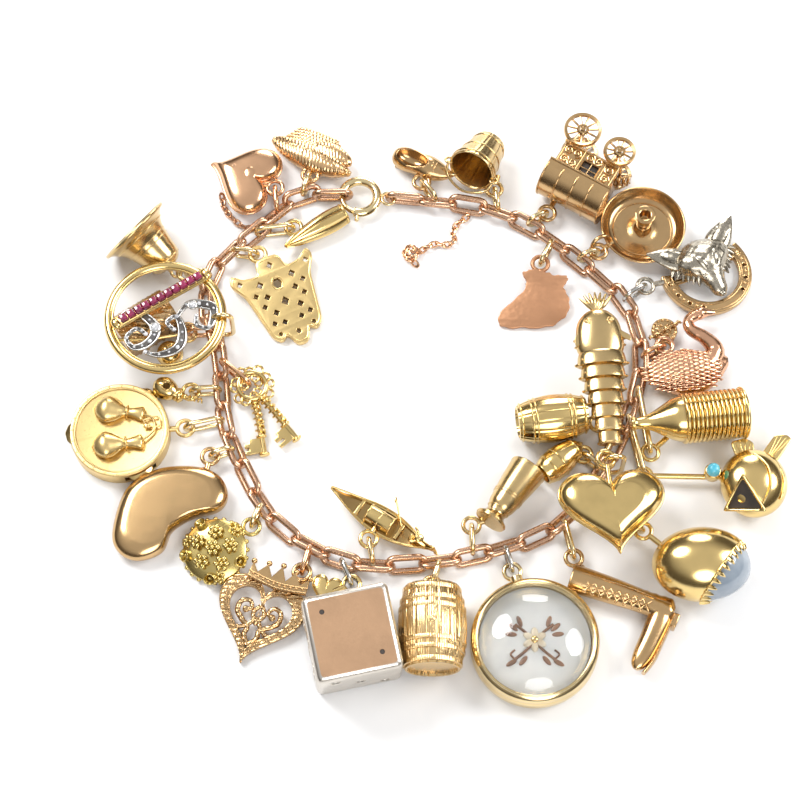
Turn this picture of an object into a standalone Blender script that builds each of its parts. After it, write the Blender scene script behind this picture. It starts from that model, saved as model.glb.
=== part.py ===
"""A gold charm bracelet lying open on a table, as one assembly of separate solids.

The chain is a closed loop round the wrist opening, fastened by a bolt ring, and the charms lie
round it on their jump rings. Sizes and places are millimetres until to_metres(), which turns every
finished piece into metres and sets the whole bracelet on its origin: on the table, under the
middle of its box. x runs to the right of the photographed view, y away from the viewer and z up.
"""

import math

import bmesh
import bpy
from mathutils import Euler, Matrix, Vector

MM = 0.001

# Chain links: soldered ovals of round wire, laid in turn on their left and right edges
LINK_LENGTH = 6.0
LINK_WIDTH = 3.0
LINK_WIRE = 0.8
LINK_SINK = 0.3
LINK_LEAN = 45.0
LINK_SIDES = 10
WIRE_SIDES = 5

# Jump rings between the chain and the charms, and the eyes that they pass through
JUMP_WIRE = 0.7
JUMP_HALF_HEIGHT = 1.3
EYE_THICKNESS = 0.5
EYE_WALL = 0.6
EYE_SPACING = 0.9
EYE_RIM_SIDES = 6
EYE_HOLE_SIDES = 5
LINK_GRIP = 0.25
RING_CLEARANCE = 0.3
LEAST_REACH = 3.1
RING_SIDES = 8
ROUTE_STEPS = 20

# Bolt ring clasp
CLASP_DIAMETER = 6.6
CLASP_TUBE = 1.36
CLASP_BORE = 1.12
BOLT_WIRE = 0.76
CLASP_CENTRE = (-6.0, 32.0, 1.5)
CLASP_STEP = 24.0
GAP_START, GAP_END = 162.0, 252.0
SOCKET_DEPTH = 12.0
BOLT_TAIL = 27.0
BOLT_TRAVEL = 60.0
KNOB_ANGLE = 264.0
KNOB_RADIUS = 0.26
KNOB_REACH = 0.55
SLOT_CLEARANCE = 0.16
SLOT_MARGIN = 8.0
BOLT_TIP_PLAY = 3.0
POCKET_SPARE = 76.0
END_LINK_PLAY = 0.1
END_LINK_SHIFT = 0.3
TAIL_EYE_WIRE = 0.5

# Height at which the jump rings and the eyes lie
RING_HEIGHT = JUMP_HALF_HEIGHT + JUMP_WIRE / 2

# Centre of the chain, from the bolt's side of the clasp round the loop to the clasp's tail eye
CHAIN_ROUTE = [
    (-13.6, 32.6), (-16.6, 30.8), (-19.4, 28.1), (-21.6, 25.9), (-24.4, 23.6), (-26.8, 20.6),
    (-28.3, 16.9), (-28.0, 12.8), (-26.6, 9.0), (-26.0, 5.4), (-25.8, 2.5), (-25.4, -0.6),
    (-25.0, -3.8), (-24.0, -7.0), (-22.6, -10.0), (-21.4, -12.6), (-20.0, -15.4),
    (-18.2, -18.0), (-16.0, -20.3), (-13.6, -21.9), (-10.9, -23.3), (-8.2, -24.5),
    (-5.2, -25.2), (-1.8, -25.4), (1.6, -25.1), (4.8, -24.8), (7.6, -24.6), (10.2, -23.9),
    (13.0, -23.1), (16.0, -22.3), (18.8, -21.3), (21.2, -20.2), (23.4, -18.2), (25.6, -15.4),
    (28.0, -12.0), (29.9, -9.0), (31.3, -6.2), (32.4, -3.2), (33.5, -0.2), (34.4, 2.8),
    (34.8, 5.9), (34.6, 9.0), (33.8, 12.2), (32.6, 15.0), (30.8, 17.2), (28.6, 19.3),
    (25.4, 22.3), (22.4, 24.9), (19.4, 27.0), (16.4, 28.8), (13.4, 29.9), (10.4, 30.7),
    (7.4, 31.1), (4.5, 31.3),
]

# Gap between a stone and its setting
SETTING_GAP = 0.12

# Ring brooch and its bar of rubies; the scrolls and the bar grow with the ring
BROOCH_HOLD = (-26.6, 9.4)
BROOCH_DIAMETER = 17.6
BROOCH_WIRE = 1.3
BROOCH_REST = 5.4
BROOCH_SHIFT = 0.2
SCROLL_WIRE = 0.45
SCROLLS_DRAWN_AT = 17.6
BAR_TURN = 32.0
BAR_MIDDLE = (-0.65, 2.5)
BAR_WIDTH = 1.7
BAR_HEIGHT = 0.9
BAR_RISE = 0.85
BAR_MARGIN = 1.2
RUBY_COUNT = 11
RUBY_ROW_LENGTH = 13.42

# Tambourine and its jingles
DRUM_DIAMETER = 14.1
DRUM_HEIGHT = 2.8
DRUM_PLACE = (-39.8, -5.7)
JINGLE_ANGLES = (58.0, 180.0, 298.0)
JINGLE_DIAMETER = 3.4
JINGLE_THICKNESS = 1.0
JINGLE_PLAY = 0.14
JINGLE_PIN = 0.6
JINGLE_PROUD = 0.5
JINGLE_SLOT_MARGIN = 1.8

# Keys: the middle of their bows, and the jump ring that holds both
KEY_SHAFT = 8.2
KEY_THICKNESS = 0.6
KEY_GAP = 0.15
KEY_BOW_DIAMETER = 4.6
KEY_SHAFT_START = 1.9
KEY_GRIP = (-21.6, 1.7)
KEY_BOW = (-21.2, 1.4)

# Places of eyes on rings that two charms share
CASKET_EYE = (-30.8, 9.9)
TIARA_EYE = (-13.6, -26.6)
DIE_EYE = (-6.7, -28.3)
DISC_EYE = (38.2, 7.7)

# Die, locket and bottle
DIE_SIZE = 11.8
DIE_EDGE = 0.8
LOCKET_DIAMETER = 17.7
CRYSTAL_DIAMETER = 15.3
LOCKET_PLACE = (18.4, -36.8)
LOCKET_FLOOR = 2.2
BOTTLE_RIBS = 4
BOTTLE_RIB_PITCH = 2.6

# Polished heart and jointed fish, which lie over the chain on one standing ring
HEART_HOLD = (28.4, -11.4)
HEART_NOTCH = (29.2, -16.4)
HEART_REST = 3.5
HEART_EYE_RISE = 2.6
FISH_RINGS = 7
FISH_RING_PITCH = 1.95
FISH_REST = 3.6
FISH_EYE_RISE = 0.9
FISH_END = (29.3, -8.2)

# Ball with its moonstone: radii, and the side that the stone takes
BALL_PLACE = (41.6, -26.4)
BALL_RADII = (7.0, 5.2, 5.0)
STONE_RADII = (6.7, 4.9, 4.7)
STONE_REACH = 2.6
STONE_TURN = -36.0
STONE_BLOCK = (12.0, 14.0, 12.0)
STONE_REST = 0.3

# Round fish and the collet of its eye
ROUND_FISH_PLACE = (49.6, -14.0)
ROUND_FISH_RADII = (4.6, 4.9, 3.4)
COLLET_PLACE = (-5.7, 1.6, -0.6)
COLLET_HEIGHT = 2.4

# Caravan, its axles and its wheels
CARAVAN_PLACE = (27.2, 34.0)
CARAVAN_TURN = -31.0
CARAVAN_SIZE = (9.2, 5.4, 6.0)
CARAVAN_MIDDLE = 4.1
AXLE = 0.7
AXLE_SPACING = 6.4
AXLE_TUCK = 0.6
REAR_WHEEL = 5.6
FRONT_WHEEL = 4.8
WHEEL_WIDTH = 0.7
WHEEL_RISE = 0.1
WHEEL_PLAY = 0.14

# Places that the jump rings take, filled in as the charms are built
EYES = []
STANDING_RINGS = []

# Finishes: colour, roughness and metallic share
FINISHES = {
    "rose_gold": ((0.86, 0.52, 0.36), 0.28, 1.0),
    "yellow_gold": ((0.92, 0.68, 0.34), 0.26, 1.0),
    "satin_gold": ((0.88, 0.64, 0.34), 0.42, 1.0),
    "dark_gold": ((0.66, 0.46, 0.28), 0.36, 1.0),
    "copper_gold": ((0.74, 0.47, 0.34), 0.5, 1.0),
    "white_gold": ((0.78, 0.76, 0.72), 0.24, 1.0),
    "ruby": ((0.55, 0.01, 0.08), 0.06, 0.0),
    "turquoise": ((0.1, 0.42, 0.5), 0.25, 0.0),
    "moonstone": ((0.42, 0.48, 0.56), 0.12, 0.0),
    "crystal": ((0.9, 0.9, 0.88), 0.03, 0.0),
}


# Modelling helpers


def clear_scene():
    """Removes every object, so that the script starts from nothing."""
    for old in list(bpy.data.objects):
        bpy.data.objects.remove(old, do_unlink=True)


def parts_collection():
    """The collection that holds the bracelet's pieces."""
    found = bpy.data.collections.get("charm_bracelet")
    if found is None:
        found = bpy.data.collections.new("charm_bracelet")
        bpy.context.scene.collection.children.link(found)
    return found


def finish_material(name):
    """The Principled material of one finish, made once."""
    found = bpy.data.materials.get(name)
    if found is None:
        colour, roughness, metallic = FINISHES[name]
        found = bpy.data.materials.new(name)
        found.use_nodes = True
        shader = found.node_tree.nodes["Principled BSDF"]
        shader.inputs["Base Color"].default_value = (*colour, 1.0)
        shader.inputs["Roughness"].default_value = roughness
        shader.inputs["Metallic"].default_value = metallic
    return found


def new_object(data):
    """An object of a mesh or curve, linked where the pieces are."""
    made = bpy.data.objects.new("piece", data)
    parts_collection().objects.link(made)
    return made


def from_bmesh(shape):
    """An object of a bmesh, with its normals facing out."""
    bmesh.ops.recalc_face_normals(shape, faces=shape.faces)
    mesh = bpy.data.meshes.new("piece")
    shape.to_mesh(mesh)
    shape.free()
    return new_object(mesh)


def bake(piece):
    """Turns a curve, or a mesh with modifiers, into one plain welded mesh in its own place."""
    graph = bpy.context.evaluated_depsgraph_get()
    mesh = bpy.data.meshes.new_from_object(piece.evaluated_get(graph))
    shape = bmesh.new()
    shape.from_mesh(mesh)
    bmesh.ops.remove_doubles(shape, verts=shape.verts, dist=0.0001)
    baked = from_bmesh(shape)
    baked.location = piece.location
    baked.rotation_euler = piece.rotation_euler
    bpy.data.meshes.remove(mesh)
    bpy.data.objects.remove(piece, do_unlink=True)
    return baked


def combine(base, tools, operation):
    """Unites the base with each tool or cuts each from it, and removes the tools."""
    for tool in tools:
        modifier = base.modifiers.new("combine", "BOOLEAN")
        modifier.operation = operation
        modifier.solver = "EXACT"
        modifier.object = tool
        graph = bpy.context.evaluated_depsgraph_get()
        mesh = bpy.data.meshes.new_from_object(base.evaluated_get(graph))
        base.modifiers.clear()
        base.data = mesh
        bpy.data.objects.remove(tool, do_unlink=True)
    return base


def fuse(base, *tools):
    """One solid of the base and the tools that overlap it."""
    return combine(base, tools, "UNION")


def cut(base, *tools):
    """The base with the tools cut out of it."""
    return combine(base, tools, "DIFFERENCE")


def moved(piece, at=(0, 0, 0), turn=(0, 0, 0)):
    """The piece with its mesh turned by degrees about x, y and z, and then moved."""
    angles = Euler([math.radians(angle) for angle in turn])
    piece.data.transform(Matrix.LocRotScale(Vector(at), angles, None))
    return piece


def box(size, at=(0, 0, 0)):
    """A box of one size about one centre."""
    shape = bmesh.new()
    bmesh.ops.create_cube(shape, size=1.0)
    bmesh.ops.scale(shape, vec=size, verts=shape.verts)
    bmesh.ops.translate(shape, vec=at, verts=shape.verts)
    return from_bmesh(shape)


def rod(radius, length, sides=10, top_radius=None):
    """A cylinder or cone along z, about its middle."""
    shape = bmesh.new()
    top = radius if top_radius is None else top_radius
    bmesh.ops.create_cone(
        shape, cap_ends=True, segments=sides, radius1=radius, radius2=top, depth=length
    )
    return from_bmesh(shape)


def ball(radii, sides=10, rings=6):
    """An ellipsoid of three radii about its middle."""
    shape = bmesh.new()
    bmesh.ops.create_uvsphere(shape, u_segments=sides, v_segments=rings, radius=1.0)
    bmesh.ops.scale(shape, vec=radii, verts=shape.verts)
    return from_bmesh(shape)


def turned(profile, sides=12):
    """A turned solid about z, from (radius, height) points down its outer side and back inside."""
    mesh = bpy.data.meshes.new("profile")
    edges = [(i, i + 1) for i in range(len(profile) - 1)]
    if profile[0][0] > 0 and profile[-1][0] > 0:
        edges.append((len(profile) - 1, 0))
    mesh.from_pydata([(radius, 0, height) for radius, height in profile], edges, [])
    piece = new_object(mesh)
    screw = piece.modifiers.new("turn", "SCREW")
    screw.steps = screw.render_steps = sides
    screw.use_merge_vertices = True
    screw.merge_threshold = 0.0001
    return bake(piece)


def ring(diameter, wire, stretch=0.0, sides=LINK_SIDES):
    """A wire ring about z of one outer diameter, drawn out along x by stretch into an oval."""
    bpy.ops.mesh.primitive_torus_add(
        major_segments=sides,
        minor_segments=WIRE_SIDES,
        major_radius=(diameter - wire) / 2,
        minor_radius=wire / 2,
    )
    made = bpy.context.object
    for collection in list(made.users_collection):
        collection.objects.unlink(made)
    parts_collection().objects.link(made)
    for vertex in made.data.vertices:
        vertex.co.x += math.copysign(stretch / 2, vertex.co.x)
    return made


def wire(points, radius, closed=False):
    """A six-sided wire through the points."""
    curve = bpy.data.curves.new("wire", "CURVE")
    curve.dimensions = "3D"
    curve.bevel_depth = radius
    curve.bevel_resolution = 1
    curve.use_fill_caps = True
    spline = curve.splines.new("POLY")
    spline.points.add(len(points) - 1)
    for slot, point in zip(spline.points, points):
        slot.co = (*point, 1.0)
    spline.use_cyclic_u = closed
    return bake(new_object(curve))


def arc(radius, start, end, step, height=0.0):
    """Points along a circle about z from one angle to another, about step degrees apart."""
    count = max(2, round(abs(end - start) / step))
    angles = [math.radians(start + (end - start) * i / count) for i in range(count + 1)]
    return [(radius * math.cos(a), radius * math.sin(a), height) for a in angles]


def plate(outline, thickness, holes=()):
    """A flat plate of one outline, pierced by the holes, from z 0 up to its thickness."""
    curve = bpy.data.curves.new("outline", "CURVE")
    curve.dimensions = "2D"
    curve.fill_mode = "BOTH"
    curve.extrude = thickness / 2
    for loop in [outline, *holes]:
        spline = curve.splines.new("POLY")
        spline.points.add(len(loop) - 1)
        for slot, (x, y) in zip(spline.points, loop):
            slot.co = (x, y, 0.0, 1.0)
        spline.use_cyclic_u = True
    return moved(bake(new_object(curve)), at=(0, 0, thickness / 2))


def loft(sections):
    """A closed solid through sections of as many points each."""
    shape = bmesh.new()
    rings = [[shape.verts.new(point) for point in section] for section in sections]
    count = len(rings[0])
    for low, high in zip(rings, rings[1:]):
        for i in range(count):
            j = (i + 1) % count
            shape.faces.new((low[i], low[j], high[j], high[i]))
    shape.faces.new(list(reversed(rings[0])))
    shape.faces.new(rings[-1])
    return from_bmesh(shape)


def spindle(stations, sides=8):
    """A body along x through rows of x, half width, half height, and the middle's y and z."""
    sections = []
    for x, half_width, half_height, y, z in stations:
        angles = [math.tau * i / sides for i in range(sides)]
        sections.append(
            [(x, y + half_width * math.cos(a), z + half_height * math.sin(a)) for a in angles]
        )
    return loft(sections)


def puffed(outline, centre, levels):
    """A cushion-like solid: the outline at each level's height, drawn in to the level's share."""
    middle = Vector((*centre, 0.0))
    sections = []
    for height, share in levels:
        flat = [Vector((x, y, 0.0)) for x, y in outline]
        rise = Vector((0, 0, height))
        sections.append([middle + (point - middle) * share + rise for point in flat])
    return loft(sections)


def heart_outline(width, length, points=20):
    """A heart pointing along -y, with its notch on +y, from the usual heart curve."""
    loop = []
    for i in range(points):
        t = math.tau * i / points
        x = math.sin(t) ** 3
        y = (13 * math.cos(t) - 5 * math.cos(2 * t) - 2 * math.cos(3 * t) - math.cos(4 * t)) / 17
        loop.append((x * width / 2, (y + 0.15) * length / 1.7))
    return loop


def lay(piece, name, finish, at, turn=(0, 0, 0), rest=0.0):
    """Names and places a piece: turned by degrees, with its lowest point at the rest height."""
    piece.name = name
    piece.data.name = name
    piece.data.materials.clear()
    piece.data.materials.append(finish_material(finish))
    piece.rotation_euler = [math.radians(angle) for angle in turn]
    turning = piece.rotation_euler.to_matrix()
    lowest = min((turning @ vertex.co).z for vertex in piece.data.vertices)
    piece.location = (at[0], at[1], rest - lowest)
    return piece


def eye_radii():
    """The radii of an eye's hole, which holds a jump ring with its clearance, and of its rim."""
    hole = (JUMP_WIRE / 2 + RING_CLEARANCE) / math.cos(math.pi / EYE_HOLE_SIDES)
    rim = (hole + EYE_WALL) / math.cos(math.pi / EYE_RIM_SIDES)
    return hole, rim


def circle(radius, sides, middle=(0.0, 0.0)):
    """The corners of a regular outline about its middle."""
    angles = [math.tau * (i + 0.5) / sides for i in range(sides)]
    return [(middle[0] + radius * math.cos(a), middle[1] + radius * math.sin(a)) for a in angles]


def add_eye(piece, at, root, height=0.0, shared=False):
    """Solders a flat eye to a placed piece, on a short tongue that reaches back to its root.

    The eye lies at the jump rings' height unless one ring holds a second eye above or below it.
    """
    hole, rim = eye_radii()
    level = RING_HEIGHT + height
    way = Vector(root) - Vector(at)
    eye = plate(circle(rim, EYE_RIM_SIDES), EYE_THICKNESS, [circle(hole, EYE_HOLE_SIDES)])
    eye.location = (*at, level - EYE_THICKNESS / 2)
    eye.rotation_euler.z = math.atan2(way.y, way.x)
    tools = [eye]
    start = (hole + rim) / 2
    if way.length > rim + 0.2:
        tongue = box((way.length - start, 2 * EYE_WALL, EYE_THICKNESS * 0.9))
        tongue.location = Vector((*at, level)) + Vector((*way, 0)) * (way.length + start) / 2 / way.length
        tongue.rotation_euler.z = eye.rotation_euler.z
        tools.append(tongue)
    fuse(piece, *tools)
    if not shared:
        EYES.append((*at, RING_HEIGHT))
    return piece


# Chain


def smooth_route(knots):
    """A fine smooth curve through the chain's route."""
    fine = []
    for i in range(len(knots) - 1):
        before = knots[max(i - 1, 0)]
        after = knots[min(i + 2, len(knots) - 1)]
        first, second = knots[i], knots[i + 1]
        for k in range(ROUTE_STEPS):
            t = k / ROUTE_STEPS
            fine.append(
                0.5
                * (
                    2 * first
                    + (second - before) * t
                    + (2 * before - 5 * first + 4 * second - after) * t * t
                    + (3 * first - before - 3 * second + after) * t ** 3
                )
            )
    return [*fine, knots[-1]]


def even_places(knots, most):
    """Places along the smooth route from its first knot to its last, evenly, at most one step apart."""
    fine = smooth_route(knots)
    along = [0.0]
    for before, after in zip(fine, fine[1:]):
        along.append(along[-1] + (after - before).length)
    count = math.ceil(along[-1] / most)
    places = []
    at = 0
    for i in range(count + 1):
        wanted = along[-1] * i / count
        while at < len(fine) - 2 and along[at + 1] < wanted:
            at += 1
        share = (wanted - along[at]) / (along[at + 1] - along[at])
        places.append(fine[at].lerp(fine[at + 1], min(share, 1.0)))
    return places


def link_pitch():
    """Distance between the middles of two links, whose wires sink into each other where they touch."""
    return LINK_LENGTH - 2 * LINK_WIRE + LINK_SINK


def link_height(lean):
    """Height of a link's middle above the table when it leans by an angle."""
    return (LINK_WIDTH - LINK_WIRE) / 2 * math.sin(math.radians(lean)) + LINK_WIRE / 2


def clasp_links():
    """The upright end links: one hangs on the bolt ring, the other on its tail eye."""
    x, y, _ = CLASP_CENTRE
    ring_middle = (CLASP_DIAMETER - CLASP_TUBE) / 2
    inside = LINK_LENGTH / 2 - LINK_WIRE
    first = x - ring_middle - (inside - CLASP_TUBE / 2 - END_LINK_PLAY)
    last = tail_eye_place()[0] + LINK_LENGTH / 2 - LINK_WIRE / 2
    return Vector((first, y + END_LINK_SHIFT)), Vector((last, y - END_LINK_SHIFT))


def chain_places():
    """Every link's middle, heading and lean, in order round the loop."""
    first, last = clasp_links()
    knots = [first, *(Vector(point) for point in CHAIN_ROUTE), last]
    middles = even_places(knots, link_pitch())
    places = []
    for i, middle in enumerate(middles):
        before = middles[max(i - 1, 0)]
        after = middles[min(i + 1, len(middles) - 1)]
        heading = math.atan2(after.y - before.y, after.x - before.x)
        upright = i in (0, len(middles) - 1)
        lean = 90.0 if upright else LINK_LEAN * (-1) ** i
        places.append((middle, heading, lean))
    return places


def link_copies(places):
    """One object of the oval link copied to each place."""
    pattern = ring(LINK_WIDTH, LINK_WIRE, stretch=LINK_LENGTH - LINK_WIDTH)
    shape = bmesh.new()
    for middle, heading, lean in places:
        first = len(shape.verts)
        shape.from_mesh(pattern.data)
        shape.verts.ensure_lookup_table()
        turn = Matrix.Rotation(heading, 4, "Z") @ Matrix.Rotation(math.radians(lean), 4, "X")
        where = Matrix.Translation((middle.x, middle.y, link_height(abs(lean))))
        bmesh.ops.transform(shape, matrix=where @ turn, verts=shape.verts[first:])
    bpy.data.objects.remove(pattern, do_unlink=True)
    return from_bmesh(shape)


def jump_ring(start, end):
    """An upright oval jump ring whose ends stand in a link's hole and in a charm's eye."""
    start, end = Vector(start), Vector(end)
    span = (end - start).length
    height = 2 * JUMP_HALF_HEIGHT + JUMP_WIRE
    made = ring(height, JUMP_WIRE, stretch=span - 2 * JUMP_HALF_HEIGHT, sides=RING_SIDES)
    across = end - start
    rise = math.atan2(across.z, math.hypot(across.x, across.y))
    heading = math.atan2(across.y, across.x)
    turn = Matrix.Rotation(heading, 4, "Z") @ Matrix.Rotation(-rise, 4, "Y")
    stand = Matrix.Rotation(math.radians(90), 4, "X")
    made.data.transform(Matrix.Translation((start + end) / 2) @ turn @ stand)
    return made


def jump_rings(places):
    """The jump ring from each charm's eye to the nearest free link that is far enough away."""
    free = [middle for middle, _, _ in places[1:-1]]
    made = []
    for eye in EYES:
        flat = Vector(eye[:2])
        reachable = [middle for middle in free if (middle - flat).length >= LEAST_REACH]
        nearest = min(reachable, key=lambda middle: (middle - flat).length)
        free.remove(nearest)
        held = nearest + (flat - nearest).normalized() * LINK_GRIP
        made.append(jump_ring((held.x, held.y, RING_HEIGHT), eye))
    for x, y, top in STANDING_RINGS:
        middle = nearest_link(x, y)
        bottom = JUMP_WIRE / 2
        across = middle.x + JUMP_HALF_HEIGHT + LINK_GRIP
        made.append(jump_ring((across, middle.y, bottom), (across, middle.y, top)))
    return made


def nearest_link(x, y):
    """The middle of the link nearest to a place."""
    middles = [place[0] for place in chain_places()]
    return min(middles, key=lambda middle: (middle - Vector((x, y))).length)


def build_chain():
    """The whole chain with its jump rings, as one body."""
    places = chain_places()
    chain = fuse(link_copies(places[0::2]), link_copies(places[1::2]))
    fuse(chain, *jump_rings(places))
    return lay(chain, "chain", "rose_gold", at=(0, 0))


# Clasp


def tail_eye_place():
    """Middle of the small eye soldered to the bolt ring, opposite its gap."""
    x, y, z = CLASP_CENTRE
    hole = LINK_WIRE + 2 * RING_CLEARANCE
    return (x + CLASP_DIAMETER / 2 + hole / 2 + TAIL_EYE_WIRE / 2, y - END_LINK_SHIFT, z)


def clasp_arc(start, end, radius, tube):
    """A round bar along the bolt ring's circle from one angle to another."""
    return wire(arc(radius, start, end, CLASP_STEP), tube)


def build_clasp_ring():
    """The hollow bolt ring with its socket, its slot for the knob and its tail eye."""
    middle = (CLASP_DIAMETER - CLASP_TUBE) / 2
    body = clasp_arc(GAP_END, 360 + GAP_START, middle, CLASP_TUBE / 2)
    pocket_end = KNOB_ANGLE + BOLT_TAIL + BOLT_TRAVEL + POCKET_SPARE
    cut(
        body,
        clasp_arc(GAP_END - CLASP_STEP, pocket_end, middle, CLASP_BORE / 2),
        clasp_arc(GAP_START - SOCKET_DEPTH, GAP_START + CLASP_STEP, middle, CLASP_BORE / 2),
        clasp_arc(
            KNOB_ANGLE - SLOT_MARGIN,
            KNOB_ANGLE + BOLT_TRAVEL + SLOT_MARGIN,
            middle + (CLASP_TUBE + CLASP_BORE) / 4,
            (KNOB_RADIUS + SLOT_CLEARANCE) / math.cos(math.pi / 6),
        ),
    )
    hole = LINK_WIRE + 2 * RING_CLEARANCE
    tail = ring(hole + 2 * TAIL_EYE_WIRE, TAIL_EYE_WIRE)
    tail.location = Vector(tail_eye_place()) - Vector(CLASP_CENTRE)
    fuse(body, tail)
    piece = lay(body, "clasp_ring", "yellow_gold", at=CLASP_CENTRE[:2])
    piece.location.z = CLASP_CENTRE[2]
    return piece


def build_clasp_bolt():
    """The bolt that slides round inside the ring, with its thumb knob."""
    middle = (CLASP_DIAMETER - CLASP_TUBE) / 2
    tip = GAP_START - SOCKET_DEPTH + BOLT_TIP_PLAY
    body = clasp_arc(tip, KNOB_ANGLE + BOLT_TAIL, middle, BOLT_WIRE / 2)
    knob = rod(KNOB_RADIUS, CLASP_TUBE / 2 + KNOB_REACH, sides=8)
    reach = middle + (CLASP_TUBE / 2 + KNOB_REACH) / 2
    angle = math.radians(KNOB_ANGLE)
    knob.rotation_euler = (0, math.radians(90), angle)
    knob.location = (reach * math.cos(angle), reach * math.sin(angle), 0)
    fuse(body, knob)
    piece = lay(body, "clasp_bolt", "yellow_gold", at=CLASP_CENTRE[:2])
    piece.location.z = CLASP_CENTRE[2]
    return piece


# Charms at the upper left of the loop


def build_puffed_heart():
    """The large puffed heart with a flange round its edge."""
    levels = [(-1.9, 0.6), (-0.5, 0.98), (0.5, 0.98), (1.9, 0.6)]
    body = puffed(heart_outline(11.2, 10.0, points=16), (0, 0), levels)
    lay(body, "puffed_heart", "rose_gold", at=(-23.6, 35.2), turn=(0, 0, -113))
    return add_eye(body, at=(-18.6, 33.4), root=(-21.8, 34.5))


def build_winged_bird():
    """The bird with fluted feathers and a folded wing, lying beside the heart."""
    body = spindle(
        [
            (-6.4, 0.5, 0.3, 0.4, 1.2), (-2.4, 2.0, 1.3, 0.2, 1.4), (2.0, 2.2, 1.6, 0.0, 1.7),
            (5.2, 1.2, 1.2, 0.1, 1.7), (6.8, 0.4, 0.5, 0.3, 1.4),
        ],
        sides=7,
    )
    wing = plate([(-5.4, 1.0), (4.4, 0.6), (6.6, 2.4), (3.0, 4.4), (-4.2, 4.2)], 1.1)
    fuse(body, moved(wing, at=(-0.6, 0, 0.9)))
    lay(body, "winged_bird", "yellow_gold", at=(-13.6, 38.6), turn=(0, 0, -27))
    return add_eye(body, at=(-13.4, 35.6), root=(-13.2, 38.0))


def build_seed_pod():
    """The fluted seed pod, hollow at its cut end."""
    outside = [(0, 5.2), (1.2, 1.8), (1.7, -1.8), (1.6, -5.2)]
    body = turned(outside + [(1.1, -5.2), (1.0, -4.0), (0, -3.6)], sides=9)
    moved(body, turn=(0, -90, 0))
    lay(body, "seed_pod", "yellow_gold", at=(-12.6, 26.4), turn=(0, 0, 32))
    return add_eye(body, at=(-15.7, 26.8), root=(-14.3, 25.4))


def build_bell():
    """The open bell, lying on its side."""
    outside = [(0, 7.6), (2.5, 6.6), (3.1, 4.4), (3.7, 2.2), (5.7, 0)]
    inside = [(5.0, 0), (3.0, 2.4), (2.3, 5.6), (0, 6.4)]
    body = turned(outside + inside, sides=10)
    moved(body, turn=(-90, 0, 0))
    lay(body, "bell", "rose_gold", at=(-38.8, 24.6), turn=(-24, 0, 230))
    return add_eye(body, at=(-31.4, 19.4), root=(-34.2, 20.8))


def build_hand_plate():
    """The flat hand with two thumbs, pierced all over."""
    outline = [
        (-1.8, 6.8), (1.8, 6.8), (2.2, 4.4), (4.6, 4.8), (6.0, 6.2), (6.6, 4.6), (5.2, 2.4), (3.9, -5.2),
        (2.7, -6.4), (1.7, -5.4), (0.9, -7.6), (-0.9, -7.6), (-1.7, -5.4), (-2.7, -6.4), (-3.9, -5.2),
        (-5.2, 2.4), (-6.6, 4.6), (-6.0, 6.2), (-4.6, 4.8), (-2.2, 4.4),
    ]
    holes = []
    for x, y, size in [
        (-2.5, 2.4, 0.9), (0, 2.6, 1.3), (2.5, 2.4, 0.9), (0, -1.1, 1.2), (-2.3, -3.0, 0.8),
        (2.3, -3.0, 0.8),
    ]:
        holes.append([(x, y + size), (x - 0.7 * size, y), (x, y - size), (x + 0.7 * size, y)])
    body = plate(outline, 1.0, holes)
    lay(body, "hand_plate", "satin_gold", at=(-17.0, 15.6), turn=(5.2, 0, 24))
    return add_eye(body, at=(-20.9, 22.4), root=(-19.6, 20.8))


# Charms at the left of the loop


def build_brooch():
    """The ring brooch with its scrolls, soldered under a bar set with rubies."""
    outer = ring(BROOCH_DIAMETER, BROOCH_WIRE, sides=14)
    left = [(-7.8, -0.6, 0), (-4.6, 0.6, 0.2), (-2.6, -2.0, 0.3), (-5.0, -6.2, 0.1)]
    right = [(-3.0, -1.4, 0.3), (1.8, 0.6, 0.3), (5.4, -0.6, 0.3), (2.4, -3.6, 0.2), (2.2, -7.8, 0.1)]
    for points in (left, right):
        grown = [(x * brooch_share(), y * brooch_share(), z) for x, y, z in points]
        fuse(outer, wire(grown, SCROLL_WIRE))
    body = outer
    bar = box((RUBY_ROW_LENGTH * brooch_share() + BAR_MARGIN, BAR_WIDTH, BAR_HEIGHT))
    bar.location = (*bar_middle(), BAR_RISE)
    bar.rotation_euler.z = math.radians(BAR_TURN)
    fuse(body, bar)
    lay(body, "brooch", "yellow_gold", at=brooch_place(), rest=BROOCH_REST)
    top = BROOCH_REST + BROOCH_WIRE + RING_CLEARANCE + JUMP_WIRE / 2
    STANDING_RINGS.append((*BROOCH_HOLD, top))
    return body


def brooch_share():
    """How much larger the brooch is than its scrolls and its bar are drawn."""
    return BROOCH_DIAMETER / SCROLLS_DRAWN_AT


def bar_middle():
    """Middle of the ruby bar from the brooch's own middle."""
    return (BAR_MIDDLE[0] * brooch_share(), BAR_MIDDLE[1] * brooch_share())


def brooch_place():
    """The brooch's middle, which puts its right side in the standing ring over its link."""
    held = nearest_link(*BROOCH_HOLD)
    reach = (BROOCH_DIAMETER - BROOCH_WIRE) / 2
    return (held.x + LINK_GRIP + JUMP_HALF_HEIGHT - reach, held.y + BROOCH_SHIFT)


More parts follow.
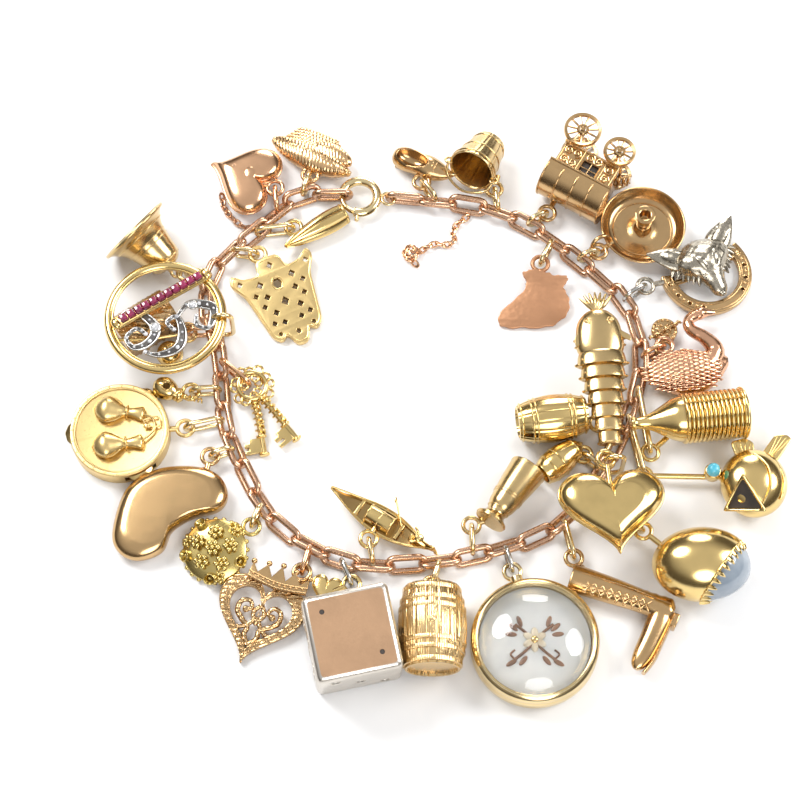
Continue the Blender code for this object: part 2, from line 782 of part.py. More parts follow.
def build_ruby_row():
    """Eleven step-cut rubies in one strip along the brooch's bar."""
    outline = []
    pitch = RUBY_ROW_LENGTH * brooch_share() / RUBY_COUNT
    for i in range(RUBY_COUNT):
        middle = (i - (RUBY_COUNT - 1) / 2) * pitch
        for x, z in ((-0.43, 0.4), (-0.258, 0.75), (0.258, 0.75), (0.43, 0.4)):
            outline.append((middle + x * pitch, z))
    end = RUBY_COUNT * pitch / 2 - 0.1
    outline = [(-end, 0.0), (-end, 0.4), *outline, (end, 0.4), (end, 0.0)]
    body = moved(plate(outline, 1.0), at=(0, 0.5, 0), turn=(90, 0, 0))
    x, y = brooch_place()
    along, across = bar_middle()
    at = (x + along, y + across)
    rest = BROOCH_REST + BROOCH_WIRE / 2 + BAR_RISE + BAR_HEIGHT / 2 + SETTING_GAP
    return lay(body, "ruby_row", "ruby", at=at, turn=(0, 0, BAR_TURN), rest=rest)


def build_casket():
    """The small ridged casket under the brooch."""
    body = box((8.6, 5.6, 4.6))
    fuse(body, box((8.0, 4.6, 1.0), at=(0, 0, 2.5)))
    lay(body, "casket", "dark_gold", at=(-37.0, 11.0), turn=(0, 0, 34))
    return add_eye(body, at=CASKET_EYE, root=(-33.2, 11.6), height=EYE_SPACING / 2)


def build_ball_charm():
    """The polished ball under the brooch, beside the casket."""
    body = ball((1.9, 1.9, 1.9), sides=10, rings=5)
    lay(body, "ball_charm", "yellow_gold", at=(-33.2, 6.4))
    return add_eye(body, at=CASKET_EYE, root=(-32.6, 7.0), height=-EYE_SPACING / 2, shared=True)


def build_jug():
    """The gourd-shaped bead with a hole through it."""
    body = ball((2.2, 1.7, 1.5), sides=9, rings=5)
    hole = rod(0.6, 5, sides=6)
    cut(body, hole)
    lay(body, "gourd_bead", "yellow_gold", at=(-33.4, 1.0), turn=(0, 0, -30))
    return add_eye(body, at=(-30.0, 0.6), root=(-32.0, 0.8))


def build_drum():
    """The tambourine, slotted for its jingles, with two castanets on its skin."""
    body = rod(DRUM_DIAMETER / 2, DRUM_HEIGHT, sides=14)
    width = JINGLE_DIAMETER + JINGLE_SLOT_MARGIN
    for angle in JINGLE_ANGLES:
        slot = box((width, width, JINGLE_THICKNESS + 2 * JINGLE_PLAY))
        slot.location = turn_about(jingle_reach() + 0.6, angle)
        slot.rotation_euler.z = math.radians(angle)
        cut(body, slot)
        pin = rod(JINGLE_PIN / 2, DRUM_HEIGHT - 0.6, sides=6)
        pin.location = turn_about(jingle_reach(), angle)
        fuse(body, pin)
    for across in (2.8, -2.4):
        castanet = spindle(
            [
                (-2.4, 0.6, 0.3, 0, 0), (-1.0, 1.4, 0.9, 0, 0), (2.0, 0.5, 0.4, 0, 0),
                (3.6, 0.9, 0.5, 0, 0),
            ],
            sides=6,
        )
        castanet.location = (-0.6, across, DRUM_HEIGHT / 2 + 0.3)
        castanet.rotation_euler.z = math.radians(-7 if across > 0 else 7)
        fuse(body, castanet)
    lay(body, "tambourine", "satin_gold", at=DRUM_PLACE)
    edge = (DRUM_PLACE[0] + DRUM_DIAMETER / 2 - EYE_WALL, DRUM_PLACE[1] + EYE_WALL)
    return add_eye(body, at=(-30.6, -5.0), root=edge)


def jingle_reach():
    """How far a jingle's pin stands from the drum's middle."""
    return DRUM_DIAMETER / 2 + JINGLE_PROUD - JINGLE_DIAMETER / 2


def turn_about(radius, angle, height=0.0):
    """A place at one radius and angle about z."""
    turn = math.radians(angle)
    return (radius * math.cos(turn), radius * math.sin(turn), height)


def build_jingles():
    """The jingles, each a domed disc that spins on a pin in its slot."""
    bore = JINGLE_PIN / 2 + JINGLE_PLAY
    edge, half = JINGLE_DIAMETER / 2, JINGLE_THICKNESS / 2
    profile = [(bore, half), (edge * 0.6, half), (edge, 0), (edge * 0.6, -half), (bore, -half)]
    made = []
    for number, angle in enumerate(JINGLE_ANGLES, start=1):
        x, y, _ = turn_about(jingle_reach(), angle)
        jingle = turned(profile, sides=8)
        at = (DRUM_PLACE[0] + x, DRUM_PLACE[1] + y)
        name = f"jingle_{number}"
        made.append(lay(jingle, name, "yellow_gold", at, rest=DRUM_HEIGHT / 2 - half))
    return made


def build_bean():
    """The polished kidney bean with a flat top."""
    outline = [
        (-7.6, -3.0), (-6.6, -6.0), (-3.9, -7.2), (-0.6, -6.0), (0.8, -2.9), (3.8, -0.9), (7.4, 0.2),
        (8.4, 2.6), (7.0, 5.4), (3.4, 6.7), (-1.8, 6.2), (-6.0, 3.2),
    ]
    levels = [(-1.7, 0.66), (-0.6, 0.98), (0.8, 0.96), (1.7, 0.7)]
    body = puffed(outline, (0.4, 0.6), levels)
    lay(body, "bean", "dark_gold", at=(-32.6, -17.6))
    return add_eye(body, at=(-26.9, -9.3), root=(-27.7, -13.0))


# Charms along the lower side of the loop


def build_key(number, yaw, level, pitch, bit_length):
    """A key whose bow is a ring at one level, with a shaft and a flat bit."""
    bow = ring(KEY_BOW_DIAMETER, KEY_THICKNESS, sides=8)
    shaft = box((KEY_SHAFT, 0.8, KEY_THICKNESS), at=(KEY_SHAFT / 2 + KEY_SHAFT_START, 0, 0))
    bit_middle = KEY_SHAFT + KEY_SHAFT_START - bit_length / 2
    bit = box((bit_length, 1.9, KEY_THICKNESS * 0.8), at=(bit_middle, -1.2, 0))
    body = fuse(bow, shaft, bit)
    lay(body, f"key_{number}", "yellow_gold", KEY_BOW, (0, pitch, yaw))
    body.location.z = RING_HEIGHT + level
    return body


def build_keys():
    """Two keys whose bows lie over each other on one jump ring."""
    level = KEY_THICKNESS / 2 + KEY_GAP
    made = [build_key(1, -79, -level, 3.5, 2.6), build_key(2, -50, level, 6.5, 2.8)]
    EYES.append((*KEY_GRIP, RING_HEIGHT))
    return made


def build_flower():
    """The cluster of domed rosettes on a disc."""
    body = rod(4.7, 1.4, sides=12)
    for angle in range(0, 360, 72):
        rosette = rod(1.6, 1.6, sides=6, top_radius=0.7)
        fuse(body, moved(rosette, at=turn_about(2.8, angle + 10, 1.2)))
    lay(body, "flower_cluster", "yellow_gold", at=(-25.8, -23.2), turn=(6, -6, 0))
    return add_eye(body, at=(-20.8, -19.8), root=(-22.6, -21.2))


def build_tiara():
    """The small crown with five points, lying on its back."""
    outline = [(-4.3, -0.5), (0, -1.1), (4.3, -0.5), (4.1, 1.7)]
    for x, y in ((3.1, 0.5), (2.0, 2.0), (1.0, 0.4), (0, 2.3), (-1.0, 0.4), (-2.0, 2.0), (-3.1, 0.5)):
        outline.append((x, y))
    band = plate([*outline, (-4.1, 1.7)], 1.0)
    lay(band, "tiara", "dark_gold", at=(-16.9, -28.2), turn=(0, 0, -19), rest=2.0)
    return add_eye(band, at=TIARA_EYE, root=(-14.6, -28.9), height=EYE_SPACING / 2)


def build_filigree_heart():
    """The flat heart with an engraved border, pierced between its scrolls."""
    holes = [
        [(1.4, 2.6), (3.4, 3.4), (3.6, 0.8), (1.2, -0.4)],
        [(-1.4, 2.6), (-1.2, -0.4), (-3.6, 0.8), (-3.4, 3.4)],
        [(0, -0.9), (1.5, -2.2), (0, -4.6), (-1.5, -2.2)],
    ]
    body = plate(heart_outline(12.4, 12.0, points=16), 0.9, holes)
    lay(body, "filigree_heart", "rose_gold", at=(-19.9, -33.4), turn=(4.5, 0, -20))
    return add_eye(body, at=TIARA_EYE, root=(-15.8, -30.0), height=-EYE_SPACING / 2, shared=True)


def build_leaf_heart():
    """The small flat heart behind the die."""
    body = plate(heart_outline(4.2, 4.4, points=10), 0.8)
    lay(body, "leaf_heart", "yellow_gold", at=(-10.3, -29.3), turn=(0, 0, -15), rest=1.5)
    return add_eye(body, at=DIE_EYE, root=(-9.2, -29.4), height=EYE_SPACING / 2, shared=True)


def build_die():
    """The die with rounded edges, leaning a little towards the viewer."""
    body = box((DIE_SIZE, DIE_SIZE, DIE_SIZE))
    bevel = body.modifiers.new("round", "BEVEL")
    bevel.width = DIE_EDGE
    bevel.segments = 1
    body = bake(body)
    lay(body, "die", "rose_gold", at=(-6.5, -37.4), turn=(7, 0, 12))
    return add_eye(body, at=DIE_EYE, root=(-6.0, -32.4), height=-EYE_SPACING / 2)


def build_gondola():
    """The boat with its cabin, its oarsman and the comb at its prow."""
    sections = []
    for x, beam, deck, keel in (
        (-4.0, 1.4, 2.0, 0.4), (0.5, 2.1, 1.8, 0), (4.6, 1.5, 1.9, 0.3), (8.2, 0.3, 2.6, 1.6),
    ):
        section = [(x, beam, deck), (x, -beam, deck), (x, -beam / 2, keel), (x, beam / 2, keel)]
        sections.append(section)
    hull = loft(sections)
    cabin = box((4.0, 2.6, 2.0), at=(0.3, 0, 2.4))
    man = spindle([(-0.4, 0.6, 0.6, 0, 0), (1.4, 0.7, 0.6, 0, 0), (2.7, 0.35, 0.35, 0, 0)], sides=6)
    moved(man, at=(5.4, 0, 2.2), turn=(0, -60, 0))
    stern = wire([(-3.6, 0, 1.5), (-6.0, 0, 1.9), (-8.0, 0, 2.9)], 0.45)
    prow = wire([(7.6, 0, 2.2), (9.4, 0, 3.6)], 0.4)
    body = fuse(hull, cabin, man, stern, prow)
    lay(body, "gondola", "yellow_gold", at=(-3.0, -18.7), turn=(0, 0, -33))
    return add_eye(body, at=(-4.4, -21.6), root=(-3.4, -19.8))


def build_barrel():
    """The hooped barrel, pointing at the viewer."""
    body = turned([(0, 5.8), (3.9, 5.8), (4.8, 0), (3.9, -5.8), (0, -5.8)], sides=12)
    moved(body, turn=(90, 0, 0))
    lay(body, "barrel", "yellow_gold", at=(4.4, -35.4))
    return add_eye(body, at=(4.4, -28.3), root=(4.4, -30.0))


# Charms at the lower right of the loop


def build_locket_case():
    """The round case whose rim holds the crystal."""
    outer, inner = LOCKET_DIAMETER / 2, CRYSTAL_DIAMETER / 2 + SETTING_GAP
    floor = LOCKET_FLOOR
    body = turned(
        [(0, floor), (inner, floor), (inner, 4.5), (outer, 3.6), (outer, 1.0), (outer - 1.0, 0), (0, 0)],
        sides=14,
    )
    lay(body, "locket_case", "yellow_gold", at=LOCKET_PLACE)
    return add_eye(body, at=(15.6, -26.4), root=(15.8, -28.6))


def build_crystal():
    """The domed crystal that sits in the case's rim."""
    radius = CRYSTAL_DIAMETER / 2
    body = turned([(0, 3.4), (radius * 0.6, 2.8), (radius, 1.2), (radius, 0), (0, 0)], sides=14)
    return lay(body, "crystal", "crystal", at=LOCKET_PLACE, rest=LOCKET_FLOOR + SETTING_GAP)


def build_goblet():
    """The footed goblet, lying on its side."""
    inside = [(0, 0.4), (2.1, 1.6), (2.1, 4.9)]
    outside = [(2.7, 4.9), (2.7, 1.6), (0.8, -1.6), (0.8, -3.2), (2.2, -4.4), (2.2, -4.9), (0, -4.9)]
    body = turned(inside + outside, sides=10)
    moved(body, turn=(0, 90, 0))
    lay(body, "goblet", "dark_gold", at=(15.3, -15.6), turn=(0, 4, 55))
    return add_eye(body, at=(10.0, -19.6), root=(12.1, -18.9))


def build_keg():
    """The small keg, lying on its side."""
    body = turned([(0, 5.0), (2.5, 5.0), (3.4, 1.6), (3.4, -1.6), (2.5, -5.0), (0, -5.0)], sides=10)
    moved(body, turn=(0, 90, 0))
    lay(body, "keg", "yellow_gold", at=(21.6, -4.2), turn=(0, 0, 8))
    return add_eye(body, at=(28.2, -4.2), root=(26.0, -4.0))


def build_acorn_cup():
    """The acorn cup, open at its lower left."""
    outside = [(0, 3.7), (1.8, 1.6), (2.2, -1.0), (2.0, -3.6)]
    body = turned([*outside, (1.5, -3.6), (1.5, -1.6), (0, -1.2)], sides=9)
    moved(body, turn=(0, 90, 0))
    lay(body, "acorn_cup", "yellow_gold", at=(22.9, -9.9), turn=(0, 0, 40))
    return add_eye(body, at=(26.0, -9.0), root=(25.1, -8.3))


def build_fish():
    """The fish with a solid head and a tail of overlapping rings."""
    head = [(-3.3, 1.8, 1.2), (-1.6, 3.1, 1.6), (1.4, 3.5, 1.7), (3.0, 3.1, 1.6)]
    stations = [(*station, 0, 0) for station in head]
    for i in range(FISH_RINGS):
        wide = 3.2 - 1.9 * i / (FISH_RINGS - 1)
        start = 3.1 + i * FISH_RING_PITCH
        stations.append((start, wide * 0.84, 0.46 * wide, 0, 0))
        stations.append((start + FISH_RING_PITCH * 0.96, wide, 0.54 * wide, 0, 0))
    body = spindle(stations, sides=6)
    fan = plate([(-0.6, -0.5), (3.4, -2.4), (3.9, 0), (3.4, 2.4), (-0.6, 0.5)], 0.7)
    fuse(body, moved(fan, at=(-2.6, 0, -0.3), turn=(0, 0, 180)))
    lay(body, "fish", "yellow_gold", at=(28.4, 8.0), turn=(0, 4, -86), rest=FISH_REST)
    held = nearest_link(*HEART_HOLD)
    level = FISH_REST + FISH_EYE_RISE
    return add_eye(body, (held.x + LINK_GRIP, held.y), FISH_END, level - RING_HEIGHT, shared=True)


def build_plain_heart():
    """The polished puffed heart, tilted over the chain."""
    levels = [(-2.2, 0.55), (-0.7, 0.97), (0.7, 0.97), (2.2, 0.55)]
    body = puffed(heart_outline(14.8, 12.0, points=16), (0, 0), levels)
    lay(body, "plain_heart", "yellow_gold", at=(29.6, -19.2), turn=(-2, 5, 6), rest=HEART_REST)
    held = nearest_link(*HEART_HOLD)
    level = HEART_REST + HEART_EYE_RISE
    add_eye(body, (held.x + LINK_GRIP, held.y), HEART_NOTCH, level - RING_HEIGHT, shared=True)
    top = level + EYE_THICKNESS / 2 + RING_CLEARANCE + JUMP_WIRE / 2
    STANDING_RINGS.append((*HEART_HOLD, top))
    return body


def build_boot():
    """The riding boot, lying on its side with its shaft's mouth to the left."""
    shaft = spindle([(-7.6, 2.0, 1.9, 0, 0), (4.0, 1.7, 1.6, -0.2, 0), (7.0, 2.0, 1.5, -0.4, 0)], sides=8)
    foot = spindle([(-7.4, 0.9, 0.7, 0, 0), (-4.6, 1.6, 1.2, 0, 0), (2.0, 2.0, 1.5, 0, 0)], sides=8)
    moved(foot, at=(5.6, -2.2, 0), turn=(0, 0, 84))
    mouth = rod(1.3, 3.0, sides=8)
    moved(mouth, at=(-7.2, 0, 0), turn=(0, 90, 0))
    body = cut(fuse(shaft, foot), mouth)
    lay(body, "riding_boot", "rose_gold", at=(31.0, -29.8), turn=(0, 0, -19))
    return add_eye(body, at=(24.2, -24.4), root=(24.8, -26.6))


def build_ball_case():
    """The stone's ball, whose toothed bezel holds the moonstone."""
    body = ball(BALL_RADII, sides=12, rings=7)
    cut(body, stone_side(0.0))
    lay(body, "ball_case", "yellow_gold", at=BALL_PLACE)
    return add_eye(body, at=(34.0, -20.4), root=(38.0, -23.8))


def stone_side(clearance):
    """A block over the ball's side that the moonstone takes, set back by a clearance."""
    block = box(STONE_BLOCK)
    turn = math.radians(STONE_TURN)
    reach = STONE_REACH + STONE_BLOCK[0] / 2 + clearance
    block.rotation_euler.z = turn
    block.location = (reach * math.cos(turn), reach * math.sin(turn), 0)
    return block


def build_moonstone():
    """The domed moonstone in the ball's bezel."""
    body = ball(STONE_RADII, sides=12, rings=7)
    combine(body, [stone_side(SETTING_GAP)], "INTERSECT")
    return lay(body, "moonstone", "moonstone", at=BALL_PLACE, rest=STONE_REST)


def build_round_fish():
    """The round fish with an open mouth, two tail flukes and the eye's collet."""
    body = ball(ROUND_FISH_RADII, sides=10, rings=6)
    mouth = rod(2.4, 4.4, sides=3, top_radius=0.9)
    moved(mouth, at=(-3.4, -3.2, 0.4), turn=(0, 90, 30))
    cut(body, mouth)
    for points in (
        [(-2.0, 3.2), (0.4, 3.6), (0.2, 6.3), (-2.8, 6.3)],
        [(0.6, 3.2), (2.6, 2.6), (5.8, 6.6), (3.6, 7.4)],
    ):
        fuse(body, moved(plate(points, 1.0), at=(0, 0, -0.8)))
    collet = moved(rod(1.5, COLLET_HEIGHT, sides=8), at=COLLET_PLACE)
    snout = box((3.4, 1.6, 1.2), at=(-4.2, 0.9, -0.8))
    fuse(body, collet, snout)
    lay(body, "round_fish", "rose_gold", at=ROUND_FISH_PLACE)
    return add_eye(body, at=(34.4, -12.2), root=(43.8, -12.4))


def build_eye_bead():
    """The turquoise bead in its collet on the fish's head."""
    body = turned([(0, 1.5), (0.9, 0.9), (1.0, 0), (0, 0)], sides=10)
    at = (ROUND_FISH_PLACE[0] + COLLET_PLACE[0], ROUND_FISH_PLACE[1] + COLLET_PLACE[1])
    rest = ROUND_FISH_RADII[2] + COLLET_PLACE[2] + COLLET_HEIGHT / 2 + SETTING_GAP
    return lay(body, "eye_bead", "turquoise", at=at, rest=rest)


# Charms at the right of the loop


def build_bottle():
    """The ribbed bottle with its narrow neck."""
    profile = [(0, 8.3), (0.9, 8.3), (0.9, 5.0), (3.3, 2.6)]
    for i in range(BOTTLE_RIBS):
        height = 1.6 - i * BOTTLE_RIB_PITCH
        profile += [(3.7, height), (3.4, height - BOTTLE_RIB_PITCH / 2)]
    profile += [(3.4, -8.3), (0, -8.3)]
    body = turned(profile, sides=10)
    moved(body, turn=(0, -90, 0))
    lay(body, "ribbed_bottle", "yellow_gold", at=(40.7, -4.6), turn=(0, 5, 8))
    return add_eye(body, at=(35.5, -8.7), root=(38.0, -6.4))


def build_swan():
    """The swan with its curved neck, lying on its side."""
    body = spindle(
        [
            (-5.2, 0.6, 0.5, 0.2, 1.5), (-2.4, 2.7, 1.4, -0.2, 1.7), (1.8, 3.4, 1.7, 0, 1.9),
            (6.0, 1.2, 0.8, 1.4, 1.6),
        ],
        sides=7,
    )
    neck = wire(
        [(3.6, 1.6, 1.9), (4.2, 3.6, 2.4), (1.0, 6.4, 3.0), (1.6, 8.0, 3.0), (4.8, 8.8, 2.8)], 0.85
    )
    fuse(body, neck)
    lay(body, "swan", "rose_gold", at=(41.2, 3.4), turn=(0, 0, 4))
    return add_eye(body, at=DISC_EYE, root=(39.6, 5.6), height=EYE_SPACING / 2)


def build_coin_leaf():
    """The small textured disc with a bar across it."""
    body = moved(rod(1.9, 0.8, sides=10), at=(0, 0, 0.4))
    bar = moved(rod(0.4, 5.4, sides=6), at=(0, 0, 0.9), turn=(0, 90, 30))
    fuse(body, bar)
    lay(body, "coin_leaf", "copper_gold", at=(38.4, 10.4), rest=0.6)
    return add_eye(body, at=DISC_EYE, root=(38.4, 9.4), height=-EYE_SPACING / 2, shared=True)


def build_fox_horseshoe():
    """The fox's head in a horseshoe."""
    outer = [turn_about(6.8, angle)[:2] for angle in range(-200, 21, 22)]
    inner = [turn_about(4.9, angle)[:2] for angle in range(20, -201, -22)]
    shoe = plate(outer + inner, 1.2)
    head = spindle(
        [
            (-3.6, 0.6, 0.6, 0, 1.0), (-1.8, 1.3, 1.2, 0, 1.4), (1.4, 2.8, 1.9, 0, 1.8),
            (4.0, 1.2, 0.9, 0, 1.4),
        ],
        sides=7,
    )
    moved(head, turn=(0, 0, 90))
    ears = []
    for side in (-1, 1):
        ear = moved(rod(1.3, 5.0, sides=4, top_radius=0.2), turn=(-90, 0, 0))
        ears.append(moved(ear, at=(side * 4.1, 3.2, 1.4), turn=(0, 0, -68 * side)))
    cross = box((11.0, 1.0, 0.9), at=(0, 0.2, 0.7))
    fuse(shoe, cross, head, *ears)
    lay(shoe, "fox_horseshoe", "white_gold", at=(44.9, 19.8), turn=(0, 4, 28))
    return add_eye(shoe, at=(35.9, 17.3), root=(38.6, 17.9))


def build_chamberstick():
    """The candle holder: a saucer, a stem with its cup, and a loop handle."""
    saucer = turned([(0, 1.0), (4.8, 1.0), (6.2, 2.2), (5.2, 0), (0, 0)], sides=12)
    cup = turned([(0, 4.0), (0.8, 4.0), (0.8, 5.6), (1.2, 5.6), (1.0, 0.5), (0, 0.5)], sides=8)
    body = fuse(saucer, cup)
    lay(body, "chamberstick", "dark_gold", at=(35.9, 27.0))
    return add_eye(body, at=(29.2, 22.9), root=(31.4, 24.4))


def build_caravan():
    """The caravan, lying on its side, with its curved roof and two axles."""
    body = box(CARAVAN_SIZE, at=(0, 0, CARAVAN_MIDDLE))
    roof = moved(rod(3.5, 8.6, sides=9), at=(0, -2.2, CARAVAN_MIDDLE), turn=(0, 90, 0))
    fuse(body, roof)
    floor = CARAVAN_SIZE[1] / 2
    for x, diameter in axles():
        reach = diameter / 2 - AXLE_TUCK
        block = box((1.4, reach + 0.9, 3.2), at=(x, floor - 0.3 + reach / 2, CARAVAN_MIDDLE))
        axle = rod(AXLE / 2, 2 * CARAVAN_MIDDLE, sides=6)
        axle.location = (x, floor + reach, CARAVAN_MIDDLE)
        fuse(body, block, axle)
    lay(body, "caravan", "dark_gold", at=CARAVAN_PLACE, turn=(0, 0, CARAVAN_TURN))
    return add_eye(body, at=(21.8, 29.2), root=(23.4, 32.0))


def axles():
    """Each axle's place along the caravan, with its wheels' diameter."""
    return ((-AXLE_SPACING / 2, REAR_WHEEL), (AXLE_SPACING / 2, FRONT_WHEEL))


def build_wheels():
    """The four spoked wheels, each free to turn on its axle."""
    made = []
    turn = Matrix.Rotation(math.radians(CARAVAN_TURN), 2)
    for x, diameter in axles():
        rim, bore = diameter / 2, AXLE / 2 + WHEEL_PLAY
        spot = turn @ Vector((x, CARAVAN_SIZE[1] / 2 + rim - AXLE_TUCK))
        at = (CARAVAN_PLACE[0] + spot.x, CARAVAN_PLACE[1] + spot.y)
        for rest in (WHEEL_RISE, 2 * CARAVAN_MIDDLE - WHEEL_RISE - WHEEL_WIDTH):
            half = WHEEL_WIDTH / 2
            wheel = turned([(bore, half), (rim, half), (rim, -half), (bore, -half)], sides=10)
            name = f"wheel_{len(made) + 1}"
            made.append(lay(wheel, name, "dark_gold", at, rest=rest))
    return made


def build_map_plate():
    """The flat plate with a wavy edge, hanging inside the chain."""
    outline = [
        (-4.6, -5.0), (2.0, -4.6), (4.4, -1.8), (3.6, 1.0), (4.2, 2.6), (1.8, 3.0), (-0.4, 3.8),
        (-2.4, 3.2), (-2.0, 1.0), (-6.0, -3.2),
    ]
    body = plate(outline, 0.7)
    lay(body, "map_plate", "copper_gold", at=(20.4, 16.2), turn=(10, 0, 0))
    return add_eye(body, at=(20.6, 20.9), root=(20.6, 19.0))


def build_bucket():
    """The bucket, lying with its mouth to the lower left."""
    body = turned([(0, 3.4), (2.4, 3.4), (3.6, -3.2), (3.1, -3.2), (2.1, 2.6), (0, 2.6)], sides=10)
    moved(body, turn=(-90, 0, 0))
    lay(body, "bucket", "rose_gold", at=(12.0, 37.6), turn=(0, 0, -28))
    return add_eye(body, at=(14.0, 33.2), root=(14.6, 35.4))


def build_clog():
    """The small clog, open at its top."""
    stations = [(-4.4, 1.2, 1.1), (-2.6, 1.9, 1.7), (1.0, 2.0, 1.6), (5.2, 0.5, 0.5)]
    body = spindle([(*station, 0, 0) for station in stations], sides=8)
    opening = moved(ball((2.6, 1.3, 1.4), sides=8, rings=4), at=(-1.4, 0, 1.2))
    cut(body, opening)
    lay(body, "clog", "rose_gold", at=(3.2, 37.2), turn=(0, 0, -24))
    return add_eye(body, at=(3.2, 34.4), root=(3.2, 36.0))


def build_safety_chain():
    """The fine safety chain, from its link on the chain to its bunched end."""
    held = nearest_link(9.6, 30.8)
    points = [(held.x, held.y - 1.8, 0.6), (7.6, 27.6, 0.6), (8.3, 25.3, 0.6), (6.0, 26.0, 0.6)]
    points += [(4.1, 24.6, 0.6), (3.0, 23.6, 0.6), (1.6, 24.6, 0.6), (0.4, 23.6, 0.6), (1.4, 22.4, 0.6)]
    body = wire(points, 0.55)
    return lay(body, "safety_chain", "yellow_gold", at=(0, 0), rest=0.02)


def build_fine_chain():
    """The fine chain that hangs from the puffed heart."""
    points = [(-26.65, 34.3, 0.5), (-26.6, 31.8, 0.5), (-25.2, 29.0, 0.5), (-22.6, 27.9, 0.5)]
    body = wire(points, 0.45)
    return lay(body, "fine_chain", "rose_gold", at=(0, 0), rest=0.02)


# The whole bracelet


def to_metres():
    """Scales every piece to metres and sets the bracelet on its origin by one parent empty."""
    pieces = [piece for piece in parts_collection().objects if piece.type == "MESH"]
    corners = []
    for piece in pieces:
        piece.data.transform(Matrix.Scale(MM, 4))
        piece.location = Vector(piece.location) * MM
        place = Matrix.LocRotScale(piece.location, piece.rotation_euler, None)
        corners += [place @ vertex.co for vertex in piece.data.vertices]
    low = [min(corner[i] for corner in corners) for i in range(3)]
    high = [max(corner[i] for corner in corners) for i in range(3)]
    origin = bpy.data.objects.new("bracelet_origin", None)
    parts_collection().objects.link(origin)
    origin.location = (-(low[0] + high[0]) / 2, -(low[1] + high[1]) / 2, -low[2])
    for piece in pieces:
        piece.parent = origin
        piece.data.shade_smooth()
        piece.data.set_sharp_from_angle(angle=math.radians(35))


def main():
    """Builds every piece of the bracelet."""
    clear_scene()
    build_puffed_heart()
    build_winged_bird()
    build_seed_pod()
    build_bell()
    build_hand_plate()
    build_brooch()
    build_ruby_row()
    build_casket()
    build_ball_charm()
    build_jug()
    build_drum()
    build_jingles()
    build_bean()
    build_keys()
    build_flower()
    build_tiara()
    build_filigree_heart()
    build_leaf_heart()
    build_die()
    build_gondola()
    build_barrel()
    build_locket_case()
    build_crystal()
    build_goblet()
    build_keg()
    build_acorn_cup()
    build_fish()
    build_plain_heart()
    build_boot()
    build_ball_case()
    build_moonstone()
    build_round_fish()
    build_eye_bead()
    build_bottle()
    build_swan()
    build_coin_leaf()
    build_fox_horseshoe()
    build_chamberstick()
    build_caravan()
    build_wheels()
    build_map_plate()
    build_bucket()
    build_clog()
    build_safety_chain()
    build_fine_chain()
    build_chain()
    build_clasp_ring()
    build_clasp_bolt()
    to_metres()


main()
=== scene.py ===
"""The looks of the gold charm bracelet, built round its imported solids.

Every charm is modelled at the bench in millimetres, in its own frame, and then laid where its solid
lies. Layout places are millimetres from the middle of the photographed view, x to the right, y away
from the viewer and z up, and send_home() turns them into the part's own metres.
"""

import logging
import math
from collections.abc import Callable, Sequence
from dataclasses import dataclass, field
from enum import Enum

import bpy
from mathutils import Euler, Matrix, Vector

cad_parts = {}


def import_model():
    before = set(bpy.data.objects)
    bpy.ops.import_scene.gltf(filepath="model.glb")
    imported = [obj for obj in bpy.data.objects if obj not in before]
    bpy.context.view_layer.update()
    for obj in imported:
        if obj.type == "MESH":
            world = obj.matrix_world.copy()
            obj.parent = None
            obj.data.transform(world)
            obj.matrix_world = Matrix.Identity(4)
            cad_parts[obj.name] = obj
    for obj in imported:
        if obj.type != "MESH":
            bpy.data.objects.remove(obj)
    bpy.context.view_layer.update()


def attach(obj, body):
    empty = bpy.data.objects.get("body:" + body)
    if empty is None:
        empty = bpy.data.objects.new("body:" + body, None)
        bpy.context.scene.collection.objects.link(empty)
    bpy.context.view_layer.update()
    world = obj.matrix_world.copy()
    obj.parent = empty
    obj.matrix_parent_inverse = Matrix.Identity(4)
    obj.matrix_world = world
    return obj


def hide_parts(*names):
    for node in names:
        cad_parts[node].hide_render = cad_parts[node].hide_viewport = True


LOG = logging.getLogger("charm_bracelet")

Shape = bpy.types.Object
Place = tuple[float, float]
Colour = tuple[float, float, float, float]

MM = 0.001
WELD = 0.0005
SMOOTH_ANGLE = 38.0
MAIN_BODY = "bracelet"

# From the middle of the photographed view to the part's origin, in millimetres
VIEW_TO_PART = Vector((-4.025, 0.4534, 0.0))

# Chain, jump rings and eyes, as the solids have them
LINK_LENGTH = 6.0
LINK_WIDTH = 3.0
LINK_WIRE = 0.8
LINK_SINK = 0.3
LINK_LEAN = 45.0
LINK_STEPS = 40
LINK_SWELL = (1.04, 0.05)
DRAWN_WIRE = 0.6
RING_STEPS = 36
ROUTE_STEPS = 20
CLASP_LINK_PLAY = 0.1
LINK_GRIP = 0.25
JUMP_WIRE = 0.7
JUMP_HALF_HEIGHT = 1.3
RING_HEIGHT = JUMP_HALF_HEIGHT + JUMP_WIRE / 2
RING_CLEARANCE = 0.3
LEAST_REACH = 3.1
WHITE_RINGS = (24, 15, 12)
ROSE_RINGS = (21, 11, 9, 5, 0)
EYE_STEP = 0.45
EYE_RADIUS = 1.16
EYE_WIRE = 0.31
TONGUE_RADIUS = 0.42

CLASP_CENTRE = (-6.0, 32.0, 1.5)
CLASP_DIAMETER = 6.6
CLASP_TUBE = 1.36
CLASP_BORE = 1.12
TAIL_EYE_WIRE = 0.5
TAIL_SHIFT = 0.3

# The links that hold the two charms lying above the chain, and where the brooch hangs from its own
BROOCH_LINK = (-26.6, 9.4)
BROOCH_SHIFT = (-8.15, 0.2)
BROOCH_REST = 5.4
BROOCH_WIRE = 1.3
RUBY_REST = 7.47
PLAIN_HEART_LINK = (28.4, -11.4)
PLAIN_HEART_EYE_TOP = 7.0
WHEEL_REST = 0.1
WHEEL_CLEARANCE = 0.8

